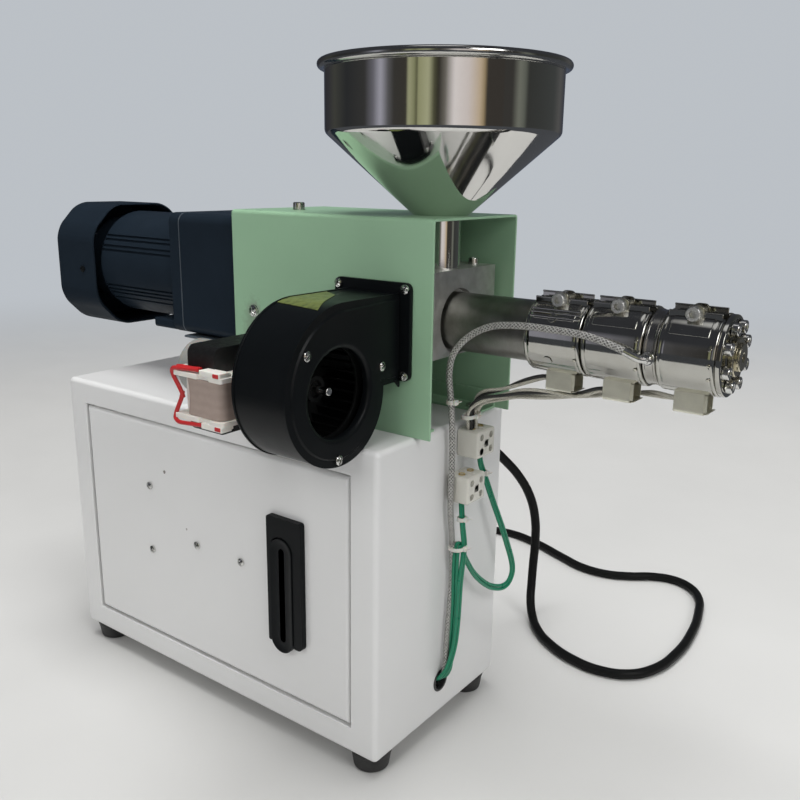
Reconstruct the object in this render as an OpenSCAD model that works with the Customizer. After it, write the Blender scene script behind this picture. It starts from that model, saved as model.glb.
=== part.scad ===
// Bench-top pelletizing extruder, all sizes in millimetres.
// +X runs along the barrel to the die, +Y to the rear, +Z up.
// The origin is the centre of the four feet, on the surface that they stand on.

/* [Cabinet] */
// Length of the cabinet along X
cab_l = 300; // [280:5:360]
// Depth of the cabinet along Y
cab_d = 142; // [130:2:172]
// Height of the cabinet without its feet
cab_h = 205; // [180:5:250]
// Thickness of the cabinet sheet
sheet_t = 1.5; // [1:0.5:2]
// Radius of the cabinet's upright edges
cab_corner = 4; // [2:1:8]
// Width of the front frame beside the door
frame_side = 20; // [15:1:24]
// Height of the front frame above the door
frame_top = 17.5; // [12:0.5:24]
// Height of the front frame below the door
frame_bottom = 18.5; // [12:0.5:24]
// Depth of the fold round the door opening
frame_return = 15; // [13:1:20]
// Width of the rim left round the rear opening
rear_rim = 14; // [10:1:20]
// Overlap of the rear panel on that rim
panel_lap = 8; // [5:1:9]

/* [Feet] */
// Height of a foot
foot_h = 13; // [10:1:18]
// Diameter of a foot under the cabinet
foot_top_d = 27; // [22:1:30]
// Diameter of a foot on the floor
foot_bottom_d = 23; // [18:1:28]
// Distance from a foot's axis to the cabinet's sides
foot_inset = 15; // [14:1:20]
// Diameter of the screw hole through a foot and the cabinet floor
foot_hole_d = 5; // [4:0.5:6]

/* [Door] */
// Gap all round the inset door
door_gap = 1.2; // [0.8:0.2:2]
// Depth of the door's folded edges
door_return = 12; // [10:1:13]
// Bend radius of the door's upright edges
door_corner = 3; // [2:0.5:4]
// Hinge axis behind the edge of the opening
hinge_in = 6; // [5:0.5:8]
// Hinge axis behind the door's face
hinge_back = 4; // [3.5:0.5:5]
// Diameter of the hinge pins
hinge_pin_d = 4; // [3:0.5:5]
// Free length of a hinge pin past the frame's fold
hinge_pin_tail = 2; // [1:0.5:3]
// Diametral play of a turning pin in its hole
pin_play = 0.1; // [0.05:0.05:0.2]
// Diameter of the pan heads on the door
door_screw_d = 5.5; // [4:0.5:7]

/* [Door handle] */
// Width of the escutcheon
handle_w = 29.5; // [28:0.5:34]
// Height of the escutcheon
handle_h = 88; // [80:2:110]
// Thickness of the escutcheon on the door
handle_t = 7; // [6.8:0.2:9]
// Escutcheon axis in from the door's free edge
handle_inset = 50.5; // [40:1:60]
// Height of the escutcheon's middle above the floor
handle_z = 117; // [95:1:135]
// Width of the lift lever
lever_w = 19; // [17:0.5:20]
// Length of the lever below its pivot
lever_l = 77; // [70:1:84]
// Thickness of the lever
lever_t = 6; // [5:0.5:6]
// Wall of the escutcheon on the hinge side of the lever
handle_wall = 2.7; // [2:0.1:4]
// Lever pivot below the top of the escutcheon
pivot_drop = 16.5; // [12:0.5:24]
// Diameter of the lever's pivot pin
lever_pin_d = 2.5; // [2:0.5:3]

/* [Drive cover] */
// Length of the green cover along X
cover_l = 163; // [150:1:170]
// Width of the cover across its side plates
cover_w = 94; // [92:1:104]
// Height of the cover above the cabinet
cover_h = 129; // [120:1:140]
// Thickness of the cover sheet
cover_t = 1.5; // [1:0.5:2.5]
// Bend radius of the cover's top edges
cover_corner = 2.5; // [2:0.5:5]
// Reach of the cover past the cabinet's end
cover_overhang = 10; // [0:1:20]
// Height of the foot angles inside the cover
angle_h = 18; // [12:1:24]
// Width of the foot angles on the cabinet
angle_w = 12; // [8:1:18]

/* [Drive] */
// Drive axis behind the cabinet's middle
drive_y = 13; // [8:1:18]
// Barrel axis above the cabinet
barrel_rise = 65; // [60:1:72]
// Gearbox centre above the barrel axis
gear_offset = 16.5; // [10:0.5:18]
// Side of the square gearbox
gearbox_w = 86; // [80:1:88]
// Length of the gearbox
gearbox_l = 63; // [50:1:80]
// Reach of the gearbox into the cover
gearbox_entry = 4; // [2:1:10]
// Thickness of the motor's end shield
shield_l = 11; // [8:1:15]
// Length of the lug under the end shield
lug_l = 23; // [15:1:30]
// Diameter of the motor body
motor_d = 80; // [70:1:84]
// Bare length of motor body between shield and fan cover
motor_bare = 89; // [70:1:110]
// Width of the fan cover across its flats
fan_cover_w = 92; // [88:1:96]
// Corner cut of the fan cover
fan_cover_cut = 21; // [14:1:26]
// Length of the fan cover
fan_cover_l = 49; // [40:1:60]
// Wall of the fan cover
fan_cover_t = 2; // [1.5:0.5:3]
// Depth of the open rim before the motor fills the cover
fan_cover_recess = 22; // [10:1:30]

/* [Feed block and hopper] */
// Length of the feed block
block_l = 48; // [42:1:60]
// Width of the feed block
block_w = 84; // [70:1:88]
// Height of the feed block
block_h = 53; // [48:1:60]
// Bottom of the feed block below the barrel axis
block_drop = 21; // [20:0.5:24]
// Front of the feed block behind the cover's open end
block_setback = 12; // [6:1:20]
// Hopper axis behind the front of the feed block
hopper_setback = 15.5; // [14:0.5:22]
// Outer diameter of the hopper's rolled rim
rim_d = 150; // [140:2:180]
// Outer diameter of the hopper's upper cylinder
bowl_d = 141.5; // [130:1.5:170]
// Height of the upper cylinder with its rim
bowl_h = 41; // [30:1:60]
// Height of the cone above the cover
cone_h = 47; // [40:1:60]
// Outer diameter of the cone at its foot
cone_foot_d = 34; // [30:1:40]
// Outer diameter of the hopper's neck
neck_d = 25.4; // [22:0.2:28]
// Thickness of the hopper sheet
hopper_t = 1; // [0.8:0.1:1.5]
// Depth of the neck's socket in the feed block
neck_socket = 8; // [5:1:10]
// Diameter of the feed throat
throat_d = 16; // [12:1:18]

/* [Barrel, heaters and die] */
// Outer diameter of the barrel
barrel_d = 36; // [32:1:40]
// Bore of the barrel
barrel_bore = 20; // [16:1:22]
// Depth of the barrel in the feed block
barrel_seat = 36; // [25:1:40]
// Diameter of the clearance ring round the barrel at the block's face
block_relief_d = 41; // [39:1:46]
// Depth of that ring
block_relief_h = 5; // [3:1:8]
// Diameter of the feed screw over its flights
screw_d = 19.4; // [15:0.2:21]
// Diameter of the feed screw's shank
shank_d = 12; // [10:1:14]
// Outer diameter of the heater bands
band_d = 44; // [42:1:50]
// Start of each heater band, measured from the front of the feed block
band_starts = [57, 92, 134];
// Width of each heater band
band_widths = [34, 34, 30];
// Diameter of the barrel's shoulder between the second and third bands
shoulder_d = 41.5; // [40:0.5:43]
// Width of the split at the top of a band
band_split = 7; // [4:1:10]
// Height of the clamp ears above the band
ear_h = 5; // [4:1:8]
// Length of the clamp ears
ear_l = 12; // [8:1:16]
// Diameter of a clamp screw's head
clamp_head_d = 8; // [6:0.5:9]
// Length of a clamp screw's head
clamp_head_l = 5; // [4:0.5:6]
// Diameter of a clamp screw
clamp_screw_d = 4; // [3:0.5:5]
// Side of a heater's terminal box
tbox_w = 16; // [12:1:20]
// Drop of a terminal box below its band
tbox_h = 10; // [7:1:14]
// Wall of a terminal box
tbox_t = 0.8; // [0.6:0.1:1]
// Diameter of the die flange
die_d = 43; // [40:1:44]
// Thickness of the die flange
die_t = 3; // [3:0.5:6]
// Diameter of the die nose
nose_d = 21; // [18:1:24]
// Length of the die nose
nose_l = 5; // [4:0.5:10]
// Diameter of the strand hole in the die
strand_d = 3; // [2:0.5:5]
// Number of die screws
die_screw_n = 8; // [6:1:8]
// Circle of the die screws
die_screw_pcd = 32; // [31:1:33]
// Diameter of a die screw's head
die_head_d = 7; // [6:0.5:8]
// Height of a die screw's head
die_head_h = 3.5; // [3:0.5:5]

/* [Blower] */
// Thickness of the blower along X
blower_t = 45; // [40:1:52]
// Front of the blower behind the cover's open end
blower_setback = 20; // [16:1:24]
// Blower axis in front of the cover's front plate
blower_out = 57; // [54:1:64]
// Blower axis above the cabinet
blower_rise = 37; // [36:1:44]
// Smallest radius of the scroll
scroll_r = 39; // [36:0.5:39]
// Growth of the scroll's radius in each quarter turn
scroll_step = 4; // [3:0.5:5]
// Wall of the scroll
scroll_t = 2; // [1.5:0.5:2.5]
// Diameter of the air inlet
inlet_d = 50; // [44:1:54]
// Width of the outlet flange past the blower's own width
flange_w = 12; // [11:0.5:18]
// Height of the outlet flange
flange_h = 58; // [55:1:62]
// Thickness of the outlet flange
flange_t = 3; // [2:0.5:4]
// Spacing of the flange screws, taken in from the flange's edge
flange_edge = 3.5; // [3:0.5:4]
// Diameter of the blower's screw heads
blower_head_d = 5.5; // [4:0.5:6]
// Circle of the inlet cover's screws
cover_screw_r = 37; // [35:0.5:37]
// Diameter of the impeller
impeller_d = 62; // [56:1:64]
// Number of impeller blades
blade_n = 28; // [20:1:36]
// Diameter of the blower shaft
shaft_d = 5; // [4:0.5:6]

/* [Blower motor] */
// Thickness of the lamination stack
stack_l = 22; // [18:1:26]
// Gap between the blower and the stack
stack_gap = 17; // [14:1:22]
// Height of the stack
stack_h = 50; // [48:1:56]
// Width of the leg that carries the coil
leg_w = 12; // [10:1:14]
// Width of the window for the coil
window_w = 6; // [5.5:0.5:8]
// Bore of the stack
stack_bore = 27; // [24:1:28]
// Height of the bobbin
bobbin_h = 28; // [26:1:30]
// Reach of the bobbin past the stack on each side
bobbin_reach = 7; // [5:1:9]
// Diameter of the motor's cooling fan
cool_fan_d = 46; // [40:1:50]
// Width of the cooling fan
cool_fan_l = 12; // [8:1:16]

/* [Terminals and leads] */
// Size of a porcelain terminal block along X
terminal_x = 16; // [14:1:20]
// Size of a terminal block along Y
terminal_y = 21; // [18:1:24]
// Size of a terminal block along Z
terminal_z = 18; // [15:1:20]
// Diameter of the thermocouple's braided sheath
sheath_d = 4; // [3:0.5:5]
// Diameter of a heater lead in its sleeve
lead_d = 3; // [2.5:0.5:4]
// Diameter of a green wire
wire_d = 2; // [1.5:0.5:2.5]
// Diameter of the lead hole in the cabinet's end
lead_hole_d = 16; // [14:1:18]

/* [Mains lead] */
// Diameter of the mains lead
cord_d = 7.5; // [7.5:0.5:8]
// Height of the gland above the floor
gland_z = 163; // [150:1:180]
// Gland to the right of the cabinet's middle
gland_x = 96; // [90:1:102]
// Length of the tapered strain relief
relief_l = 30; // [20:1:40]
// Radius of the coil at the middle of its turns
coil_r = 41; // [38:1:45]

/* [Hidden] */
$fn = 48;
// Clearance between pieces that are fixed together round a common axis
seat_gap = 0.15;
// Gap between separate pieces that lie side by side
near_gap = 0.3;

floor_z = foot_h;
top_z = foot_h + cab_h;
axis_z = top_z + barrel_rise;
gear_z = axis_z + gear_offset;

door_open_w = cab_l - 2 * frame_side;
door_open_h = cab_h - frame_top - frame_bottom;
door_x0 = -door_open_w / 2;
door_z0 = floor_z + frame_bottom;
front_y = -cab_d / 2;
door_w = door_open_w - 2 * door_gap;
door_h = door_open_h - 2 * door_gap;
door_left = door_x0 + door_gap;
hinge_x = door_x0 + hinge_in;
hinge_y = front_y + hinge_back;

handle_x = door_left + door_w - handle_inset;
handle_top = handle_z + handle_h / 2;
pivot_z = handle_top - pivot_drop;
pivot_y = front_y - handle_t / 2 - 0.5;
lever_x0 = handle_x - handle_w / 2 + handle_wall + near_gap;
lock_d = 20;
lock_l = 18;

cover_x1 = cab_l / 2 + cover_overhang;
cover_x0 = cover_x1 - cover_l;
cover_front = drive_y - cover_w / 2;
cover_rear = drive_y + cover_w / 2;
cover_top = top_z + cover_h;
cover_inner = cover_w - 2 * cover_t;

gearbox_x1 = cover_x0 + gearbox_entry;
gearbox_x0 = gearbox_x1 - gearbox_l;
shield_x0 = gearbox_x0 - shield_l;
motor_x0 = shield_x0 - motor_bare;
fan_cover_x0 = motor_x0 - fan_cover_l;

block_x1 = cover_x1 - block_setback;
block_x0 = block_x1 - block_l;
block_z0 = axis_z - block_drop;
block_z1 = block_z0 + block_h;
housing_plate_l = 24;
housing_d = 40;

hopper_x = block_x1 - hopper_setback;
cone_z0 = cover_top;
bowl_z0 = cone_z0 + cone_h;
rim_z = bowl_z0 + bowl_h;
rim_roll = (rim_d - bowl_d) / 2;

barrel_x0 = block_x1 - barrel_seat;
bands_end = band_starts[2] + band_widths[2];
barrel_x1 = block_x1 + bands_end;
shoulder_x0 = block_x1 + band_starts[1] + band_widths[1] + near_gap;
shoulder_x1 = block_x1 + band_starts[2] - near_gap;
ear_t = 1.5;
clamp_z = axis_z + band_d / 2 - 0.5;
clamp_y = drive_y - 6;
die_x0 = barrel_x1;
nose_x1 = die_x0 + die_t + nose_l;
probe_x = (shoulder_x0 + shoulder_x1) / 2;
probe_z = axis_z - 3;

blower_x1 = cover_x1 - blower_setback;
blower_x0 = blower_x1 - blower_t;
blower_y = cover_front - blower_out;
blower_z = top_z + blower_rise;
half_step = scroll_step / 2;
scroll_top = half_step + scroll_r + 2 * scroll_step;
duct_end = blower_out - flange_t;
flange_full_w = blower_t + flange_w;
flange_x = (blower_x0 + blower_x1) / 2 + 0.5;
flange_z = blower_z + (scroll_top - half_step) / 2 + 3;
inlet_cover_t = 2;
cover_screw_angles = [13, 132, 265];
shaft_x1 = blower_x1 - 8;
impeller_x0 = blower_x0 + scroll_t + 5;
impeller_x1 = blower_x1 - 10;

stack_x1 = blower_x0 - stack_gap;
stack_x0 = stack_x1 - stack_l;
stack_z0 = blower_z - stack_h / 2 - 3;
window_y1 = blower_y - stack_bore / 2 - 2.5;
window_y0 = window_y1 - window_w;
leg_y0 = window_y0 - leg_w;
bobbin_x0 = stack_x0 - bobbin_reach;
bobbin_w = stack_l + 2 * bobbin_reach;
bobbin_y0 = leg_y0 - bobbin_reach + 0.6;
bobbin_y1 = window_y1 - near_gap;
bobbin_z0 = stack_z0 + (stack_h - bobbin_h) / 2 - 3;
bobbin_flange = 3;
cool_fan_x1 = stack_x0 - 14;

end_x = cab_l / 2;
terminal_y0 = 11;
terminal_z_list = [top_z - 22, top_z - 50];
lead_hole_y = 0;
lead_hole_z = floor_z + 25;
rear_y = cab_d / 2;
panel_y = rear_y + sheet_t;
gland_base = 9;
relief_y1 = panel_y + gland_base + relief_l;
coil_x = -66;
coil_y = 190;
coil_turn_w = 2;
cord_r = cord_d / 2;
plug_h = 17;
plug_w = 34;
plug_l = 32;
plug_x = coil_x - 36;
plug_y = coil_y - coil_r - coil_turn_w * cord_r - cord_r - 1.4;

// ---- shared shapes ----

// Cylinder along +X from x = 0
module rod_x(d, l) { rotate([0, 90, 0]) cylinder(d = d, h = l); }

// Cylinder along +Y from y = 0
module rod_y(d, l) { rotate([-90, 0, 0]) cylinder(d = d, h = l); }

// Rectangle centred on the origin with four rounded corners
module rounded_rect(w, h, r) {
    square([w - 2 * r, h], center = true);
    square([w, h - 2 * r], center = true);
    for (sx = [-1, 1], sy = [-1, 1])
        translate([sx * (w / 2 - r), sy * (h / 2 - r)]) circle(r);
}

// Rectangle from the origin whose two corners at y = 0 are rounded
module fold_outline(w, d, r) {
    translate([r, 0]) square([w - 2 * r, d]);
    translate([0, r]) square([w, d - r]);
    for (x = [r, w - r]) translate([x, r]) circle(r);
}

// Places children at the four feet
module at_feet() {
    for (sx = [-1, 1], sy = [-1, 1])
        translate([sx * (cab_l / 2 - foot_inset), sy * (cab_d / 2 - foot_inset), 0]) children();
}

// Extrudes a profile drawn in (Y, Z) along +X
module along_x(l) { rotate([90, 0, 90]) linear_extrude(l) children(); }

// Ring of triangles helper: tube swept along a list of points
function unit(v) = v / norm(v);
function tangent(p, i) = unit(p[min(i + 1, len(p) - 1)] - p[max(i - 1, 0)]);
function seed(t) = unit(cross(t, abs(t[2]) < 0.9 ? [0, 0, 1] : [0, 1, 0]));
function carry(n, t) = unit(n - (n * t) * t);
function normals(p, i = 0, n = undef) =
    let (t = tangent(p, i), m = i == 0 ? seed(t) : carry(n, t))
    i == len(p) - 1 ? [m] : concat([m], normals(p, i + 1, m));
function ring(c, n, b, r, sides) =
    [for (k = [0 : sides - 1]) c + r * (cos(360 * k / sides) * n + sin(360 * k / sides) * b)];

module swept_tube(p, d, sides) {
    n = normals(p);
    last = (len(p) - 1) * sides;
    points = [for (i = [0 : len(p) - 1])
        for (q = ring(p[i], n[i], cross(tangent(p, i), n[i]), d / 2, sides)) q];
    walls = [for (i = [0 : len(p) - 2], k = [0 : sides - 1], half = [0, 1])
        let (a = i * sides + k, b = i * sides + (k + 1) % sides)
        half == 0 ? [a, a + sides, b] : [b, a + sides, b + sides]];
    caps = [for (k = [1 : sides - 2], end = [0, 1])
        end == 0 ? [0, k, k + 1] : [last, last + k + 1, last + k]];
    polyhedron(points, concat(walls, caps));
}

// Points on a smooth curve through p, with n steps between neighbours
function spline_at(a, b, c, d, t) =
    0.5 * ((2 * b) + (c - a) * t + (2 * a - 5 * b + 4 * c - d) * t * t
    + (3 * b - a - 3 * c + d) * t * t * t);
function smooth(p, n) =
    let (last = len(p) - 1)
    concat([for (i = [0 : last - 1], k = [0 : n - 1])
        spline_at(p[max(i - 1, 0)], p[i], p[i + 1], p[min(i + 2, last)], k / n)], [p[last]]);

// ---- cabinet ----

// Four strips of sheet folded in round the door opening, with the holes for the hinge pins
module door_frame() {
    color("white") difference() {
        union() {
            for (x = [door_x0 - sheet_t, door_x0 + door_open_w])
                translate([x, front_y + sheet_t, door_z0 - sheet_t])
                    cube([sheet_t, frame_return - sheet_t, door_open_h + 2 * sheet_t]);
            for (z = [door_z0 - sheet_t, door_z0 + door_open_h])
                translate([door_x0, front_y + sheet_t, z])
                    cube([door_open_w, frame_return - sheet_t, sheet_t]);
        }
        translate([hinge_x, hinge_y, floor_z + sheet_t])
            cylinder(d = hinge_pin_d + pin_play, h = cab_h - 2 * sheet_t);
    }
}

module cabinet_shell() {
    color("white") difference() {
        translate([0, 0, floor_z]) linear_extrude(cab_h)
            rounded_rect(cab_l, cab_d, cab_corner);
        translate([0, 0, floor_z + sheet_t]) linear_extrude(cab_h - 2 * sheet_t)
            rounded_rect(cab_l - 2 * sheet_t, cab_d - 2 * sheet_t, cab_corner - sheet_t);
        translate([door_x0, front_y - 1, door_z0])
            cube([door_open_w, sheet_t + 2, door_open_h]);
        translate([rear_rim - cab_l / 2, rear_y - sheet_t - 1, floor_z + rear_rim])
            cube([cab_l - 2 * rear_rim, sheet_t + 2, cab_h - 2 * rear_rim]);
        at_feet() cylinder(d = foot_hole_d, h = floor_z + sheet_t + 1);
        translate([end_x - sheet_t - 1, lead_hole_y, lead_hole_z])
            rod_x(lead_hole_d, sheet_t + 2);
    }
}

module back_panel() {
    w = cab_l - 2 * rear_rim + 2 * panel_lap;
    h = cab_h - 2 * rear_rim + 2 * panel_lap;
    color("white") difference() {
        translate([0, panel_y, floor_z + cab_h / 2]) rotate([90, 0, 0])
            linear_extrude(sheet_t) rounded_rect(w, h, 3);
        translate([gland_x, rear_y - 1, gland_z]) rod_y(cord_d + 5, sheet_t + 2);
    }
}

module feet() {
    color([0.08, 0.08, 0.08]) at_feet() difference() {
        cylinder(d1 = foot_bottom_d, d2 = foot_top_d, h = foot_h);
        translate([0, 0, -1]) cylinder(d = foot_hole_d, h = foot_h + 2);
    }
}

// ---- door and handle ----

module door() {
    z0 = door_z0 + door_gap;
    pin_l = door_gap + sheet_t + hinge_pin_tail;
    color("white") {
        difference() {
            translate([door_left, front_y, z0]) linear_extrude(door_h)
                fold_outline(door_w, door_return, door_corner);
            translate([door_left + sheet_t, front_y + sheet_t, z0 + sheet_t])
                linear_extrude(door_h - 2 * sheet_t)
                fold_outline(door_w - 2 * sheet_t, door_return, door_corner - sheet_t);
            translate([handle_x, front_y - 1, pivot_z]) rod_y(lock_d + 2 * seat_gap, sheet_t + 2);
        }
        for (z = [z0 - pin_l, z0 + door_h])
            translate([hinge_x, hinge_y, z]) cylinder(d = hinge_pin_d, h = pin_l);
    }
}

// Pan-head screws set out in the door's face as [x, z]
door_screw_spots = [[-58, 151], [-59, 101], [-9, 118], [35, 118]];

module door_screws() {
    color("silver") for (s = door_screw_spots)
        translate([s[0], front_y - 2, s[1]]) rod_y(door_screw_d, 2);
}

module handle_base() {
    recess_w = lever_w + 2 * near_gap;
    recess_x = lever_x0 - near_gap;
    recess_y = pivot_y + lever_t / 2 + near_gap;
    color([0.06, 0.06, 0.06]) {
        difference() {
            translate([handle_x, front_y, handle_z]) rotate([90, 0, 0])
                linear_extrude(handle_t) rounded_rect(handle_w, handle_h, 2);
            translate([recess_x, front_y - handle_t - 1, handle_z - handle_h / 2 - 1])
                cube([recess_w, recess_y - front_y + handle_t + 1,
                      pivot_z + lever_t / 2 + near_gap - handle_z + handle_h / 2 + 1]);
        }
        translate([lever_x0 - near_gap - 1, pivot_y, pivot_z])
            rod_x(lever_pin_d, recess_w + 2);
        translate([handle_x, front_y, pivot_z]) rod_y(lock_d, lock_l);
        translate([handle_x - 6, front_y + lock_l, pivot_z - 8]) cube([12, 2.5, 36]);
    }
}

module handle_lever() {
    color([0.06, 0.06, 0.06]) difference() {
        union() {
            translate([lever_x0, pivot_y, pivot_z]) rod_x(lever_t, lever_w);
            translate([lever_x0 + lever_w / 2, pivot_y + lever_t / 2, pivot_z])
                rotate([90, 0, 0]) linear_extrude(lever_t) {
                    translate([-lever_w / 2, lever_w / 2 - lever_l])
                        square([lever_w, lever_l - lever_w / 2]);
                    translate([0, lever_w / 2 - lever_l]) circle(d = lever_w);
                }
        }
        translate([lever_x0 - 1, pivot_y, pivot_z])
            rod_x(lever_pin_d + pin_play, lever_w + 2);
    }
}

// ---- drive cover ----

module cover_outline(w, h, r) {
    // an inverted U seen along X, standing on y = 0
    difference() {
        translate([w / 2, h]) rotate(180) fold_outline(w, h, r);
        translate([w / 2 - cover_t, h - cover_t]) rotate(180)
            fold_outline(w - 2 * cover_t, h, r - cover_t);
    }
}

// Side screws through both plates into the drive housing
side_screw_x = gearbox_x1 + housing_plate_l / 2 + 3;
side_screw_z = axis_z - 1.5;
top_bolt_x = cover_x0 + 33;
top_bolt_y = drive_y - 17;

module drive_cover() {
    color([0.55, 0.68, 0.55]) difference() {
        translate([cover_x0, drive_y, top_z]) along_x(cover_l)
            cover_outline(cover_w, cover_h, cover_corner);
        translate([hopper_x, drive_y, cover_top - cover_t - 1])
            cylinder(d = neck_d + 2 * near_gap, h = cover_t + 2);
        translate([blower_x0 + scroll_t, cover_front - 1, blower_z - half_step + scroll_t])
            cube([blower_t - scroll_t - inlet_cover_t, cover_t + 2,
                  scroll_top + half_step - 2 * scroll_t]);
        translate([top_bolt_x, top_bolt_y, cover_top - cover_t - 1])
            cylinder(d = 5 + 2 * seat_gap, h = cover_t + 2);
        translate([side_screw_x, cover_front - 1, side_screw_z])
            rod_y(5 + 2 * seat_gap, cover_w + 2);
        translate([gearbox_x0, drive_y, gear_z]) along_x(gearbox_l + near_gap)
            square(gearbox_w + 2 * near_gap, center = true);
    }
}

module cover_angles() {
    l = cover_l - cover_overhang;
    color([0.5, 0.63, 0.5]) for (s = [-1, 1]) {
        y_wall = s > 0 ? drive_y + cover_inner / 2 - cover_t : drive_y - cover_inner / 2;
        y_foot = s > 0 ? drive_y + cover_inner / 2 - angle_w : drive_y - cover_inner / 2;
        translate([cover_x0, y_wall, top_z]) cube([l, cover_t, angle_h]);
        translate([cover_x0, y_foot, top_z]) cube([l, angle_w, cover_t]);
    }
}

module cover_screws() {
    color("silver") {
        translate([top_bolt_x, top_bolt_y, cover_top]) cylinder(d = 8.5, h = 5);
        translate([top_bolt_x, top_bolt_y, cover_top - 8]) cylinder(d = 5, h = 8);
        for (s = [-1, 1]) translate([side_screw_x, drive_y, side_screw_z]) rotate([0, 0, 90 + s * 90]) {
            translate([0, -cover_w / 2 - 3, 0]) rod_y(8, 3);
            translate([0, -cover_w / 2, 0]) rod_y(5, cover_t);
        }
    }
}

// ---- gearmotor ----

module gearbox() {
    color([0.1, 0.12, 0.16]) {
        translate([gearbox_x0, drive_y, gear_z]) along_x(gearbox_l)
            rounded_rect(gearbox_w, gearbox_w, 3);
        translate([gearbox_x0, drive_y - gearbox_w / 2 + 3, gear_z - gearbox_w / 2 - 3])
            cube([gearbox_l, gearbox_w - 6, 3]);
    }
}

module motor_flange() {
    color([0.09, 0.1, 0.13]) {
        translate([shield_x0, drive_y, gear_z]) along_x(shield_l)
            rounded_rect(gearbox_w, gearbox_w, 3);
        difference() {
            translate([shield_x0 - lug_l, drive_y - gearbox_w / 2 + 1, gear_z - gearbox_w / 2 + 1])
                cube([lug_l, 22, 7]);
            translate([shield_x0 - lug_l - 1, drive_y, gear_z]) rod_x(motor_d + 2 * seat_gap, lug_l + 1);
        }
    }
}

// Grooves of the motor housing, as angles from the upper front
module motor_grooves(l) {
    for (a = [-24, -14, -4, 6], s = [35, 145, 215, 325])
        rotate([a + s, 0, 0]) translate([-1, motor_d / 2 - 2, -1]) cube([l + 2, 5, 2]);
}

module motor_body() {
    fill_x = motor_x0 - fan_cover_recess;
    color([0.09, 0.1, 0.13]) {
        translate([motor_x0, drive_y, gear_z]) difference() {
            rod_x(motor_d, motor_bare);
            motor_grooves(motor_bare);
        }
        translate([fill_x, drive_y, gear_z]) rod_x(motor_d - 8, fan_cover_recess);
        translate([fan_cover_x0 + fan_cover_t + near_gap, drive_y, gear_z])
            along_x(fill_x - fan_cover_x0 - fan_cover_t - near_gap)
            octagon(fan_cover_w - 2 * fan_cover_t - 2 * seat_gap, fan_cover_cut - fan_cover_t / 2);
    }
}

// Square of side w with its corners cut by c
module octagon(w, c) {
    h = w / 2;
    polygon([[c - h, -h], [h - c, -h], [h, c - h], [h, h - c],
             [h - c, h], [c - h, h], [-h, h - c], [-h, c - h]]);
}

module fan_cover() {
    wall = fan_cover_t;
    color([0.09, 0.1, 0.13]) difference() {
        translate([fan_cover_x0, drive_y, gear_z]) along_x(fan_cover_l)
            octagon(fan_cover_w, fan_cover_cut);
        translate([fan_cover_x0 + wall, drive_y, gear_z]) along_x(fan_cover_l)
            octagon(fan_cover_w - 2 * wall, fan_cover_cut - wall / 2);
        for (a = [-3 : 3]) translate([fan_cover_x0 - 1, drive_y - 26, gear_z + a * 9 - 2])
            cube([wall + 2, 52, 4]);
    }
}

// ---- drive housing, feed block, hopper ----

module drive_housing() {
    color([0.35, 0.36, 0.37]) {
        translate([gearbox_x1, drive_y - cover_inner / 2, axis_z - 38])
            cube([housing_plate_l, cover_inner, 78]);
        translate([gearbox_x1 + housing_plate_l, drive_y, axis_z])
            rod_x(housing_d, block_x0 - gearbox_x1 - housing_plate_l);
    }
}

module feed_block() {
    color([0.5, 0.5, 0.49]) difference() {
        translate([block_x0, drive_y - block_w / 2, block_z0]) cube([block_l, block_w, block_h]);
        translate([barrel_x0, drive_y, axis_z]) rod_x(barrel_d + 2 * seat_gap, barrel_seat + 1);
        translate([block_x0 - 1, drive_y, axis_z]) rod_x(shank_d + 2 * seat_gap, block_l);
        translate([block_x1 - block_relief_h, drive_y, axis_z])
            rod_x(block_relief_d, block_relief_h + 1);
        translate([hopper_x, drive_y, axis_z]) cylinder(d = throat_d, h = block_h);
        translate([hopper_x, drive_y, block_z1 - neck_socket])
            cylinder(d = neck_d + 2 * seat_gap, h = neck_socket + 1);
    }
}

module hopper_profile(t) {
    // outer line of cone and bowl from the foot up, then back down one sheet inside
    r0 = cone_foot_d / 2;
    r1 = bowl_d / 2;
    polygon([[r0, cone_z0], [r1 - 2, bowl_z0 - 1.5], [r1, bowl_z0 + 2], [r1, rim_z],
             [r1 - t, rim_z], [r1 - t, bowl_z0 + 2.4], [r1 - 2.6, bowl_z0 - 0.6],
             [r0 - t, cone_z0 + 0.9], [neck_d / 2 - t, cone_z0 + 0.9], [neck_d / 2 - t, cone_z0]]);
}

module hopper() {
    color([0.8, 0.79, 0.77]) translate([hopper_x, drive_y, 0]) {
        rotate_extrude($fn = 96) hopper_profile(hopper_t);
        rotate_extrude($fn = 96) translate([bowl_d / 2 + rim_roll / 2 - 0.5, rim_z - rim_roll / 2])
            circle(rim_roll / 2 + 0.5, $fn = 24);
    }
}

module hopper_neck() {
    neck_z0 = block_z1 - neck_socket;
    color([0.8, 0.79, 0.77]) translate([hopper_x, drive_y, neck_z0]) difference() {
        cylinder(d = neck_d, h = cone_z0 - neck_z0);
        translate([0, 0, -1]) cylinder(d = neck_d - 2 * hopper_t, h = cone_z0 - neck_z0 + 2);
    }
}

// ---- barrel and heaters ----

module barrel() {
    color([0.42, 0.42, 0.41]) difference() {
        union() {
            translate([barrel_x0, drive_y, axis_z]) rod_x(barrel_d, barrel_x1 - barrel_x0);
            translate([shoulder_x0, drive_y, axis_z]) rod_x(shoulder_d, shoulder_x1 - shoulder_x0);
        }
        translate([barrel_x0 - 1, drive_y, axis_z]) rod_x(barrel_bore, barrel_x1 - barrel_x0 + 2);
        translate([hopper_x, drive_y, axis_z]) cylinder(d = throat_d, h = barrel_d);
    }
}

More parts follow.
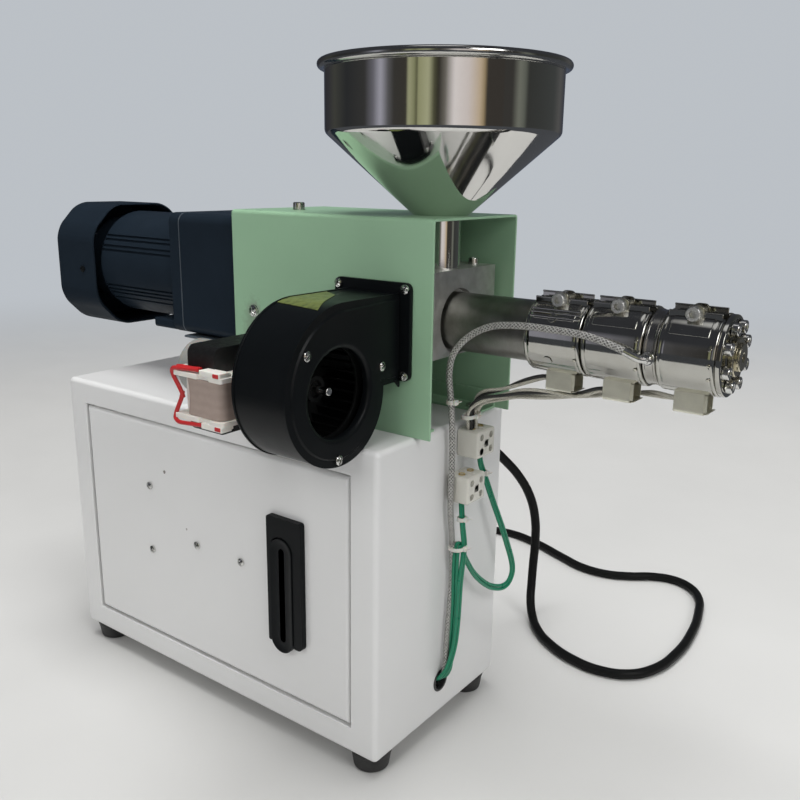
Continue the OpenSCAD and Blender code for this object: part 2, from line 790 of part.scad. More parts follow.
module feed_screw() {
    color([0.55, 0.55, 0.55]) {
        translate([block_x0, drive_y, axis_z]) rod_x(shank_d, barrel_x0 - block_x0 + near_gap);
        translate([barrel_x0 + near_gap, drive_y, axis_z]) rod_x(screw_d, barrel_x1 - barrel_x0 - 6);
    }
}

module heater_band(i) {
    x0 = block_x1 + band_starts[i];
    w = band_widths[i];
    color([0.75, 0.74, 0.7]) difference() {
        union() {
            translate([x0, drive_y, axis_z]) rod_x(band_d, w);
            for (s = [-1, 1]) translate([x0 + (w - ear_l) / 2, clamp_y - ear_t / 2 + s * (band_split + ear_t) / 2,
                                         axis_z])
                cube([ear_l, ear_t, band_d / 2 + ear_h - 1]);
        }
        translate([x0 - 1, drive_y, axis_z]) rod_x(barrel_d + 2 * seat_gap, w + 2);
        translate([x0 - 1, clamp_y - band_split / 2, axis_z]) cube([w + 2, band_split, band_d]);
        translate([x0 + w / 2, drive_y - band_d, clamp_z]) rod_y(clamp_screw_d + 2 * seat_gap, 2 * band_d);
        translate([x0 + w / 2, clamp_y - band_split / 2 - ear_t - clamp_head_l - 1, clamp_z])
            rod_y(clamp_head_d + 2 * near_gap, clamp_head_l + 1);
    }
}

module heater_band_1() { heater_band(0); }
module heater_band_2() { heater_band(1); }
module heater_band_3() { heater_band(2); }

module clamp_screws() {
    front = clamp_y - band_split / 2 - ear_t;
    color("silver") for (i = [0 : 2])
        translate([block_x1 + band_starts[i] + band_widths[i] / 2, front, clamp_z]) {
            translate([0, -clamp_head_l, 0]) rod_y(clamp_head_d, clamp_head_l);
            rod_y(clamp_screw_d, band_split + 2 * ear_t + 3);
        }
}

module heater_boxes() {
    top = axis_z - 16;
    bottom = axis_z - band_d / 2 - tbox_h;
    color([0.72, 0.71, 0.66]) for (i = [0 : 2])
        translate([block_x1 + band_starts[i] + band_widths[i] / 2 - tbox_w / 2, drive_y - tbox_w / 2, bottom])
            difference() {
                cube([tbox_w, tbox_w, top - bottom]);
                translate([-1, tbox_t, tbox_t]) cube([tbox_w + 2, tbox_w - 2 * tbox_t, top]);
                translate([-1, tbox_w / 2, axis_z - bottom])
                    rod_x(band_d + 2 * seat_gap, tbox_w + 2);
            }
}

module die_flange() {
    color([0.7, 0.7, 0.68]) difference() {
        translate([die_x0, drive_y, axis_z]) rod_x(die_d, die_t);
        translate([die_x0 - 1, drive_y, axis_z]) rod_x(nose_d - 4, die_t + 2);
    }
}

module die_nose() {
    color([0.7, 0.69, 0.62]) difference() {
        union() {
            translate([die_x0 + die_t, drive_y, axis_z]) rod_x(nose_d, nose_l - 2);
            translate([die_x0 + die_t, drive_y, axis_z]) rod_x(nose_d - 6, nose_l);
            translate([die_x0, drive_y, axis_z]) rod_x(nose_d - 4 - 2 * seat_gap, die_t);
        }
        translate([die_x0 - 1, drive_y, axis_z]) rod_x(strand_d, die_t + nose_l + 2);
    }
}

module die_screws() {
    color("silver") for (i = [0 : die_screw_n - 1]) {
        a = 360 * (i + 0.5) / die_screw_n;
        translate([die_x0 + die_t, drive_y + die_screw_pcd / 2 * cos(a), axis_z + die_screw_pcd / 2 * sin(a)])
            difference() {
                rod_x(die_head_d, die_head_h);
                translate([die_head_h - 2, 0, 0]) rod_x(3.2, 3);
            }
    }
}

// ---- thermocouple, terminals and leads ----

// Routes are drawn on a cabinet end at x = 150 with its top at z = 218. They move with the
// end, and below the top they stretch between the lead hole and the top.
route_end_x = 150;
route_top_z = 218;
route_low_z = 38;
function on_cabinet(p) = [for (q = p)
    let (share = max(0, min(1, (q[2] - route_low_z) / (route_top_z - route_low_z))))
    [q[0] + end_x - route_end_x, q[1],
     q[2] + share * (top_z - route_top_z) + (1 - share) * (lead_hole_z - route_low_z)]];

module thermocouple() {
    y = drive_y - shoulder_d / 2;
    color([0.7, 0.66, 0.55]) translate([probe_x, y, probe_z]) {
        translate([0, -1.4, 0]) rod_y(7.4, 1.4);
        translate([0, -4, 0]) rod_y(5.5, 4);
    }
}

// Braided sheath: from the ring along the barrel, over and down to the cabinet's end
sheath_route = [[274, -11.2, 280], [262, -13, 285], [246, -14, 289], [228, -14, 290], [206, -14, 290],
                [186, -12, 287], [170, -10, 279], [160, -10, 268], [157, -10, 255], [156.5, -7, 240],
                [156, -4, 224], [155.5, -1.9, 208], [155.4, -1.7, 190], [155.4, -1.7, 164],
                [154.6, 2.5, 140], [154.3, 4, 112], [153.8, 2, 82], [153.8, 0.5, 63], [154, 0, 52],
                [153, 0, 45.4], [150.2, 0, 40.6], [146, 0, 38.8], [139, 0, 38.4]];

module thermocouple_lead() {
    color([0.55, 0.55, 0.55]) swept_tube(smooth(on_cabinet(sheath_route), 2), sheath_d, 8);
}

// Heater leads: one sleeve from each terminal box to the top of the upper terminal block
lead_routes = [
    [[219, 15, 257], [209, 12, 256.5], [198, 9, 252.5], [184, 8, 246], [171, 9, 241.5],
     [163, 12, 235], [159.8, 15.5, 226], [159, 18, 219], [159, 18.5, 214]],
    [[253, 13, 256.5], [243, 13, 254], [230, 13, 248.8], [214, 11, 248.3], [199, 6, 247.2],
     [184, 4.5, 242.4], [171, 5.5, 237.6], [162, 8, 230.5], [158.8, 11.2, 224], [158, 13.8, 218], [158, 14.2, 214]],
    [[293, 13, 256.5], [282, 12, 254.5], [270, 9, 249], [258, 7, 247.5], [244, 4, 247], [228, 1.5, 248.5],
     [212, 1.5, 250], [199, 2, 249.2], [184, 1, 245.8], [171, 2, 240.8], [160.5, 4.5, 234],
     [155.5, 8, 226], [154, 11.8, 219], [154, 13, 214]]];

module heater_leads() {
    color([0.85, 0.83, 0.74]) for (p = lead_routes)
        swept_tube(smooth(on_cabinet(p), 2), lead_d, 8);
}

module terminal_blocks() {
    color([0.9, 0.89, 0.84]) for (i = [0 : 1])
        translate([end_x + near_gap, terminal_y0 - 10 * i, terminal_z_list[i]]) difference() {
            cube([terminal_x, terminal_y, terminal_z]);
            for (y = [terminal_y * 0.28, terminal_y * 0.72]) {
                translate([terminal_x * 0.5, y, -1]) cylinder(d = 4.4, h = terminal_z + 2);
                for (z = [terminal_z * 0.25, terminal_z * 0.75])
                    translate([terminal_x - 4, y, z]) rod_x(4, 5);
            }
        }
}

// Green wires: a loop from the upper block, and one from the lower block
loop_route = [[158, 27, 196], [159, 28, 186], [161, 33, 172], [163, 45, 157], [164, 57, 138],
              [164, 66, 118], [163, 66, 99], [162, 55, 90], [161, 40, 97], [160, 25, 111],
              [159, 16, 121], [158.3, 10, 125], [157.7, 5, 122], [157.5, 2.5, 112], [157.5, 2, 85],
              [156.8, 3, 62], [156.2, 4, 51], [153.5, 4, 44], [149, 4, 40], [144, 3.4, 38.6], [138, 3.2, 38.4]];
short_route = [[158, 7, 168], [159, 7, 160], [159.5, 5, 150], [161, 8, 138], [161.3, 10, 127],
               [161.3, 9, 112], [161.3, 7, 90], [160.5, 5, 70], [159.5, 1, 59], [157, -3, 50],
               [153, -4.2, 43.3], [149, -4, 40], [144, -3.4, 38.6], [138, -3.2, 38.4]];

module green_wires() {
    color([0.1, 0.5, 0.35]) {
        swept_tube(smooth(on_cabinet(loop_route), 2), wire_d, 8);
        swept_tube(smooth(on_cabinet(short_route), 2), wire_d, 8);
    }
}

module lead_grommet() {
    color([0.1, 0.1, 0.1]) translate([end_x, lead_hole_y, lead_hole_z]) difference() {
        union() {
            rod_x(lead_hole_d + 3, 1);
            translate([-sheet_t, 0, 0]) rod_x(lead_hole_d - 2 * seat_gap, sheet_t);
        }
        translate([-sheet_t - 1, 0, 0]) rod_x(lead_hole_d - 2, sheet_t + 4);
    }
}

// ---- blower ----

// Quarter of a disc in the quadrant given by the signs u and v
module quarter(r, u, v) {
    intersection() {
        circle(r);
        translate([u < 0 ? -r : 0, v < 0 ? -r : 0]) square(r);
    }
}

// Scroll seen along X: three quarter turns of growing radius and a straight duct
module scroll_outline(grow, duct) {
    h = half_step;
    translate([-h, -h]) quarter(scroll_r + grow, 1, -1);
    translate([-h, h]) quarter(scroll_r + scroll_step + grow, -1, -1);
    translate([h, h]) quarter(scroll_r + 2 * scroll_step + grow, -1, 1);
    translate([h, -h - grow]) square([duct - h, scroll_top + h + 2 * grow]);
    translate([-h, -h]) square([2 * h, 2 * h]);
}

module at_blower(x) { translate([x, blower_y, blower_z]) children(); }

module blower_scroll() {
    hole_x = flange_full_w / 2 - flange_edge;
    hole_z = flange_h / 2 - flange_edge;
    color([0.05, 0.05, 0.05]) difference() {
        union() {
            at_blower(blower_x0) along_x(blower_t - inlet_cover_t) scroll_outline(0, duct_end);
            translate([flange_x - flange_full_w / 2, cover_front - flange_t, flange_z - flange_h / 2])
                cube([flange_full_w, flange_t, flange_h]);
        }
        at_blower(blower_x0 + scroll_t) along_x(blower_t) {
            scroll_outline(-scroll_t, blower_out + 1);
            translate([-half_step, -half_step]) circle(scroll_r - scroll_t);
        }
        at_blower(blower_x0 - 1) rod_x(shaft_d + 5, scroll_t + 2);
        for (sx = [-1, 1], sz = [-1, 1])
            translate([flange_x + sx * hole_x, cover_front - flange_t - 1, flange_z + sz * hole_z])
                rod_y(4, flange_t + 2);
    }
}

module blower_cover() {
    lip = 3;
    color([0.05, 0.05, 0.05]) at_blower(blower_x1 - inlet_cover_t) {
        difference() {
            along_x(inlet_cover_t) scroll_outline(0.6, duct_end - near_gap);
            translate([-1, 0, 0]) rod_x(inlet_d, inlet_cover_t + 2);
        }
        difference() {
            translate([-lip, 0, 0]) rod_x(inlet_d + 3, lip);
            translate([-lip - 1, 0, 0]) rod_x(inlet_d, lip + 2);
        }
    }
}

module blower_screws() {
    hole_x = flange_full_w / 2 - flange_edge;
    hole_z = flange_h / 2 - flange_edge;
    color("silver") {
        for (a = cover_screw_angles)
            at_blower(blower_x1) translate([0, cover_screw_r * cos(a), cover_screw_r * sin(a)])
                rod_x(blower_head_d, 2.4);
        for (s = [[1, 1], [-1, 1], [1, -1]])
            translate([flange_x + s[0] * hole_x, cover_front - flange_t - 2.4, flange_z + s[1] * hole_z])
                rod_y(blower_head_d, 2.4);
    }
}

module impeller() {
    r = impeller_d / 2;
    blade_w = 5;
    color([0.12, 0.12, 0.13]) {
        at_blower(cool_fan_x1 - cool_fan_l) rod_x(shaft_d, shaft_x1 - cool_fan_x1 + cool_fan_l);
        at_blower(impeller_x0) {
            rod_x(impeller_d, 1.5);
            rod_x(16, 20);
        }
        at_blower(impeller_x1 - 1.5) difference() {
            rod_x(impeller_d, 1.5);
            translate([-1, 0, 0]) rod_x(impeller_d - 2 * blade_w, 4);
        }
        for (i = [0 : blade_n - 1]) at_blower(impeller_x0) rotate([360 * i / blade_n, 0, 0])
            translate([0, r - blade_w, -0.4]) cube([impeller_x1 - impeller_x0, blade_w - 0.4, 0.8]);
    }
}

module cooling_fan() {
    color([0.7, 0.7, 0.68]) at_blower(cool_fan_x1 - cool_fan_l) difference() {
        union() {
            rod_x(14, cool_fan_l);
            translate([cool_fan_l - 1.5, 0, 0]) rod_x(cool_fan_d - 4, 1.5);
            for (i = [0 : 8]) rotate([40 * i, 0, 0]) translate([0, 5, -0.6])
                cube([cool_fan_l, cool_fan_d / 2 - 5, 1.2]);
        }
        translate([-1, 0, 0]) rod_x(shaft_d + 0.02, cool_fan_l + 2);
    }
}

// ---- blower motor ----

module stack_body() {
    translate([stack_x0, leg_y0, stack_z0])
        cube([stack_l, blower_y + stack_bore / 2 + 12 - leg_y0, stack_h]);
}

module blower_stack() {
    post_d = 5;
    color([0.07, 0.07, 0.07]) {
        difference() {
            stack_body();
            translate([stack_x0 - 1, window_y0, bobbin_z0]) cube([stack_l + 2, window_w, bobbin_h]);
            translate([stack_x0 - 1, leg_y0 - 1, bobbin_z0]) cube([stack_l + 2, 1.6, bobbin_h]);
            at_blower(stack_x0 - 1) rod_x(stack_bore, stack_l + 2);
        }
        for (x = [stack_x0 - 2, stack_x1]) difference() {
            translate([x, blower_y - 9, stack_z0 + 2]) cube([2, 18, stack_h - 4]);
            at_blower(x - 1) rod_x(shaft_d + pin_play, 4);
        }
        for (s = [-1, 1]) translate([stack_x1 + 2, blower_y, blower_z - 3 + s * 19])
            rod_x(post_d, stack_gap - 2);
    }
}

module bobbin_hole(grow) {
    translate([stack_x0 - grow, leg_y0 + 0.6 - grow, bobbin_z0 - 1])
        cube([stack_l + 2 * grow, leg_w - 0.6 + 2 * grow, bobbin_h + 2]);
}

module bobbin() {
    color([0.93, 0.92, 0.88]) difference() {
        union() {
            for (z = [bobbin_z0 + seat_gap, bobbin_z0 + bobbin_h - bobbin_flange - seat_gap])
                translate([bobbin_x0, bobbin_y0, z])
                    cube([bobbin_w, bobbin_y1 - bobbin_y0, bobbin_flange]);
            translate([stack_x0 - 1.4, leg_y0 - 0.8, bobbin_z0 + 1])
                cube([stack_l + 2.8, leg_w + 2.2, bobbin_h - 2]);
        }
        bobbin_hole(seat_gap);
    }
}

module coil_winding() {
    z0 = bobbin_z0 + seat_gap + bobbin_flange + near_gap;
    h = bobbin_h - 2 * bobbin_flange - 2 * seat_gap - 2 * near_gap;
    color([0.78, 0.72, 0.64]) difference() {
        translate([bobbin_x0 + 2, bobbin_y0 + 1.5, z0])
            cube([bobbin_w - 4, bobbin_y1 - bobbin_y0 - 1.7, h]);
        translate([stack_x0 - 1.4 - seat_gap, leg_y0 - 0.8 - seat_gap, z0 - 1])
            cube([stack_l + 2.8 + 2 * seat_gap, leg_w + 2.2 + 2 * seat_gap, h + 2]);
    }
}

// ---- mains lead ----

module cord_gland() {
    color([0.05, 0.05, 0.05]) translate([gland_x, panel_y, gland_z]) {
        rod_y(20, 5);
        translate([0, 5, 0]) rod_y(17, gland_base - 5);
        translate([0, gland_base, 0]) rotate([-90, 0, 0])
            cylinder(d1 = 13, d2 = cord_d + 2.5, h = relief_l);
        translate([0, -sheet_t - 3, 0]) rod_y(cord_d + 5 - 2 * seat_gap, sheet_t + 3);
    }
}

// The lead's route from the strain relief to the coil, on the floor from its lowest turn on
lead_z = cord_r;
cord_route = [[96, 111.6, 163], [96, 124, 163], [97.5, 136, 160.5], [100.5, 147, 154.5],
              [104, 157, 145.3], [110.5, 172, 128], [116, 183, 108.5], [119, 189, 87.5],
              [119, 192, 64], [119, 190.5, 45], [120.5, 186.5, 28], [124, 179.5, 15],
              [132, 169, 6.5], [144, 156, 3.9], [161, 143, lead_z], [188, 132, lead_z],
              [212, 131, lead_z],
              [231, 140, lead_z], [243, 158, lead_z], [249, 190, lead_z], [248, 230, lead_z],
              [241, 270, lead_z], [232, 297, lead_z], [219, 312.5, lead_z], [202, 318.5, lead_z],
              [184, 313.5, lead_z], [165, 300, lead_z], [146, 291, lead_z], [122, 290, lead_z],
              [96, 299, lead_z], [60, 313, lead_z], [24, 319, lead_z], [2, 312, lead_z],
              [-9.5, 297, lead_z], [-13.5, 274, lead_z], [-13.5, 240, lead_z],
              [-13.5, 190, lead_z]];

module mains_cord() {
    color([0.04, 0.04, 0.04]) swept_tube(smooth(cord_route, 2), cord_d, 10);
}

module cord_coil() {
    half = coil_turn_w * cord_d / 2;
    color([0.04, 0.04, 0.04]) translate([coil_x, coil_y, 0])
        rotate_extrude($fn = 64) translate([coil_r - half, 0]) square([2 * half, 2 * half]);
}

// Earthed plug lying flat beside the coil, its tail towards the coil
module mains_plug() {
    color([0.05, 0.05, 0.05]) translate([plug_x, plug_y, plug_h / 2]) {
        translate([-plug_l, 0, 0]) along_x(plug_l) rounded_rect(plug_w, plug_h, 4);
        rod_x(12, 14);
        translate([14, 0, 0]) rotate([0, 90, 0]) cylinder(d1 = 12, d2 = cord_d + 2, h = 24);
        for (s = [-1, 1]) translate([-plug_l - 17, s * 6.5 - 0.75, -3]) cube([17, 1.5, 6]);
        translate([-plug_l - 20, -3, -0.75]) cube([20, 6, 1.5]);
    }
}

cabinet_shell();
door_frame();
back_panel();
feet();
door();
door_screws();
handle_base();
handle_lever();
drive_cover();
cover_angles();
cover_screws();
gearbox();
motor_flange();
motor_body();
fan_cover();
drive_housing();
feed_block();
hopper();
hopper_neck();
barrel();
feed_screw();
heater_band_1();
heater_band_2();
heater_band_3();
clamp_screws();
heater_boxes();
die_flange();
die_nose();
die_screws();
thermocouple();
thermocouple_lead();
heater_leads();
terminal_blocks();
green_wires();
lead_grommet();
blower_scroll();
blower_cover();
blower_screws();
impeller();
cooling_fan();
blower_stack();
bobbin();
coil_winding();
cord_gland();
mains_cord();
cord_coil();
mains_plug();
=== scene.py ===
"""Looks of a bench-top pelletizing extruder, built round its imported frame.

All sizes are in millimetres. +X runs along the barrel to the die, +Y to the
rear and +Z up, and the origin is the middle of the four feet on the floor.
"""

import logging
import math
from collections.abc import Callable, Iterable, Sequence
from dataclasses import dataclass
from enum import Enum

import bmesh
import bpy
from mathutils import Matrix, Vector


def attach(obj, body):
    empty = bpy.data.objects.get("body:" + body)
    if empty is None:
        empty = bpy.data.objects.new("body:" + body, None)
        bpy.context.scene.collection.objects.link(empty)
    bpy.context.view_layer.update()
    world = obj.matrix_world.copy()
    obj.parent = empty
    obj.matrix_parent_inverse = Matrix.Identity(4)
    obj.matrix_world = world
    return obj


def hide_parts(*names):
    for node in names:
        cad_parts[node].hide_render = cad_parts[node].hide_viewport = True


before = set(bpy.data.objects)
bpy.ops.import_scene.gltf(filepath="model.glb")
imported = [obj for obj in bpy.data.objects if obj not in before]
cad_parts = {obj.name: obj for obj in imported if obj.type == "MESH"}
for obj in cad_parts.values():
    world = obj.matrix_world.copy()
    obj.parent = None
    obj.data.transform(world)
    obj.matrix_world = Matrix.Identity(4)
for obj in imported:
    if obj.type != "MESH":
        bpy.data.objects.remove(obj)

MM = 0.001
log = logging.getLogger("extruder")

RGB = tuple[float, float, float]
Point = tuple[float, float, float]
Corner = tuple[float, ...]
Edge = bmesh.types.BMEdge
Face = bmesh.types.BMFace
Socket = bpy.types.NodeSocket

LEVEL = 1e-3
"""How near two levels count as one, in millimetres."""
MERGE = 1e-4
"""How near two points are made one, in millimetres."""
CREASE = 38.0
"""Edges that turn by more degrees than this are sharp."""
ACROSS_X = Matrix.Rotation(math.pi / 2, 4, "Y")
"""Turns a flat shape made across Z to lie across X."""


class Facing(Enum):
    """The way that the top of a turned piece looks."""

    RIGHT = (1, 0, 0)
    LEFT = (-1, 0, 0)
    REAR = (0, 1, 0)
    FRONT = (0, -1, 0)
    UP = (0, 0, 1)
    DOWN = (0, 0, -1)


class Axis(Enum):
    """A direction of the machine, as an index of a point."""

    X = 0
    Y = 1
    Z = 2

    @property
    def others(self) -> tuple[int, ...]:
        """The two directions across this one."""
        return tuple(i for i in range(3) if i != self.value)


def place(x: float, y: float, z: float, facing: Facing = Facing.RIGHT, roll: float = 0.0) -> Matrix:
    """Turns a piece made along +X to face another way, and moves it.

    Args:
        x: Place along the barrel.
        y: Place towards the rear.
        z: Height.
        facing: Where the piece's +X end looks.
        roll: Turn about its own axis, in degrees.

    Returns:
        The matrix that does both.
    """
    turn = Vector((1, 0, 0)).rotation_difference(Vector(facing.value)).to_matrix().to_4x4()
    return Matrix.Translation((x, y, z)) @ turn @ tilt(roll)


def at(x: float, y: float, z: float) -> Matrix:
    """Moves a piece without turning it."""
    return Matrix.Translation((x, y, z))


def tilt(angle: float, axis: str = "X") -> Matrix:
    """Turns a piece about an axis, in degrees."""
    return Matrix.Rotation(math.radians(angle), 4, axis)


def spokes(where: Matrix, count: int) -> list[Matrix]:
    """Gives places all the way round the X axis of a place."""
    return [where @ Matrix.Rotation(math.tau * k / count, 4, "X") for k in range(count)]


def points_in(geom: Iterable) -> list:
    """Picks the points out of what an operator gives back."""
    return [g for g in geom if isinstance(g, bmesh.types.BMVert)]


def largest(faces: Iterable[Face]) -> Face:
    """Picks the face with the largest area."""
    return max(faces, key=lambda f: f.calc_area())


def along(points: Sequence[Point], parts: int) -> list[Vector]:
    """Puts a smooth curve through points.

    Args:
        points: The points that the curve passes.
        parts: Steps between two neighbours.

    Returns:
        The points of the curve.
    """
    knots = [Vector(p) for p in points]
    last = len(knots) - 1
    line = []
    for i in range(last):
        a, b, c, d = knots[max(i - 1, 0)], knots[i], knots[i + 1], knots[min(i + 2, last)]
        for k in range(parts):
            t = k / parts
            line.append(
                0.5 * (2 * b + (c - a) * t + (2 * a - 5 * b + 4 * c - d) * t * t
                       + (3 * b - a - 3 * c + d) * t ** 3)
            )
    return line + [knots[last]]


class Solid:
    """One shape in millimetres, made with mesh operators."""

    def __init__(self) -> None:
        """Starts an empty shape."""
        self.bm = bmesh.new()
        self.uv = self.bm.loops.layers.uv.new("UVMap")

    # ---- starting shapes ----

    @classmethod
    def block(cls, low: Point, high: Point, radius: float = 0.0, steps: int = 3, edges: str = "xyz") -> "Solid":
        """Makes a box between two corners.

        Args:
            low: Lowest corner.
            high: Highest corner.
            radius: Rounding of its edges.
            steps: Steps in the rounding.
            edges: The directions of the edges that are rounded.

        Returns:
            The box.
        """
        made = cls()
        size = Vector(high) - Vector(low)
        verts = bmesh.ops.create_cube(made.bm, size=1.0)["verts"]
        bmesh.ops.scale(made.bm, vec=size, verts=verts)
        bmesh.ops.translate(made.bm, vec=(Vector(high) + Vector(low)) / 2, verts=verts)
        if radius:
            wanted = ["xyz".index(e) for e in edges]
            made.round_off(radius, steps, lambda e: made.runs_along(e) in wanted)
        return made

    @classmethod
    def turned(cls, outline: Sequence[tuple[float, float]], steps: int = 40, start: float = 0.0,
               sweep: float = 360.0) -> "Solid":
        """Spins an outline about the X axis, closed into a ring where both its ends stand off the axis.

        Args:
            outline: Points as (place along X, radius).
            steps: Steps in the turn.
            start: Angle of the first outline, from +Z towards -Y, in degrees.
            sweep: Angle of the turn, in degrees.

        Returns:
            The turned shape.
        """
        made = cls()
        bm = made.bm
        verts = [bm.verts.new((x, 0.0, r)) for x, r in outline]
        ring = outline[0][1] > 0 and outline[-1][1] > 0
        pairs = list(zip(verts, verts[1:])) + ([(verts[-1], verts[0])] if ring else [])
        geom = [*verts, *(bm.edges.new(pair) for pair in pairs)]
        full = abs(sweep) >= 360.0
        if ring and not full:
            geom.append(bm.faces.new(verts))
        if start:
            bmesh.ops.rotate(bm, cent=(0, 0, 0), matrix=tilt(start).to_3x3(), verts=verts)
        bmesh.ops.spin(bm, geom=geom, cent=(0, 0, 0), axis=(1, 0, 0), angle=math.radians(sweep),
                       steps=steps, use_merge=full, use_duplicate=False)
        bmesh.ops.remove_doubles(bm, verts=bm.verts, dist=MERGE)
        return made.mend()

    @classmethod
    def plate(cls, corners: Sequence[Corner], depth: float, axis: Axis = Axis.X, steps: int = 6) -> "Solid":
        """Makes a flat plate from the corners of its outline.

        Args:
            corners: Points as (a, b) or (a, b, rounding) in the plane across the axis.
            depth: Thickness along the axis, from zero.
            axis: The direction across the plate.
            steps: Steps in a rounded corner.

        Returns:
            The plate.
        """
        made = cls()
        bm = made.bm
        spots = {Axis.X: lambda a, b: (0, a, b), Axis.Y: lambda a, b: (a, 0, b), Axis.Z: lambda a, b: (a, b, 0)}
        verts = [bm.verts.new(spots[axis](c[0], c[1])) for c in corners]
        bm.faces.new(verts)
        for vert, corner in zip(verts, corners):
            if len(corner) > 2:
                bmesh.ops.bevel(bm, geom=[vert], offset=corner[2], offset_type="OFFSET", segments=steps,
                                profile=0.5, affect="VERTICES", material=-1)
        bmesh.ops.remove_doubles(bm, verts=bm.verts, dist=0.02)
        return made.thicken(depth, axis)

    @classmethod
    def panel(cls, low: Corner, high: Corner, corner: float, depth: float, axis: Axis = Axis.X,
              steps: int = 6) -> "Solid":
        """Makes a flat rectangular plate with four rounded corners.

        Args:
            low: Its lowest corner in the plane across the axis.
            high: Its highest corner in that plane.
            corner: Rounding of its corners.
            depth: Thickness along the axis, from zero.
            axis: The direction across the plate.
            steps: Steps in a rounded corner.

        Returns:
            The plate.
        """
        (a, b), (c, d) = low, high
        return cls.plate([(a, b, corner), (c, b, corner), (c, d, corner), (a, d, corner)], depth, axis, steps)

    @classmethod
    def swept(cls, line: Sequence[Vector], diameter: float, sides: int = 12) -> "Solid":
        """Draws a round tube along a line, with its own UV map.

        Args:
            line: Points of the centre line.
            diameter: Diameter of the tube.
            sides: Sides of the tube.

        Returns:
            The tube. U is the distance in metres and V goes once round.
        """
        made = cls()
        bm = made.bm
        far = bm.verts.layers.float.new("far")
        turn = bm.verts.layers.float.new("turn")
        ways = [(line[min(i + 1, len(line) - 1)] - line[max(i - 1, 0)]).normalized() for i in range(len(line))]
        first_turn = Vector((0, 0, 1)).rotation_difference(ways[0]).to_matrix()
        verts = bmesh.ops.create_circle(bm, cap_ends=False, segments=sides, radius=diameter / 2)["verts"]
        for k, vert in enumerate(verts):
            vert[turn] = k / sides
        bmesh.ops.rotate(bm, cent=(0, 0, 0), matrix=first_turn, verts=verts)
        bmesh.ops.translate(bm, vec=line[0], verts=verts)
        rim = list(bm.edges)
        first = list(verts)
        gone = 0.0
        for i in range(1, len(line)):
            step = line[i] - line[i - 1]
            gone += step.length
            bend = ways[i - 1].rotation_difference(ways[i]).to_matrix()
            rim, verts = made.carry(rim)
            bmesh.ops.translate(bm, vec=-line[i - 1], verts=verts)
            bmesh.ops.rotate(bm, cent=(0, 0, 0), matrix=bend, verts=verts)
            bmesh.ops.translate(bm, vec=line[i], verts=verts)
            for vert in verts:
                vert[far] = gone * MM
        for face in bm.faces:
            wraps = max(v[turn] for v in face.verts) > 0.5 > min(v[turn] for v in face.verts) + 0.25
            for loop in face.loops:
                across = loop.vert[turn] + (1.0 if wraps and loop.vert[turn] < 0.25 else 0.0)
                loop[made.uv].uv = (loop.vert[far], across)
        return made.close(first).close(verts).mend()

    # ---- shaping ----

    def mend(self) -> "Solid":
        """Turns all the faces of a closed shape outwards."""
        bmesh.ops.recalc_face_normals(self.bm, faces=self.bm.faces)
        return self

    def circle(self, radius: float, sides: int, where: Matrix) -> list[Edge]:
        """Draws a circle and gives its edges."""
        ring = bmesh.ops.create_circle(self.bm, cap_ends=False, segments=sides, radius=radius, matrix=where)["verts"]
        return list(dict.fromkeys(e for v in ring for e in v.link_edges))

    @staticmethod
    def runs_along(edge: Edge) -> int:
        """Gives the direction that an edge runs along, or -1."""
        way = edge.verts[1].co - edge.verts[0].co
        return next((i for i in range(3) if abs(way[i]) > 0.999 * way.length), -1)

    def round_off(self, radius: float, steps: int, chosen: Callable[[Edge], bool]) -> "Solid":
        """Rounds the chosen edges.

        Args:
            radius: Radius of the rounding.
            steps: Steps in it.
            chosen: Says which edges are rounded.

        Returns:
            This shape.
        """
        edges = [e for e in self.bm.edges if chosen(e)]
        bmesh.ops.bevel(self.bm, geom=edges, offset=radius, offset_type="OFFSET", segments=steps,
                        profile=0.5, affect="EDGES", material=-1)
        return self

    def thicken(self, depth: float, axis: Axis) -> "Solid":
        """Extrudes all the faces into a closed plate.

        Args:
            depth: Thickness of the plate.
            axis: The direction that the faces are drawn along.

        Returns:
            This shape.
        """
        out = bmesh.ops.extrude_face_region(self.bm, geom=list(self.bm.faces))["geom"]
        step = Vector((0, 0, 0))
        step[axis.value] = depth
        bmesh.ops.translate(self.bm, vec=step, verts=points_in(out))
        return self.mend()

    def carry(self, rim: Iterable[Edge]) -> tuple[list, list]:
        """Extrudes a rim of edges, without moving it.

        Args:
            rim: The edges to extrude.

        Returns:
            The new rim and its points.
        """
        made = bmesh.ops.extrude_edge_only(self.bm, edges=list(rim))["geom"]
        verts = points_in(made)
        edges = [g for g in made if isinstance(g, Edge) and all(v in verts for v in g.verts)]
        return edges, verts

    def draw(self, rim: Iterable[Edge], shift: Point = (0, 0, 0), centre: Point = (0, 0, 0),
             grow: Point = (1, 1, 1)) -> list:
        """Draws a rim out into a new strip.

        Args:
            rim: The edges to draw.
            shift: How far the new rim moves.
            centre: The point that it grows about.
            grow: How much it grows along each axis.

        Returns:
            The new rim.
        """
        edges, verts = self.carry(rim)
        bmesh.ops.scale(self.bm, vec=grow, space=Matrix.Translation(-Vector(centre)), verts=verts)
        bmesh.ops.translate(self.bm, vec=shift, verts=verts)
        return edges

    def close(self, rim: Iterable) -> "Solid":
        """Closes a rim, given by its edges or points, with one flat face."""
        bmesh.ops.contextual_create(self.bm, geom=list(rim))
        return self

    def faces_at(self, axis: Axis, level: float) -> list:
        """Lists the flat faces that lie at a level along an axis."""
        i = axis.value
        return [f for f in self.bm.faces if all(abs(v.co[i] - level) < LEVEL for v in f.verts)]

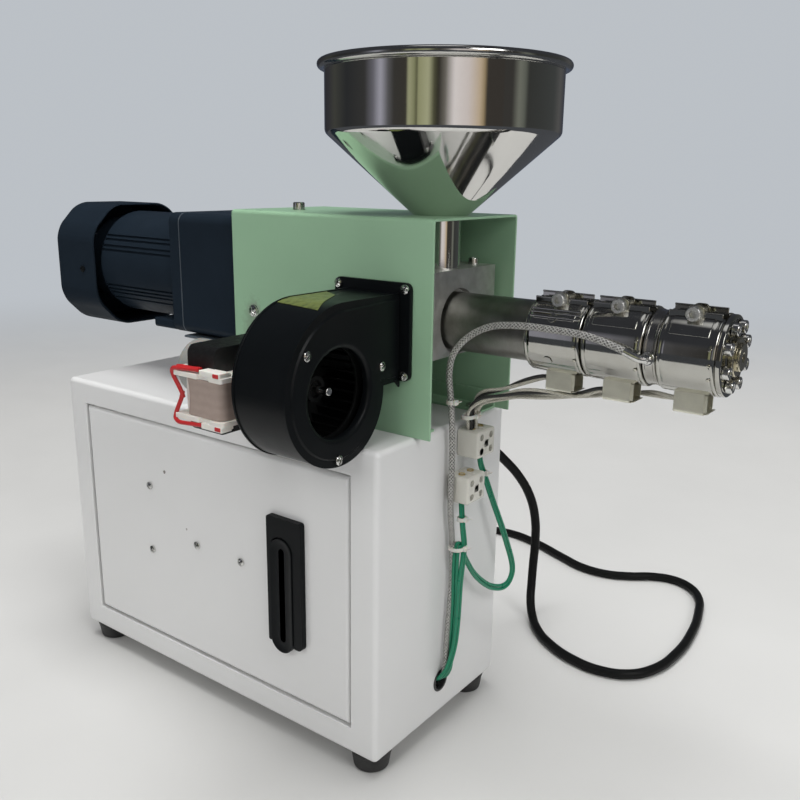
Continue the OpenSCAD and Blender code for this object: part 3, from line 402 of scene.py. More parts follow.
    def faces_near(self, axis: Axis, level: float, reach: float) -> list:
        """Lists the flat faces across an axis that lie within reach of a level.

        Args:
            axis: The direction the faces look along.
            level: Their coordinate on it.
            reach: How far off they may lie.

        Returns:
            The faces.
        """
        i = axis.value
        return [f for f in self.bm.faces if abs(f.calc_center_median()[i] - level) < reach
                and max(v.co[i] for v in f.verts) - min(v.co[i] for v in f.verts) < LEVEL]

    def drop(self, faces: Iterable[Face]) -> "Solid":
        """Takes faces away."""
        bmesh.ops.delete(self.bm, geom=list(faces), context="FACES")
        return self

    def score(self, axis: Axis, level: float, low: Point, high: Point) -> None:
        """Cuts the flat faces at a level along the sides of a rectangle.

        Args:
            axis: The direction across the faces.
            level: Where they lie along it.
            low: Lowest corner of the rectangle.
            high: Highest corner of the rectangle.
        """
        for i in axis.others:
            for edge_at in (low[i], high[i]):
                geom = dict.fromkeys(g for f in self.faces_at(axis, level) for g in (f, *f.edges, *f.verts))
                spot, way = Vector((0, 0, 0)), Vector((0, 0, 0))
                spot[i], way[i] = edge_at, 1.0
                bmesh.ops.bisect_plane(self.bm, geom=list(geom), dist=MERGE, plane_co=spot, plane_no=way)

    @staticmethod
    def inside(verts: Iterable, axis: Axis, low: Point, high: Point) -> bool:
        """Says whether points lie inside a rectangle across an axis."""
        return all(low[i] - LEVEL < v.co[i] < high[i] + LEVEL for v in verts for i in axis.others)

    def patch(self, axis: Axis, level: float, low: Point, high: Point) -> list:
        """Lists the faces at a level that lie inside a rectangle."""
        return [f for f in self.faces_at(axis, level) if self.inside(f.verts, axis, low, high)]

    def window(self, axis: Axis, level: float, low: Point, high: Point) -> list:
        """Cuts a rectangular opening in the flat face at a level.

        Args:
            axis: The direction across the face.
            level: Where the face lies along it.
            low: Lowest corner of the opening.
            high: Highest corner of the opening.

        Returns:
            The edges round the opening.
        """
        self.score(axis, level, low, high)
        self.drop(self.patch(axis, level, low, high))
        return [e for e in self.bm.edges if e.is_boundary and self.inside(e.verts, axis, low, high)
                and all(abs(v.co[axis.value] - level) <= LEVEL for v in e.verts)]

    def windows(self, axis: Axis, levels: Iterable[float], low: Point, high: Point) -> "Solid":
        """Cuts a rectangular opening right through a plate, and lines it.

        Args:
            axis: The direction through the plate.
            levels: The coordinates of its two faces.
            low: The low corner of the opening.
            high: Its high corner.

        Returns:
            The solid itself.
        """
        rims = [e for level in levels for e in self.window(axis, level, low, high)]
        bmesh.ops.bridge_loops(self.bm, edges=rims)
        return self

    def hole(self, axis: Axis, spot: Point, diameter: float, cuts: int = 5, margin: float = 1.25) -> list:
        """Cuts a round hole in the flat face that holds a point.

        Args:
            axis: The direction across the face.
            spot: The hole's centre, on the face.
            diameter: Diameter of the hole.
            cuts: Cuts in each side of the square that the hole is joined to.
            margin: Width of that square, in diameters.

        Returns:
            The edges round the hole.
        """
        level, reach = spot[axis.value], diameter * margin / 2
        low, high = (tuple(c + side * reach for c in spot) for side in (-1, 1))
        self.score(axis, level, low, high)
        bmesh.ops.subdivide_edges(self.bm, edges=self.edges_of(self.patch(axis, level, low, high)), cuts=cuts)
        square = self.patch(axis, level, low, high)
        outer = self.edges_of(square)
        self.drop_only(square)
        turn = {Axis.X: ACROSS_X, Axis.Y: Matrix.Rotation(math.pi / 2, 4, "X"), Axis.Z: Matrix()}[axis]
        inner = self.circle(diameter / 2, 4 * (cuts + 1), at(*spot) @ turn)
        bmesh.ops.bridge_loops(self.bm, edges=outer + inner)
        return inner

    @staticmethod
    def edges_of(faces: Iterable[Face]) -> list[Edge]:
        """Lists the edges of faces, each once."""
        return list(dict.fromkeys(e for f in faces for e in f.edges))

    def drop_only(self, faces: Iterable[Face]) -> None:
        """Takes faces away and leaves their edges."""
        bmesh.ops.delete(self.bm, geom=list(faces), context="FACES_ONLY")

    def outward(self) -> "Solid":
        """Turns the faces of an open shape to look away from its middle.

        Returns:
            This shape.
        """
        bm = self.mend().bm
        middle = sum((v.co for v in bm.verts), Vector()) / max(1, len(bm.verts))
        total = sum((f.calc_center_median() - middle).dot(f.normal) * f.calc_area() for f in bm.faces)
        if total < 0:
            bmesh.ops.reverse_faces(bm, faces=bm.faces)
        return self

    def move(self, matrix: Matrix) -> "Solid":
        """Places the shape with a matrix."""
        bmesh.ops.transform(self.bm, matrix=matrix, verts=self.bm.verts)
        return self

    def shape(self, mould: Callable[[Vector], Vector]) -> "Solid":
        """Moves each point to where the mould puts it.

        Args:
            mould: Gives a point its new place.

        Returns:
            The solid itself.
        """
        for vert in self.bm.verts:
            vert.co = mould(vert.co)
        return self


@dataclass(frozen=True)
class Finish:
    """A surface finish, which paints one material."""

    name: str

    def material(self) -> bpy.types.Material:
        """Gives this finish's material, made at its first use, under a name that no slot of the frame has.

        Returns:
            The material.
        """
        name = f"finish_{self.name}"
        known = bpy.data.materials.get(name)
        if known is None:
            nodes = Nodes(name)
            self.paint(nodes)
            known = nodes.material
        return known

    def paint(self, nodes: "Nodes") -> None:
        """Builds the material's nodes."""
        raise NotImplementedError


class Piece:
    """A named piece of the machine, gathered from solids."""

    def __init__(self, name: str, *finishes: Finish) -> None:
        """Starts an empty piece.

        Args:
            name: The piece's name.
            finishes: The finishes that its solids may use.
        """
        self.name = name
        self.finishes = finishes
        self.bm = bmesh.new()

    def add(self, solid: Solid, tone: int = 0, where: Matrix | None = None, copies: Iterable[Matrix] = ()) -> "Piece":
        """Adds a solid in one of the piece's finishes.

        Args:
            solid: The shape to add.
            tone: Which finish it takes.
            where: Where it goes, if it isn't in place.
            copies: Where copies of it go, in place of where.

        Returns:
            This piece.
        """
        places = list(copies) or [where or Matrix()]
        for matrix in places:
            mesh = bpy.data.meshes.new("solid")
            solid.bm.to_mesh(mesh)
            mesh.transform(matrix)
            if matrix.determinant() < 0:
                mesh.flip_normals()
            mesh.polygons.foreach_set("material_index", [tone] * len(mesh.polygons))
            self.bm.from_mesh(mesh)
            bpy.data.meshes.remove(mesh)
        return self

    def put(self, body: str = "root", stands_for: Sequence[str] = (), slot: str = "", wall: float = 0.0,
            edge: float = 0.0, edge_steps: int = 2, sharp: float = CREASE) -> bpy.types.Object:
        """Makes the piece's object and lets it ride on a body.

        Args:
            body: The body that carries it.
            stands_for: The construction nodes that it replaces.
            slot: The record's material slot; not used.
            wall: Sheet thickness, laid to the inside.
            edge: Width of the softened edges.
            edge_steps: Steps in a softened edge.
            sharp: Edges that turn by more degrees than this stay sharp.

        Returns:
            The object.
        """
        mesh = bpy.data.meshes.new(self.name)
        self.bm.to_mesh(mesh)
        self.bm.free()
        mesh.transform(Matrix.Scale(MM, 4))
        for name in ("far", "turn"):
            if name in mesh.attributes:
                mesh.attributes.remove(mesh.attributes[name])
        for finish in self.finishes:
            mesh.materials.append(finish.material())
        mesh.polygons.foreach_set("use_smooth", [True] * len(mesh.polygons))
        mesh.set_sharp_from_angle(angle=math.radians(sharp))
        obj = bpy.data.objects.new(self.name, mesh)
        bpy.context.scene.collection.objects.link(obj)
        dress(obj, wall, edge, edge_steps)
        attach(obj, body)
        if stands_for:
            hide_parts(*stands_for)
        log.info("%s: %d faces on %s", self.name, len(mesh.polygons), body)
        return obj


def dress(obj: bpy.types.Object, wall: float = 0.0, edge: float = 0.0, steps: int = 2) -> None:
    """Adds the modifiers that finish a piece.

    Args:
        obj: The piece.
        wall: Sheet thickness, laid to the inside.
        edge: Width of the softened edges.
        steps: Steps in a softened edge.
    """
    if wall:
        sheet = obj.modifiers.new("wall", "SOLIDIFY")
        sheet.thickness, sheet.offset, sheet.use_even_offset = wall * MM, -1.0, True
    if edge:
        soft = obj.modifiers.new("edges", "BEVEL")
        soft.width, soft.segments, soft.limit_method = edge * MM, steps, "ANGLE"
        soft.angle_limit, soft.use_clamp_overlap = math.radians(CREASE), True
    flow = obj.modifiers.new("shading", "WEIGHTED_NORMAL")
    flow.keep_sharp = True


# ---- finishes ----


class Tree:
    """A tree of shader nodes, added one at a time."""

    def __init__(self, owner: bpy.types.Material | bpy.types.World) -> None:
        """Empties the owner's tree.

        Args:
            owner: The material or world that is painted.
        """
        owner.use_nodes = True
        self.tree = owner.node_tree
        self.tree.nodes.clear()

    def node(self, kind: str, inputs: dict | None = None, **settings: object) -> bpy.types.Node:
        """Adds a node.

        Args:
            kind: The node's type.
            inputs: What goes into its sockets, by their name or number.
            settings: The node's own settings.

        Returns:
            The node.
        """
        made = self.tree.nodes.new(kind)
        for key, value in settings.items():
            setattr(made, key, value)
        for key, value in (inputs or {}).items():
            self.feed(made.inputs[key], value)
        return made

    def feed(self, socket: Socket, value: Socket | Sequence[float] | float) -> None:
        """Links a socket into another, or sets it to a value.

        Args:
            socket: The socket to fill.
            value: A socket, a number, a vector or a colour without its alpha.
        """
        if isinstance(value, Socket):
            self.tree.links.new(value, socket)
        else:
            socket.default_value = (*value, 1.0) if socket.type == "RGBA" else value


class Nodes(Tree):
    """A material's nodes, round one Principled shader."""

    def __init__(self, name: str) -> None:
        """Starts the material.

        Args:
            name: The material's name.
        """
        self.material = bpy.data.materials.new(name)
        super().__init__(self.material)
        self.shader = self.node("ShaderNodeBsdfPrincipled")
        self.output = self.node("ShaderNodeOutputMaterial", {"Surface": self.shader.outputs["BSDF"]})
        self.coordinates = self.node("ShaderNodeTexCoord")

    def fix(self, **values: float) -> None:
        """Sets constants on the shader's own sockets, named with _ for a space."""
        for key, value in values.items():
            self.shader.inputs[key.replace("_", " ")].default_value = value

    @property
    def spot(self) -> Socket:
        """The place on the machine, in metres."""
        return self.coordinates.outputs["Object"]

    @property
    def own_uv(self) -> Socket:
        """The piece's own UV map."""
        return self.coordinates.outputs["UV"]

    def stretch(self, size: Point, centre: Point = (0, 0, 0)) -> Socket:
        """Scales the place so that one unit is a size in millimetres.

        Args:
            size: Millimetres per unit along each axis.
            centre: The pattern's origin, in millimetres.

        Returns:
            The scaled place.
        """
        return self.node("ShaderNodeMapping", {
            "Scale": [s * MM for s in size], "Location": [c * MM for c in centre], "Vector": self.spot,
        }, vector_type="TEXTURE").outputs["Vector"]

    def noise(self, size: Point | float, detail: float = 3.0, rough: float = 0.55) -> Socket:
        """Adds a noise.

        Args:
            size: Size of its features in millimetres, or their size along each axis.
            detail: Octaves of finer noise.
            rough: Strength of the finer noise.

        Returns:
            The noise, from 0 to 1.
        """
        sizes = size if isinstance(size, tuple) else (size,) * 3
        return self.node("ShaderNodeTexNoise", {"Scale": 1.0, "Detail": detail, "Roughness": rough,
                                                "Vector": self.stretch(sizes)}).outputs["Fac"]

    def span(self, value: Socket, low: float, high: float, to_low: float = 0.0, to_high: float = 1.0) -> Socket:
        """Maps a value from one range to another, with its ends held."""
        return self.node("ShaderNodeMapRange", {"Value": value, "From Min": low, "From Max": high, "To Min": to_low,
                                                "To Max": to_high}).outputs["Result"]

    def maths(self, kind: str, a: Socket | float, b: Socket | float = 0.0, held: bool = False) -> Socket:
        """Adds a Math node on two values, held between 0 and 1 if need be."""
        return self.node("ShaderNodeMath", {0: a, 1: b}, operation=kind, use_clamp=held).outputs["Value"]

    def tint(self, share: Socket | float, base: RGB | Socket, other: RGB | Socket) -> Socket:
        """Mixes two colours by a share of the second."""
        return self.node("ShaderNodeMix", {0: share, 6: base, 7: other}, data_type="RGBA").outputs[2]

    def parts(self, vector: Socket) -> tuple[Socket, ...]:
        """Splits a vector into its three parts."""
        return tuple(self.node("ShaderNodeSeparateXYZ", {"Vector": vector}).outputs)

    def near(self, centre: Point, radius: float, edge: float, stretch: Point = (1, 1, 1)) -> Socket:
        """Marks a ragged spot round a point: 1 inside it and 0 outside.

        Args:
            centre: The spot's middle in millimetres.
            radius: Its radius in millimetres.
            edge: Width of its soft edge in millimetres.
            stretch: How much longer it is along each axis.

        Returns:
            The mark.
        """
        length = self.node("ShaderNodeVectorMath", {0: self.stretch(stretch, centre)}, operation="LENGTH")
        ragged = self.maths("MULTIPLY", self.span(self.noise(radius * 0.5, 4), 0.3, 0.7, -0.5, 0.5), radius)
        return self.span(self.maths("ADD", length.outputs["Value"], ragged), radius, radius + edge, 1.0, 0.0)

    def colour(self, value: Socket) -> None:
        """Gives the shader its colour."""
        self.feed(self.shader.inputs["Base Color"], value)

    def rough(self, value: Socket) -> None:
        """Gives the shader its roughness."""
        self.feed(self.shader.inputs["Roughness"], value)

    def vary_rough(self, size: float, detail: float, low: float, high: float) -> None:
        """Gives the shader a roughness that a noise moves between two values."""
        self.rough(self.span(self.noise(size, detail), 0.3, 0.7, low, high))

    def bump(self, height: Socket, depth: float) -> None:
        """Adds relief over any relief already there.

        Args:
            height: The relief.
            depth: Its depth in millimetres.
        """
        normal = self.shader.inputs["Normal"]
        before = {"Normal": normal.links[0].from_socket} if normal.is_linked else {}
        made = self.node("ShaderNodeBump", {"Strength": 1.0, "Distance": depth * MM, "Height": height, **before})
        self.feed(normal, made.outputs["Normal"])


def shade(colour: RGB, share: float) -> RGB:
    """Makes a colour lighter or darker by a factor."""
    return tuple(min(1.0, c * share) for c in colour)  # type: ignore[return-value]


@dataclass(frozen=True)
class Mark:
    """A small worn or stained place in a coat, or a patch of painted shade."""

    centre: Point
    radius: float
    colour: RGB
    edge: float = 0.4
    stretch: Point = (1, 1, 1)
    share: float = 1.0


@dataclass(frozen=True)
class Coat(Finish):
    """Baked powder or enamel, with orange peel, faint clouds and marks."""

    base: RGB
    gloss: float = 0.3
    peel: float = 1.4
    peel_depth: float = 0.012
    clouds: float = 0.03
    lacquer: float = 0.0
    patchy: float = 0.15
    sheen: float = 0.5
    dust: float = 0.0
    dust_tone: RGB = (0.45, 0.43, 0.4)
    marks: tuple[Mark, ...] = ()

    def paint(self, nodes: Nodes) -> None:
        """Builds the coat.

        Args:
            nodes: The nodes of the finish's material.
        """
        cloud = nodes.span(nodes.noise(45.0, 4), 0.3, 0.7)
        tone = nodes.tint(cloud, shade(self.base, 1 - self.clouds), shade(self.base, 1 + self.clouds))
        if self.dust:
            speck = nodes.span(nodes.noise(2.2, 5, 0.7), 0.6, 0.78, 0.0, self.dust)
            tone = nodes.tint(speck, tone, self.dust_tone)
        for mark in self.marks:
            spot = nodes.near(mark.centre, mark.radius, mark.edge, mark.stretch)
            tone = nodes.tint(nodes.maths("MULTIPLY", spot, mark.share), tone, mark.colour)
        nodes.colour(tone)
        nodes.vary_rough(18.0, 5, self.gloss * (1 - self.patchy), self.gloss * (1 + self.patchy))
        nodes.bump(nodes.noise(self.peel, 2), self.peel_depth)
        nodes.fix(Coat_Weight=self.lacquer, Coat_Roughness=0.12, IOR=1.5, Specular_IOR_Level=self.sheen)


@dataclass(frozen=True)
class Steel(Finish):
    """Bare or plated metal, with fine grain, smudges and a tint."""

    base: RGB
    gloss: float = 0.2
    grain: Point = (0.25, 0.25, 0.25)
    grain_depth: float = 0.0
    smudge: float = 0.3
    stain: RGB = (0.3, 0.28, 0.25)
    stain_share: float = 0.0
    stain_size: float = 14.0
    ripple: float = 0.0

    def paint(self, nodes: Nodes) -> None:
        """Builds the metal.

        Args:
            nodes: The nodes of the finish's material.
        """
        cloud = nodes.span(nodes.noise(self.stain_size, 5, 0.6), 0.42, 0.72)
        fine = nodes.span(nodes.noise(self.grain, 3), 0.25, 0.75)
        tone = nodes.tint(fine, shade(self.base, 0.94), shade(self.base, 1.04))
        if self.stain_share:
            tone = nodes.tint(nodes.maths("MULTIPLY", cloud, self.stain_share), tone, self.stain)
        nodes.colour(tone)
        smear = nodes.span(nodes.noise(9.0, 5, 0.65), 0.35, 0.75)
        rough = nodes.maths("ADD", nodes.maths("MULTIPLY", smear, self.gloss * self.smudge), self.gloss)
        nodes.rough(nodes.maths("ADD", rough, nodes.maths("MULTIPLY", fine, self.gloss * 0.25), held=True))
        if self.ripple:
            nodes.bump(nodes.noise(16.0, 2), self.ripple)
        if self.grain_depth:
            nodes.bump(fine, self.grain_depth)
        nodes.fix(Metallic=1.0)


@dataclass(frozen=True)
class Moulded(Finish):
    """Plastic or rubber, with fine grain and slight flow marks."""

    base: RGB
    gloss: float = 0.45
    grain: float = 0.5
    grain_depth: float = 0.01
    dust: float = 0.04
    dust_tone: RGB = (0.3, 0.29, 0.27)
    shine_through: float = 0.0
    sheen: float = 0.5

    def paint(self, nodes: Nodes) -> None:
        """Builds the plastic.

        Args:
            nodes: The nodes of the finish's material.
        """
        cloud = nodes.span(nodes.noise(11.0, 5), 0.35, 0.75)
        tone = nodes.tint(nodes.maths("MULTIPLY", cloud, self.dust), self.base, self.dust_tone)
        nodes.colour(tone)
        nodes.vary_rough(6.0, 4, self.gloss * 0.88, self.gloss * 1.12)
        nodes.bump(nodes.noise(self.grain, 2), self.grain_depth)
        nodes.fix(IOR=1.47, Specular_IOR_Level=self.sheen)
        if self.shine_through:
            nodes.fix(Subsurface_Weight=self.shine_through, Subsurface_Scale=0.002)


@dataclass(frozen=True)
class Braid(Finish):
    """A braided sleeve, whose two crossing sets of strands follow the tube's own UV map."""

    strand: RGB
    groove: RGB
    metal: float = 0.0
    gloss: float = 0.5
    pitch: float = 5.0
    strands: int = 6
    depth: float = 0.15
    fleck: RGB = (0.1, 0.1, 0.1)
    fleck_share: float = 0.0

    def paint(self, nodes: Nodes) -> None:
        """Builds the braid.

        Args:
            nodes: The nodes of the finish's material.
        """
        length, turn, _ = nodes.parts(nodes.own_uv)
        run = nodes.maths("MULTIPLY", length, math.tau / (self.pitch * MM))
        round_it = nodes.maths("MULTIPLY", turn, math.tau * self.strands)
        right = nodes.maths("SINE", nodes.maths("ADD", run, round_it))
        left = nodes.maths("SINE", nodes.maths("SUBTRACT", run, round_it))
        over = nodes.maths("MAXIMUM", right, left)
        weave = nodes.span(over, 0.1, 0.95)
        tone = nodes.tint(weave, self.groove, self.strand)
        if self.fleck_share:
            tracer = nodes.span(nodes.maths("MULTIPLY", nodes.maths("SINE", nodes.maths("MULTIPLY", run, 0.23)), left),
                                0.78, 0.9, 0.0, self.fleck_share)
            tone = nodes.tint(tracer, tone, self.fleck)
        nodes.colour(tone)
        nodes.vary_rough(1.5, 3, self.gloss * 0.8, self.gloss * 1.2)
        nodes.bump(weave, self.depth)
        nodes.fix(Metallic=self.metal)


@dataclass(frozen=True)
class Layered(Finish):
    """Stacked or wound layers, as thin bands across one axis."""

    base: RGB
    line: RGB
    axis: Axis = Axis.X
    layer: float = 0.6
    gloss: float = 0.5
    depth: float = 0.05
    waver: float = 0.3

    def paint(self, nodes: Nodes) -> None:
        """Builds the layers.

        Args:
            nodes: The nodes of the finish's material.
        """
        spot = nodes.parts(nodes.spot)[self.axis.value]
        wander = nodes.maths("MULTIPLY", nodes.noise(7.0, 3), self.waver * self.layer * MM * 8)
        phase = nodes.maths("MULTIPLY", nodes.maths("ADD", spot, wander), math.tau / (self.layer * MM))
        band = nodes.span(nodes.maths("SINE", phase), -1.0, 0.6)
        tone = nodes.tint(band, self.line, self.base)
        cloud = nodes.span(nodes.noise(5.0, 4), 0.35, 0.7, 0.0, 0.3)
        nodes.colour(nodes.tint(cloud, tone, shade(self.base, 0.7)))
        nodes.vary_rough(3.0, 3, self.gloss * 0.85, self.gloss * 1.15)
        nodes.bump(band, self.depth)


@dataclass(frozen=True)
class Smudged(Finish):
    """A blank film label, with worn dark blotches in its colour."""

    base: RGB
    worn: RGB

    def paint(self, nodes: Nodes) -> None:
        """Builds the film.

        Args:
            nodes: The nodes of the finish's material.
        """
        blot = nodes.span(nodes.noise((3.0, 5.0, 3.0), 5, 0.6), 0.5, 0.62)
        nodes.colour(nodes.tint(nodes.maths("MULTIPLY", blot, 0.6), self.base, self.worn))
        nodes.vary_rough(4.0, 3, 0.28, 0.45)
        nodes.bump(nodes.noise(6.0, 3), 0.08)


@dataclass(frozen=True)
class Ground(Finish):
    """The plain pale floor of the studio, which fades into the backdrop."""

    base: RGB
    backdrop: RGB
    fade_start: float = 0.75
    fade_end: float = 2.3

    def paint(self, nodes: Nodes) -> None:
        """Builds the floor's coat and the fade, whose ends are in metres from the machine.

        Args:
            nodes: The nodes of the finish's material.
        """
        cloud = nodes.span(nodes.noise(160.0, 3), 0.3, 0.7)
        nodes.colour(nodes.tint(cloud, shade(self.base, 0.985), shade(self.base, 1.015)))
        nodes.vary_rough(60.0, 3, 0.5, 0.6)
        length = nodes.node("ShaderNodeVectorMath", {0: nodes.spot}, operation="LENGTH")
        fade = nodes.node("ShaderNodeMapRange", {"Value": length.outputs["Value"], "From Min": self.fade_start,
                                                 "From Max": self.fade_end}, interpolation_type="SMOOTHSTEP")
        glow = nodes.node("ShaderNodeEmission", {"Color": self.backdrop})
        mix = nodes.node("ShaderNodeMixShader", {0: fade.outputs["Result"], 1: nodes.shader.outputs["BSDF"],
                                                 2: glow.outputs[0]})
        nodes.feed(nodes.output.inputs["Surface"], mix.outputs[0])


WHITE = Coat("white_powder_coat", (0.72, 0.72, 0.715), gloss=0.3, peel=1.8, peel_depth=0.006, clouds=0.008,
             lacquer=0.1, patchy=0.04, marks=(
                 Mark((-41.0, -71.0, 165.0), 1.1, (0.16, 0.14, 0.12)),
                 Mark((-20.0, -71.0, 127.0), 0.6, (0.3, 0.28, 0.26)),
                 # Painted shadow: a soft grey streak at the top of the front, under the blower's scroll.
                 Mark((103.0, -71.0, 214.0), 3.0, (0.6, 0.59, 0.57), edge=3.0, stretch=(3, 1, 1), share=0.6)))
SAGE = Coat("sage_powder_coat", (0.29, 0.47, 0.305), gloss=0.36, peel=1.5, peel_depth=0.016, clouds=0.025,
            lacquer=0.1, dust=0.03, marks=(
                Mark((14.5, -34.0, 268.0), 5.0, (0.2, 0.27, 0.19), edge=6.0, stretch=(1, 1, 2.3), share=0.55),
                Mark((16.0, -34.0, 281.5), 5.2, (0.3, 0.36, 0.28), edge=1.0, share=0.5)))
MOTOR = Coat("motor_enamel", (0.012, 0.0185, 0.027), gloss=0.4, sheen=0.04, peel=0.9, peel_depth=0.03, clouds=0.1,
             dust=0.03, dust_tone=(0.08, 0.08, 0.08))
# Lighter enamel for the foot plate and the joint ring: a painted highlight of their lit edges.
MOTOR_EDGE_HIGHLIGHT = Coat("motor_edge_painted_highlight", (0.06, 0.075, 0.09), gloss=0.4, peel=0.8, peel_depth=0.03, clouds=0.2)
BLOWER = Coat("blower_enamel", (0.0042, 0.0052, 0.006), gloss=0.33, sheen=0.14, peel=1.1, peel_depth=0.02, clouds=0.1,
              dust=0.05, dust_tone=(0.05, 0.05, 0.047))
ZINC_BLACK = Coat("handle_coat", (0.0062, 0.0072, 0.008), gloss=0.36, sheen=0.1, peel=0.7, peel_depth=0.015,
                  clouds=0.08, dust=0.03, dust_tone=(0.06, 0.06, 0.06))
ZINC = Steel("plated_screw", (0.72, 0.72, 0.7), gloss=0.16, smudge=0.5, stain_share=0.25, stain_size=3.0)
MIRROR = Steel("mirror_stainless", (0.70, 0.69, 0.665), gloss=0.045, smudge=0.6, stain_share=0.05, ripple=0.012)
# The rolled rim's steel: rougher than the mirror steel, and darker as painted shade standing in for the rim's dark
# reflections.
SHADED_RIM_STEEL = Steel("rolled_rim_shaded_steel", (0.56, 0.555, 0.53), gloss=0.1, smudge=0.5, stain_share=0.05, ripple=0.02)
CLAMP = Steel("clamp_screw_steel", (0.84, 0.84, 0.82), gloss=0.36, smudge=0.4, stain_share=0.15, stain_size=3.0)
BOX_SHEET = Steel("box_sheet", (0.86, 0.845, 0.73), gloss=0.46, smudge=0.2, stain_share=0.2, ripple=0.05)
CHROME = Steel("band_chrome", (0.5, 0.495, 0.46), gloss=0.06, smudge=0.7, stain_share=0.15, stain=(0.27, 0.245, 0.19),
               stain_size=8.0, ripple=0.05)
COLLAR = Steel("collar_steel", (0.46, 0.45, 0.42), gloss=0.14, smudge=0.5, stain_share=0.3, ripple=0.03)
FOLDED = Steel("folded_bright_sheet", (0.56, 0.545, 0.47), gloss=0.14, smudge=0.5, stain_share=0.2, ripple=0.05)
MILLED = Steel("milled_steel", (0.7, 0.7, 0.675), gloss=0.42, grain=(0.3, 6.0, 6.0), grain_depth=0.01,
               smudge=0.35, stain=(0.36, 0.35, 0.32), stain_share=0.45)
BARREL = Steel("barrel_steel", (0.3, 0.295, 0.275), gloss=0.3, grain=(0.35, 7.0, 7.0), grain_depth=0.012,
               smudge=0.3, stain=(0.12, 0.115, 0.1), stain_share=0.5)
DIE_STEEL = Steel("die_steel", (0.62, 0.58, 0.45), gloss=0.15, smudge=0.6, stain_share=0.25, stain=(0.3, 0.26, 0.16),
                  stain_size=5.0)
BRASS = Steel("brass", (0.6, 0.46, 0.2), gloss=0.28, smudge=0.4, stain_share=0.3, stain=(0.3, 0.2, 0.1))
FOOT_RUBBER = Moulded("foot_rubber", (0.015, 0.015, 0.016), gloss=0.6, grain=0.4, grain_depth=0.02, dust=0.1)
BLACK_PLASTIC = Moulded("black_plastic", (0.017, 0.017, 0.018), gloss=0.4, dust=0.04)
# The impeller's black plastic, darker than the other black plastic: its own black plus painted shade for the dark
# inside of the inlet.
SHADED_WHEEL_PLASTIC = Moulded("wheel_plastic_shaded", (0.006, 0.0065, 0.0065), gloss=0.5, dust=0.03, dust_tone=(0.03, 0.03, 0.03),
                sheen=0.15)
FAN_GREY = Moulded("fan_plastic", (0.25, 0.25, 0.235), gloss=0.35, dust=0.1, shine_through=0.15)
NYLON = Moulded("white_nylon", (0.74, 0.71, 0.66), gloss=0.4, dust=0.1, dust_tone=(0.5, 0.45, 0.38),
                shine_through=0.1)
RED = Moulded("red_wire", (0.46, 0.018, 0.02), gloss=0.35, dust=0.02)
GREEN = Moulded("green_insulation", (0.008, 0.2, 0.105), gloss=0.3, dust=0.05, dust_tone=(0.02, 0.22, 0.14))
TIE = Moulded("tie_nylon", (0.66, 0.65, 0.60), gloss=0.35, dust=0.05, shine_through=0.2)
PORCELAIN = Moulded("glazed_porcelain", (0.64, 0.63, 0.57), gloss=0.22, grain=1.2, grain_depth=0.01, dust=0.18,
                    dust_tone=(0.42, 0.39, 0.33))
CORD = Moulded("cord_rubber", (0.007, 0.0072, 0.0072), gloss=0.4, grain=0.6, grain_depth=0.012, dust=0.04,
               dust_tone=(0.04, 0.04, 0.04), sheen=0.12)
SHEATH = Braid("steel_braid", (0.6, 0.595, 0.57), (0.17, 0.165, 0.155), metal=0.55, gloss=0.36, pitch=2.4, strands=6,
               depth=0.14, fleck=(0.03, 0.03, 0.03), fleck_share=0.9)
SLEEVE = Braid("glass_sleeve", (0.62, 0.60, 0.52), (0.40, 0.38, 0.32), gloss=0.55, pitch=2.6, strands=5, depth=0.08,
               fleck=(0.05, 0.05, 0.05), fleck_share=0.6)
DARK_SLEEVE = Braid("dark_sleeve", (0.045, 0.045, 0.043), (0.012, 0.012, 0.012), gloss=0.5, pitch=2.6, strands=5,
                    depth=0.08)
LAMINATED = Layered("varnished_laminations", (0.009, 0.009, 0.0095), (0.003, 0.003, 0.003), Axis.X, 0.5, 0.55, 0.05,
                    0.05)
TAPE = Layered("winding_tape", (0.37, 0.29, 0.25), (0.345, 0.27, 0.232), Axis.Z, 5.2, 0.42, 0.02, 0.1)
LABEL = Smudged("blank_label", (0.125, 0.15, 0.042), (0.022, 0.03, 0.012))
BACKDROP = (0.50, 0.53, 0.565)
FLOOR = Ground("studio_floor", (0.6, 0.598, 0.585), BACKDROP)


# ---- fasteners ----


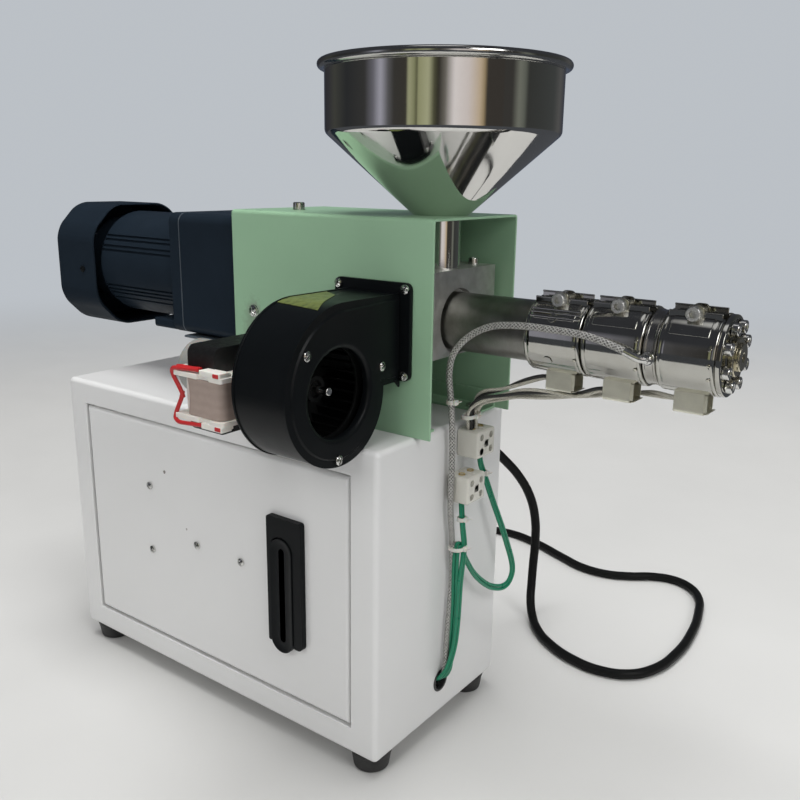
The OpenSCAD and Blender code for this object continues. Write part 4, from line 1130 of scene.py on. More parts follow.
class Hardware:
    """Screws, nuts, rings and ties, made along +X with their seats at x = 0."""

    CROSS = (-1.0, -0.72, -0.42, -0.13, 0.13, 0.42, 0.72, 1.0)

    @classmethod
    def pan_screw(cls, diameter: float, height: float, recess: float = 0.6) -> Solid:
        """Makes a pan head with a cross recess.

        Args:
            diameter: Diameter of the head.
            height: Height of the head.
            recess: Depth of the cross, as a share of the height.

        Returns:
            The head.
        """
        made = Solid()
        bm = made.bm
        radius = diameter / 2
        bmesh.ops.create_grid(bm, x_segments=7, y_segments=7, size=1.0)
        for vert in bm.verts:
            a, b = (cls.CROSS[round((c + 1) * 3.5)] for c in vert.co[:2])
            flat = Vector((a * math.sqrt(1 - b * b / 2), b * math.sqrt(1 - a * a / 2)))
            share = min(1.0, flat.length)
            vert.co = (height * (1 - 0.45 * share ** 2.4), flat.x * radius, flat.y * radius)
        cross = [f for f in bm.faces if any(
            abs(f.calc_center_median()[i]) < 0.1 * radius and abs(f.calc_center_median()[j]) < 0.6 * radius
            for i, j in ((1, 2), (2, 1)))]
        rim = [e for e in bm.edges if e.is_boundary]
        made.draw(made.draw(rim, shift=(-height * 0.3, 0, 0)), shift=(-height * 0.25, 0, 0))
        sunk = bmesh.ops.extrude_face_region(bm, geom=cross)["geom"]
        points = points_in(sunk)
        bmesh.ops.scale(bm, vec=(1, 0.8, 0.8), verts=points)
        bmesh.ops.translate(bm, vec=(-recess * height, 0, 0), verts=points)
        return made.mend()

    @staticmethod
    def socket_screw(diameter: float, height: float, knurls: int = 24) -> Solid:
        """Makes a cylinder head with a hexagon socket and a knurled side.

        Args:
            diameter: Diameter of the head.
            height: Height of the head.
            knurls: Ridges of the knurl.

        Returns:
            The head.
        """
        made = Solid()
        bm = made.bm
        radius = diameter / 2
        top = at(height, 0, 0) @ ACROSS_X
        made.circle(radius * 0.56, 6, top)
        bmesh.ops.subdivide_edges(bm, edges=bm.edges, cuts=knurls * 2 // 6 - 1)
        inner = list(bm.edges)
        outer = made.circle(radius * 0.86, knurls * 2, top)
        bmesh.ops.bridge_loops(bm, edges=inner + outer)
        well = made.draw(inner, grow=(1, 0.94, 0.94), shift=(-height * 0.06, 0, 0))
        made.close(made.draw(well, shift=(-height * 0.5, 0, 0)))
        side = made.draw(outer, grow=(1, 1.14, 1.14), shift=(-height * 0.12, 0, 0))
        made.draw(side, shift=(-height * 0.88, 0, 0))
        for vert in bm.verts:
            reach = math.hypot(vert.co.y, vert.co.z)
            if reach > radius * 0.93:
                place_round = round(math.atan2(vert.co.z, vert.co.y) / math.tau * knurls * 2)
                if place_round % 2:
                    vert.co.y, vert.co.z = vert.co.y * 0.965, vert.co.z * 0.965
        return made.mend()

    @staticmethod
    def nut(across: float, height: float, bore: float) -> Solid:
        """Makes a hexagon nut or collar with a chamfered top.

        Args:
            across: Width across its flats.
            height: Height of the nut.
            bore: Diameter of its hole.

        Returns:
            The nut.
        """
        made = Solid()
        made.circle(across / math.sqrt(3), 6, ACROSS_X)
        bmesh.ops.subdivide_edges(made.bm, edges=made.bm.edges, cuts=3)
        side = made.draw(list(made.bm.edges), shift=(height * 0.88, 0, 0))
        top = made.draw(side, grow=(1, 0.9, 0.9), shift=(height * 0.12, 0, 0))
        inner = made.circle(bore / 2, 24, at(height, 0, 0) @ ACROSS_X)
        bmesh.ops.bridge_loops(made.bm, edges=top + inner)
        return made.close(made.draw(inner, shift=(-height * 0.8, 0, 0))).mend()

    @staticmethod
    def rod(diameter: float, length: float, chamfer: float = 0.3, steps: int = 32) -> Solid:
        """Makes a round bar with chamfered ends.

        Args:
            diameter: Its thickness.
            length: Its length along +X.
            chamfer: How far its ends are cut back.
            steps: Facets round it.

        Returns:
            The bar.
        """
        r = diameter / 2
        return Solid.turned([(0, 0), (0, r - chamfer), (chamfer, r), (length - chamfer, r), (length, r - chamfer),
                             (length, 0)], steps)

    @staticmethod
    def ring(inner: float, outer: float, length: float, soft: float = 0.25, steps: int = 40) -> Solid:
        """Makes a flat ring or a bush.

        Args:
            inner: The hole's diameter.
            outer: The outer diameter.
            length: Its length along +X.
            soft: How far its outer edges are cut back.
            steps: Facets round it.

        Returns:
            The ring.
        """
        a, b = inner / 2, outer / 2
        return Solid.turned([(0, a), (0, b - soft), (soft, b), (length - soft, b), (length, b - soft), (length, a)],
                            steps)

    @staticmethod
    def tie(width: float, height: float, wide: float = 2.4, thick: float = 0.8, square: float = 2.6) -> Solid:
        """Makes a cable tie that lies round an oval or boxy bundle.

        Args:
            width: The bundle's size across, along Y.
            height: The bundle's size along Z.
            wide: Width of the strap.
            thick: Thickness of the strap.
            square: How boxy the loop is, from 2, an oval.

        Returns:
            The loop, without its lock.
        """
        made = Solid.turned([(-wide / 2, 1.0), (-wide / 2, 2.0), (wide / 2, 2.0), (wide / 2, 1.0)], 40)

        def fit(p: Vector) -> Vector:
            """Moves a point of the round loop to the bundle's skin.

            Args:
                p: The point.

            Returns:
                Its new place.
            """
            reach = math.hypot(p.y, p.z)
            a, b = p.y / reach, p.z / reach
            grow = 1.0 / (abs(a) ** square + abs(b) ** square) ** (1.0 / square)
            extra = thick * (reach - 1.0)
            return Vector((p.x, a * (grow * width / 2 + extra), b * (grow * height / 2 + extra)))

        return made.shape(fit)


@dataclass
class OnAxis:
    """Pieces round one axis along X, which is the barrel's unless they say otherwise."""

    y: float = 13.0
    z: float = 283.0

    def on_axis(self, x: float) -> Matrix:
        """Gives a place on the axis."""
        return at(x, self.y, self.z)

    def round_axis(self, x: float, radius: float, angle: float, roll: float) -> Matrix:
        """Gives a place off the axis, at an angle in radians from +Y towards +Z."""
        return place(x, self.y + radius * math.cos(angle), self.z + radius * math.sin(angle), roll=roll)


# ---- studio ----


@dataclass(frozen=True)
class Room(Finish):
    """The dim walls and ceiling that polished metal mirrors, with lit strips round the walls."""

    strips: tuple[tuple[float, RGB], ...]
    ceiling: RGB
    zenith: RGB
    ground: RGB
    wall_top: float
    lamp_low: float

    def paint(self, nodes: Nodes) -> None:
        """Builds the room's own glow.

        Args:
            nodes: The nodes of the room's material.
        """
        x, y, z = nodes.parts(nodes.spot)
        turn = nodes.maths("MULTIPLY", nodes.maths("ARCTAN2", y, x), 1 / math.tau)
        ramp = nodes.node("ShaderNodeValToRGB", {"Fac": nodes.maths("FRACT", nodes.maths("ADD", turn, 1.0))})
        stops = ramp.color_ramp.elements
        stops.remove(stops[0])
        for k, (angle, tone) in enumerate(sorted((a % 360 / 360, t) for a, t in self.strips)):
            stop = stops.new(angle) if k else stops[0]
            stop.position, stop.color = angle, (*tone, 1.0)
        top = self.wall_top * MM
        tone = nodes.tint(nodes.span(z, top * 0.75, top * 1.15), ramp.outputs["Color"], self.ceiling)
        tone = nodes.tint(nodes.span(z, self.lamp_low * MM, self.lamp_low * MM + 0.05), tone, self.zenith)
        tone = nodes.tint(nodes.span(z, 0.002, 0.02), self.ground, tone)
        nodes.fix(Emission_Strength=1.0, Roughness=1.0, Specular_IOR_Level=0.0, Base_Color=(0, 0, 0, 1))
        nodes.feed(nodes.shader.inputs["Emission Color"], tone)


@dataclass
class Studio:
    """The floor, the lamps, the screens and the camera."""

    eye: Point = (435.5, -437.1, 371.0)
    azimuth: float = 36.43
    elevation: float = 14.66
    roll: float = 0.77
    lens: float = 38.87
    ambient: float = 0.36
    floor_reach: float = 5200.0
    floor_level: float = -0.05
    zenith: RGB = (0.8, 0.8, 0.82)
    ground: RGB = (0.075, 0.08, 0.09)
    room: tuple[Point, ...] = ((600.0, 0, 1.0), (2600.0, 0, 1.0), (2600.0, 0, 1500), (2200.0, 0, 2500),
                               (1200.0, 0, 3200), (1.0, 0, 3400))
    ceiling: RGB = (0.05, 0.053, 0.062)
    strips: tuple[tuple[float, RGB], ...] = (
        (-150, (0.04, 0.04, 0.045)), (-135, (0.06, 0.062, 0.055)), (-112, (0.03, 0.032, 0.035)),
        (-86, (0.045, 0.045, 0.045)), (-76, (0.16, 0.16, 0.19)), (-68, (0.42, 0.42, 0.5)), (-60, (0.12, 0.12, 0.13)),
        (-54, (0.05, 0.048, 0.045)), (-42, (0.05, 0.046, 0.04)), (-40, (0.42, 0.43, 0.27)), (-34, (0.26, 0.27, 0.15)),
        (-32.6, (0.05, 0.05, 0.03)), (-31, (0.34, 0.35, 0.2)), (-22, (0.46, 0.47, 0.3)), (-17, (0.1, 0.1, 0.06)),
        (-13, (0.035, 0.032, 0.026)), (-7, (0.18, 0.17, 0.15)), (1, (0.85, 0.8, 0.8)), (13, (0.75, 0.68, 0.66)),
        (23, (0.62, 0.5, 0.36)), (27.5, (0.34, 0.26, 0.15)), (29, (0.05, 0.045, 0.04)), (54, (0.05, 0.048, 0.045)),
        (61, (0.2, 0.21, 0.18)), (67, (0.14, 0.15, 0.13)), (71, (0.045, 0.047, 0.045)), (110, (0.06, 0.065, 0.065)),
        (125, (0.1, 0.1, 0.1)), (142, (0.05, 0.053, 0.065)), (160, (0.075, 0.09, 0.13)), (178, (0.07, 0.085, 0.12)),
        (195, (0.03, 0.03, 0.035)))
    lamps: tuple[tuple[str, Point, float, float, bool], ...] = (
        ("overhead_softbox", (40.0, -90.0, 2200.0), 1.1, 33.0, False),
        ("key_softbox", (-60.0, -2050.0, 1500.0), 1.0, 11.5, False),
        ("side_softbox", (1900.0, -500.0, 1500.0), 0.9, 14.0, True),
        ("rear_softbox", (300.0, 2000.0, 1700.0), 1.1, 12.0, False))

    def build(self) -> None:
        """Makes the studio."""
        self.camera()
        self.world()
        self.floor()
        self.screens()
        for name, spot, size, power, shines in self.lamps:
            self.lamp(name, spot, size, power, shines)

    def camera(self) -> None:
        """Places the camera."""
        turn, lift, roll = (math.radians(a) for a in (self.azimuth, self.elevation, self.roll))
        back = Vector((math.sin(turn) * math.cos(lift), -math.cos(turn) * math.cos(lift), math.sin(lift)))
        level = Vector((math.cos(turn), math.sin(turn), 0.0))
        rise = back.cross(level)
        across = level * math.cos(roll) + rise * math.sin(roll)
        up = rise * math.cos(roll) - level * math.sin(roll)
        data = bpy.data.cameras.new("camera")
        data.lens, data.sensor_width, data.clip_start, data.clip_end = self.lens, 36.0, 0.02, 40.0
        data.dof.use_dof = False
        made = bpy.data.objects.new("camera", data)
        made.matrix_world = Matrix.Translation(Vector(self.eye) * MM) @ Matrix((across, up, back)).transposed().to_4x4()
        bpy.context.scene.collection.objects.link(made)
        bpy.context.scene.camera = made
        bpy.context.scene.view_settings.view_transform = "Standard"

    def world(self) -> None:
        """Lights the room evenly and shows the backdrop to the camera, metal and glass."""
        world = bpy.data.worlds.new("studio")
        bpy.context.scene.world = world
        tree = Tree(world)
        path = tree.node("ShaderNodeLightPath")
        light = tree.node("ShaderNodeBackground", {"Color": (1.0, 1.0, 1.0), "Strength": self.ambient})
        shown = tree.node("ShaderNodeBackground", {"Color": BACKDROP})
        seen = path.outputs["Is Camera Ray"]
        for name in ("Is Glossy Ray", "Is Transmission Ray"):
            seen = tree.node("ShaderNodeMath", {0: seen, 1: path.outputs[name]}, operation="MAXIMUM").outputs[0]
        mix = tree.node("ShaderNodeMixShader", {0: seen, 1: light.outputs[0], 2: shown.outputs[0]})
        tree.node("ShaderNodeOutputWorld", {"Surface": mix.outputs[0]})

    def floor(self) -> None:
        """Lays a round floor."""
        made = Solid()
        disc = bmesh.ops.create_circle(made.bm, cap_ends=True, segments=96, radius=self.floor_reach)
        bmesh.ops.translate(made.bm, vec=(0, 0, self.floor_level), verts=disc["verts"])
        self.object("floor", made, FLOOR)

    def screens(self) -> None:
        """Closes a dim room round the machine, which only its shiny surfaces mirror."""
        made = Solid()
        verts = [made.bm.verts.new(p) for p in self.room]
        edges = [made.bm.edges.new(pair) for pair in zip(verts, verts[1:])]
        bmesh.ops.spin(made.bm, geom=[*verts, *edges], cent=(0, 0, 0), axis=(0, 0, 1), angle=math.tau, steps=96,
                       use_merge=True, use_duplicate=False)
        facing = math.degrees(math.atan2(self.eye[1], self.eye[0]))
        strips = tuple((angle + facing, tone) for angle, tone in self.strips)
        wall_top, lamp_low = self.room[2][2], self.room[-2][2] + 60
        screen = self.object("room_walls", made, Room("room_walls", strips, self.ceiling, self.zenith, self.ground,
                                                      wall_top, lamp_low))
        screen.visible_camera = screen.visible_diffuse = screen.visible_shadow = False
        screen.visible_transmission = screen.visible_volume_scatter = False

    @staticmethod
    def object(name: str, solid: Solid, finish: Finish) -> bpy.types.Object:
        """Makes a plain object of the studio.

        Args:
            name: The object's name.
            solid: Its shape in millimetres.
            finish: Its finish.

        Returns:
            The object.
        """
        mesh = bpy.data.meshes.new(name)
        solid.bm.to_mesh(mesh)
        mesh.transform(Matrix.Scale(MM, 4))
        mesh.materials.append(finish.material())
        made = bpy.data.objects.new(name, mesh)
        bpy.context.scene.collection.objects.link(made)
        return made

    @staticmethod
    def lamp(name: str, spot: Point, size: float, power: float, shines: bool) -> None:
        """Hangs a soft square lamp that looks at the machine.

        Args:
            name: The lamp's name.
            spot: Its place in millimetres.
            size: Its side in metres.
            power: Its power in watts.
            shines: Whether shiny surfaces mirror it.
        """
        data = bpy.data.lights.new(name, "AREA")
        data.shape, data.size, data.energy = "SQUARE", size, power
        made = bpy.data.objects.new(name, data)
        aim = Vector(spot) * MM - Vector((0.05, 0.0, 0.2))
        made.rotation_mode = "QUATERNION"
        made.rotation_quaternion = aim.to_track_quat("Z", "Y")
        made.location = Vector(spot) * MM
        made.visible_glossy = shines
        bpy.context.scene.collection.objects.link(made)


# ---- mains lead ----


@dataclass
class MainsLead:
    """The mains lead: gland, cord with its coil behind the cabinet, tie and plug."""

    diameter: float = 7.5
    length: float = 2.0
    gland: Point = (96.0, 72.5, 163.0)
    relief_end: float = 111.5
    coil_x: float = -66.0
    coil_y: float = 190.0
    turn_radius: float = 44.75
    swing: float = 7.75
    sweep: float = 1530.0
    plug_y: float = 136.35
    plug_face: float = -134.0
    route: tuple[Point, ...] = (
        (96, 111.6, 163), (96, 124, 163), (97.5, 136, 160.5), (100.5, 147, 154.5), (104, 157, 145.3),
        (110.5, 172, 128), (116, 183, 108.5), (119, 189, 87.5), (119, 192, 64), (119, 190.5, 45),
        (120.5, 186.5, 28), (124, 179.5, 15), (132, 169, 6.5), (144, 156, 3.9), (161, 143, 3.75),
        (188, 132, 3.75), (212, 131, 3.75), (231, 140, 3.75), (243, 158, 3.75), (249, 190, 3.75),
        (248, 230, 3.75), (241, 270, 3.75), (232, 297, 3.75), (219, 312.5, 3.75), (202, 318.5, 3.75),
        (184, 313.5, 3.75), (165, 300, 3.75), (146, 291, 3.75), (122, 290, 3.75), (96, 299, 3.75),
        (60, 313, 3.75), (24, 319, 3.75), (2, 312, 3.75), (-9.5, 297, 3.75), (-13.5, 274, 3.75),
        (-13.5, 240, 3.75), (-13.5, 190, 3.75))

    def build(self) -> None:
        self.relief()
        carried = [self.tie(), self.plug()]
        cord = self.cord()
        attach(cord, "root")
        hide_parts("mains_cord", "cord_coil")

    def coil(self) -> list[Point]:
        """Winds the four turns, two low and two on top of them, and leads the cord to the plug.

        Returns:
            The points of the coil.
        """

        def eased(angle: float, start: float, end: float) -> float:
            """Rises smoothly from 0 to 1 between two angles."""
            t = min(1.0, max(0.0, (angle - start) / (end - start)))
            return t * t * (3 - 2 * t)

        d, steps = self.diameter, 72
        points = []
        for k in range(1, steps + 1):
            a = self.sweep * k / steps
            radius = (self.turn_radius + self.swing - self.swing * eased(a, 0, 60) - d * eased(a, 360, 420)
                      + d * eased(a, 1020, 1080) + self.swing * eased(a, 1380, 1440) + 1.15 * eased(a, 1440, 1530))
            height = d / 2 + d * eased(a, 690, 750) - 2.75 * eased(a, 1470, 1530)
            turn = math.radians(a)
            points.append((self.coil_x + radius * math.cos(turn), self.coil_y - radius * math.sin(turn), height))
        return points + [(-72.0, self.plug_y, 8.5), (-80.0, self.plug_y, 8.5)]

    def cord(self) -> bpy.types.Object:
        """Draws the cord as one open spline.

        Returns:
            The cord.
        """
        data = bpy.data.curves.new("mains_lead", "CURVE")
        data.dimensions, data.bevel_depth, data.bevel_resolution = "3D", self.diameter / 2 * MM, 5
        data.use_fill_caps, data.resolution_u, data.render_resolution_u = True, 6, 6
        line = data.splines.new("BEZIER")
        points = [*self.route, *self.coil()]
        line.bezier_points.add(len(points) - 1)
        for knot, point in zip(line.bezier_points, points):
            knot.co = Vector(point) * MM
            knot.handle_left_type = knot.handle_right_type = "AUTO"
        data.materials.append(CORD.material())
        made = bpy.data.objects.new("mains_lead", data)
        bpy.context.scene.collection.objects.link(made)
        log.info("mains_lead: %.4f m", line.calc_length())
        return made

    def relief(self) -> bpy.types.Object:
        """Makes the gland's nut, its ribbed dome and the tapered strain relief.

        Returns:
            The gland.
        """
        piece = Piece("mains_gland", BLACK_PLASTIC)
        x, y, z = self.gland
        seat = place(x, y, z, Facing.REAR)
        piece.add(Solid.turned([(-4.5, 0.1), (-4.5, 6.0), (0, 6.0), (0, 9.9), (0.9, 10.0), (1.0, 9.0), (1.0, 0.1)]),
                  where=seat)
        piece.add(Hardware.nut(17.0, 4.2, 15.2), where=place(x, y + 0.9, z, Facing.REAR, 8))
        grooved = [(4.8, 0.1), (4.8, 8.2), (5.4, 8.5), (7.6, 8.4), (8.6, 7.6), (9.0, 6.5)]
        for k in range(6):
            x0 = 10.5 + 4.1 * k
            outer = 6.5 - 1.5 * (x0 - 9) / 30
            grooved += [(x0, outer), (x0 + 0.3, outer - 0.9), (x0 + 1.3, outer - 0.95), (x0 + 1.6, outer - 0.1)]
        piece.add(Solid.turned([*grooved, (38.4, 5.05), (39.0, 4.6), (39.0, 0.1)]), where=seat)
        return piece.put(stands_for=["cord_gland"], slot="black_plastic", edge=0.25)

    def tie(self) -> bpy.types.Object:
        """Makes the tie that holds the coil.

        Returns:
            The tie.
        """
        piece = Piece("coil_tie", TIE)
        x = self.coil_x - (self.turn_radius - self.diameter / 2)
        piece.add(Hardware.tie(16.0, 15.6, 3.6, 0.8, square=7.0), where=place(x, self.coil_y, 7.9, Facing.REAR))
        piece.add(Solid.block((-2.6, -2.4, 0), (2.6, 2.4, 3.6), 0.6),
                  where=at(x + 3.5, self.coil_y, 15.2))
        piece.add(Solid.block((-0.4, -1.8, 0), (0.4, 1.8, 14.0), 0.3),
                  where=at(x + 5.2, self.coil_y, 15.6)
                  @ tilt(62, "Y"))
        return piece.put(edge=0.15)

    def plug(self) -> bpy.types.Object:
        """Makes the earthed plug with its grip, tail and three pins.

        Returns:
            The plug.
        """
        piece = Piece("mains_plug_body", BLACK_PLASTIC, BRASS)
        half_wide, half_high = 16.8, 8.4
        outline = [(0, 0), (0, 0.86), (1.0, 0.97), (2.2, 1.0), (15, 1.0), (16, 0.93), (17.4, 0.93), (18.2, 0.99),
                   (20.2, 0.98), (21, 0.88), (22.4, 0.88), (23.2, 0.93), (25.2, 0.90), (26, 0.78), (27.4, 0.76),
                   (28.2, 0.80), (30.4, 0.66), (32, 0.42), (32, 0)]
        body = Solid.turned(outline, 64)

        def boxy(p: Vector) -> Vector:
            """Spreads a round section to the plug's flat oval.

            Args:
                p: A point of the round section.

            Returns:
                Its new place.
            """
            reach = math.hypot(p.y, p.z)
            if reach < 1e-6:
                return p
            a, b = abs(p.y) / reach, abs(p.z) / reach
            square = 1.0 / (a ** 5 + b ** 5) ** 0.2
            return Vector((p.x, p.y * square * half_wide, p.z * square * half_high))

        piece.add(body.shape(boxy), where=at(self.plug_face, self.plug_y, half_high + 0.05))
        tail = [(0, 0), (0, 5.6), (1, 6.0), (13, 6.0), (14, 5.4)]
        for k in range(5):
            x0 = 15.5 + 4.2 * k
            outer = 5.9 - 1.2 * (x0 - 14) / 24
            tail += [(x0, outer), (x0 + 0.3, outer - 0.7), (x0 + 1.5, outer - 0.75), (x0 + 1.8, outer - 0.08)]
        piece.add(Solid.turned([*tail, (37.6, 4.7), (38, 4.3), (38, 0)], 32),
                  where=at(self.plug_face + 32, self.plug_y, 8.5))
        for side in (-1, 1):
            piece.add(Solid.block((-17, -0.75, -3), (0.5, 0.75, 3), 0.3, 2), 1,
                      at(self.plug_face, self.plug_y + 6.5 * side, 8.5))
        piece.add(Solid.block((-20, -3, -0.75), (0.5, 3, 0.75), 0.3, 2), 1,
                  at(self.plug_face, self.plug_y, 8.5))
        return piece.put(stands_for=["mains_plug"], slot="black_plastic", edge=0.2)


# ---- cabinet ----


@dataclass
class Cabinet:
    """The sheet-steel cabinet with its rear panel and feet."""

    half_x: float = 150.0
    half_y: float = 71.0
    floor: float = 13.0
    top: float = 218.0
    sheet: float = 1.5
    corner: float = 3.6
    opening: tuple[float, float, float, float] = (-130.0, 31.5, 130.0, 200.5)
    fold: float = 15.0
    rim: float = 14.0
    lap: float = 8.0
    foot_x: float = 135.0
    foot_y: float = 56.0
    foot_hole_diameter: float = 5.0
    lead_hole: Point = (150.0, 0.0, 38.0)
    lead_hole_diameter: float = 14.0

    @property
    def foot_spots(self) -> list[tuple[float, float]]:
        """The places of the four feet."""
        return [(sx * self.foot_x, sy * self.foot_y) for sx in (-1, 1) for sy in (-1, 1)]

    def build(self) -> None:
        """Makes the cabinet."""
        self.shell()
        self.rear_panel()
        self.feet()

    def shell(self) -> None:
        """Folds the shell, with the frame turned in round the door opening."""
        shell = Solid.block((-self.half_x, -self.half_y, self.floor), (self.half_x, self.half_y, self.top),
                            self.corner, 5)
        x0, z0, x1, z1 = self.opening
        rim = shell.window(Axis.Y, -self.half_y, (x0, 0, z0), (x1, 0, z1))
        shell.draw(shell.draw(rim, shift=(0, 1.4, 0)), shift=(0, self.fold - 1.4, 0))
        shell.window(Axis.Y, self.half_y, (-self.half_x + self.rim, 0, self.floor + self.rim),
                     (self.half_x - self.rim, 0, self.top - self.rim))
        shell.hole(Axis.X, self.lead_hole, self.lead_hole_diameter)
        for x, y in self.foot_spots:
            shell.hole(Axis.Z, (x, y, self.floor), self.foot_hole_diameter, cuts=3)
        Piece("cabinet", WHITE).add(shell.outward()).put(
            stands_for=["cabinet_shell", "door_frame"], slot="white_enamel", wall=self.sheet, edge=0.5, edge_steps=3)

    def rear_panel(self) -> None:
        """Screws the rear panel on."""
        piece = Piece("rear_panel", WHITE, ZINC)
        half = self.half_x - self.rim + self.lap
        low, high = self.floor + self.rim - self.lap, self.top - self.rim + self.lap
        piece.add(Solid.panel((-half, low), (half, high), 3, self.sheet, Axis.Y), 0, at(0, self.half_y, 0))
        head = Hardware.pan_screw(6.4, 2.0)
        spots = [(x, self.half_y + self.sheet, z) for z in (low + 5, high - 5) for x in (-half + 7, 0, half - 7)]
        piece.add(head, 1, copies=[place(*spot, Facing.REAR, 20 + 17 * k) for k, spot in enumerate(spots)])
        piece.put(stands_for=["back_panel"], slot="white_enamel", edge=0.25)

    def feet(self) -> None:
        """Screws the four rubber feet on."""
        piece = Piece("rubber_feet", FOOT_RUBBER, ZINC)
        foot = Solid.turned([(13, 2.6), (13, 13.1), (12.4, 13.45), (10.6, 13.4), (10.2, 13.0), (1.4, 11.6), (0.5, 11.2),
                             (0, 10.2), (0, 5.4), (5.0, 5.0), (5.0, 2.6)], 48)
        head = Hardware.pan_screw(8.2, 3.0)
        piece.add(foot, 0, copies=[place(x, y, 0, Facing.UP) for x, y in self.foot_spots])
        piece.add(head, 1, copies=[place(x, y, 5.0, Facing.DOWN, 35) for x, y in self.foot_spots])
        piece.put(stands_for=["feet"], slot="black_rubber", edge=0.3)


# ---- door ----


@dataclass
class Door:
    """The inset door: a folded pan on two hinge pins, with its screws and latch handle."""

    left: float = -128.5
    right: float = 128.5
    low: float = 33.0
    high: float = 199.0
    face: float = -71.0
    depth: float = 12.0
    sheet: float = 1.5
    corner: float = 3.4
    hinge: tuple[float, float] = (-124.0, -67.0)
    pin_length: float = 4.7
    screws: tuple[tuple[float, float], ...] = ((-58, 151), (-59, 101), (-9, 118), (35, 118))

    def build(self) -> None:
        """Makes the door."""
        back, inside = self.face + self.depth, self.face + self.sheet
        pan = Solid.block((self.left, self.face, self.low), (self.right, back, self.high))
        pan.round_off(self.corner, 7, lambda e: all(v.co.y < self.face + LEVEL for v in e.verts))
        pan.drop(pan.faces_at(Axis.Y, back)).outward()
        Piece("door_pan", WHITE).add(pan).put("door", ["door"], "white_enamel", self.sheet, 0.3)
        fittings = Piece("door_fittings", ZINC)
        head, stud, nut = Hardware.pan_screw(5.6, 2.0), Hardware.rod(3.0, 6.0, 0.3, 16), Hardware.nut(5.5, 2.2, 3.1)
        fittings.add(head, copies=[place(x, self.face, z, Facing.FRONT, 25 + 31 * k)
                                   for k, (x, z) in enumerate(self.screws)])
        fittings.add(stud, copies=[place(x, inside, z, Facing.REAR) for x, z in self.screws])
        fittings.add(nut, copies=[place(x, inside, z, Facing.REAR, 11 * k) for k, (x, z) in enumerate(self.screws)])
        fittings.add(Hardware.rod(4.0, self.pin_length, 0.4, 24), copies=[
            place(*self.hinge, z, Facing.UP) for z in (self.low - self.pin_length, self.high)])
        fittings.put("door", ["door_screws"], "bright_steel")


@dataclass
class DoorHandle:
    """The black latch: an escutcheon with a recess, its lock barrel and cam, and the lift lever."""

    centre: float = 78.25
    half_width: float = 14.75
    low: float = 73.0
    high: float = 161.0
    face: float = -75.2
    back: float = -71.0
    lever_front: float = -76.0
    lever_left: float = 66.5
    lever_right: float = 85.5
    lever_low: float = 67.5
    pivot: tuple[float, float] = (-75.0, 144.5)
    lever_top: float = 2.7
    arch_top: float = 3.5
    thick: float = 3.0

    def build(self) -> None:
        """Makes the handle."""
        self.escutcheon()
        self.lever()

    def escutcheon(self) -> None:
        """Casts the escutcheon, open below round the lever."""
        piece = Piece("latch_escutcheon", ZINC_BLACK, ZINC)
        left, right = self.centre - self.half_width, self.centre + self.half_width
        inner_left, inner_right = self.lever_left - 0.35, self.lever_right + 0.35
        radius = (inner_right - inner_left) / 2
        arch = self.pivot[1] + self.arch_top
        outline = [(left, self.low, 1.2), (left, self.high, 2.0), (right, self.high, 2.0), (right, self.low, 3.4),
                   (inner_right, self.low, 0.9), (inner_right, arch, radius * 0.98), (inner_left, arch, radius * 0.98),
                   (inner_left, self.low, 0.6)]
        wall = Solid.plate(outline, self.back - self.face, Axis.Y, 14)
        piece.add(wall, 0, at(0, self.face, 0))
        floor = Solid.plate([(left + 0.6, self.low + 0.4, 1.0), (left + 0.6, self.high - 1, 1.5),
                             (right - 0.6, self.high - 1, 1.5), (right - 0.6, self.low + 0.4, 2.6)], 0.55, Axis.Y, 5)
        piece.add(floor, 0, at(0, self.back - 0.55, 0))
        barrel = Solid.turned([(0, 0), (0, 9.9), (16.5, 9.9), (18, 9.3), (18, 0)], 40)
        piece.add(barrel, 0, place(self.centre, self.back, self.pivot[1], Facing.REAR))
        piece.add(Solid.panel((-6, -8), (6, 28), 3, 2.4, Axis.Y, 5), 1, at(self.centre, self.back + 18, self.pivot[1]))
        pin = Hardware.rod(2.0, 0.9, 0.1, 20)
        piece.add(pin, 1, copies=[place(x, self.lever_front + 1.8, self.pivot[1])
                                  for x in (inner_left - 0.6, inner_right - 0.3)])
        piece.put("door", ["handle_base"], "black_zinc", edge=0.45, edge_steps=3)

    def lever(self) -> None:
        """Casts the lever, rounded at both ends, with a dished face."""
        piece = Piece("latch_lever", ZINC_BLACK)
        radius, front = (self.lever_right - self.lever_left) / 2, self.lever_front
        outline = [(x, z, radius * 0.99) for x, z in (
            (self.lever_left, self.lever_low), (self.lever_left, self.pivot[1] + self.lever_top),
            (self.lever_right, self.pivot[1] + self.lever_top), (self.lever_right, self.lever_low))]
        bar = Solid.plate(outline, self.thick, Axis.Y, 14).move(at(0, front, 0))
        for inset, sink in ((1.1, 0.0), (0.9, 0.6), (2.6, 0.4), (2.4, 0.2)):
            face = largest(bar.faces_near(Axis.Y, front, 1.6))
            bmesh.ops.inset_region(bar.bm, faces=[face], thickness=inset)
            bmesh.ops.translate(bar.bm, vec=(0, sink, 0), verts=face.verts)
        piece.add(bar).put("lever", ["handle_lever"], "black_zinc", edge=0.4, edge_steps=3)


# ---- drive cover ----


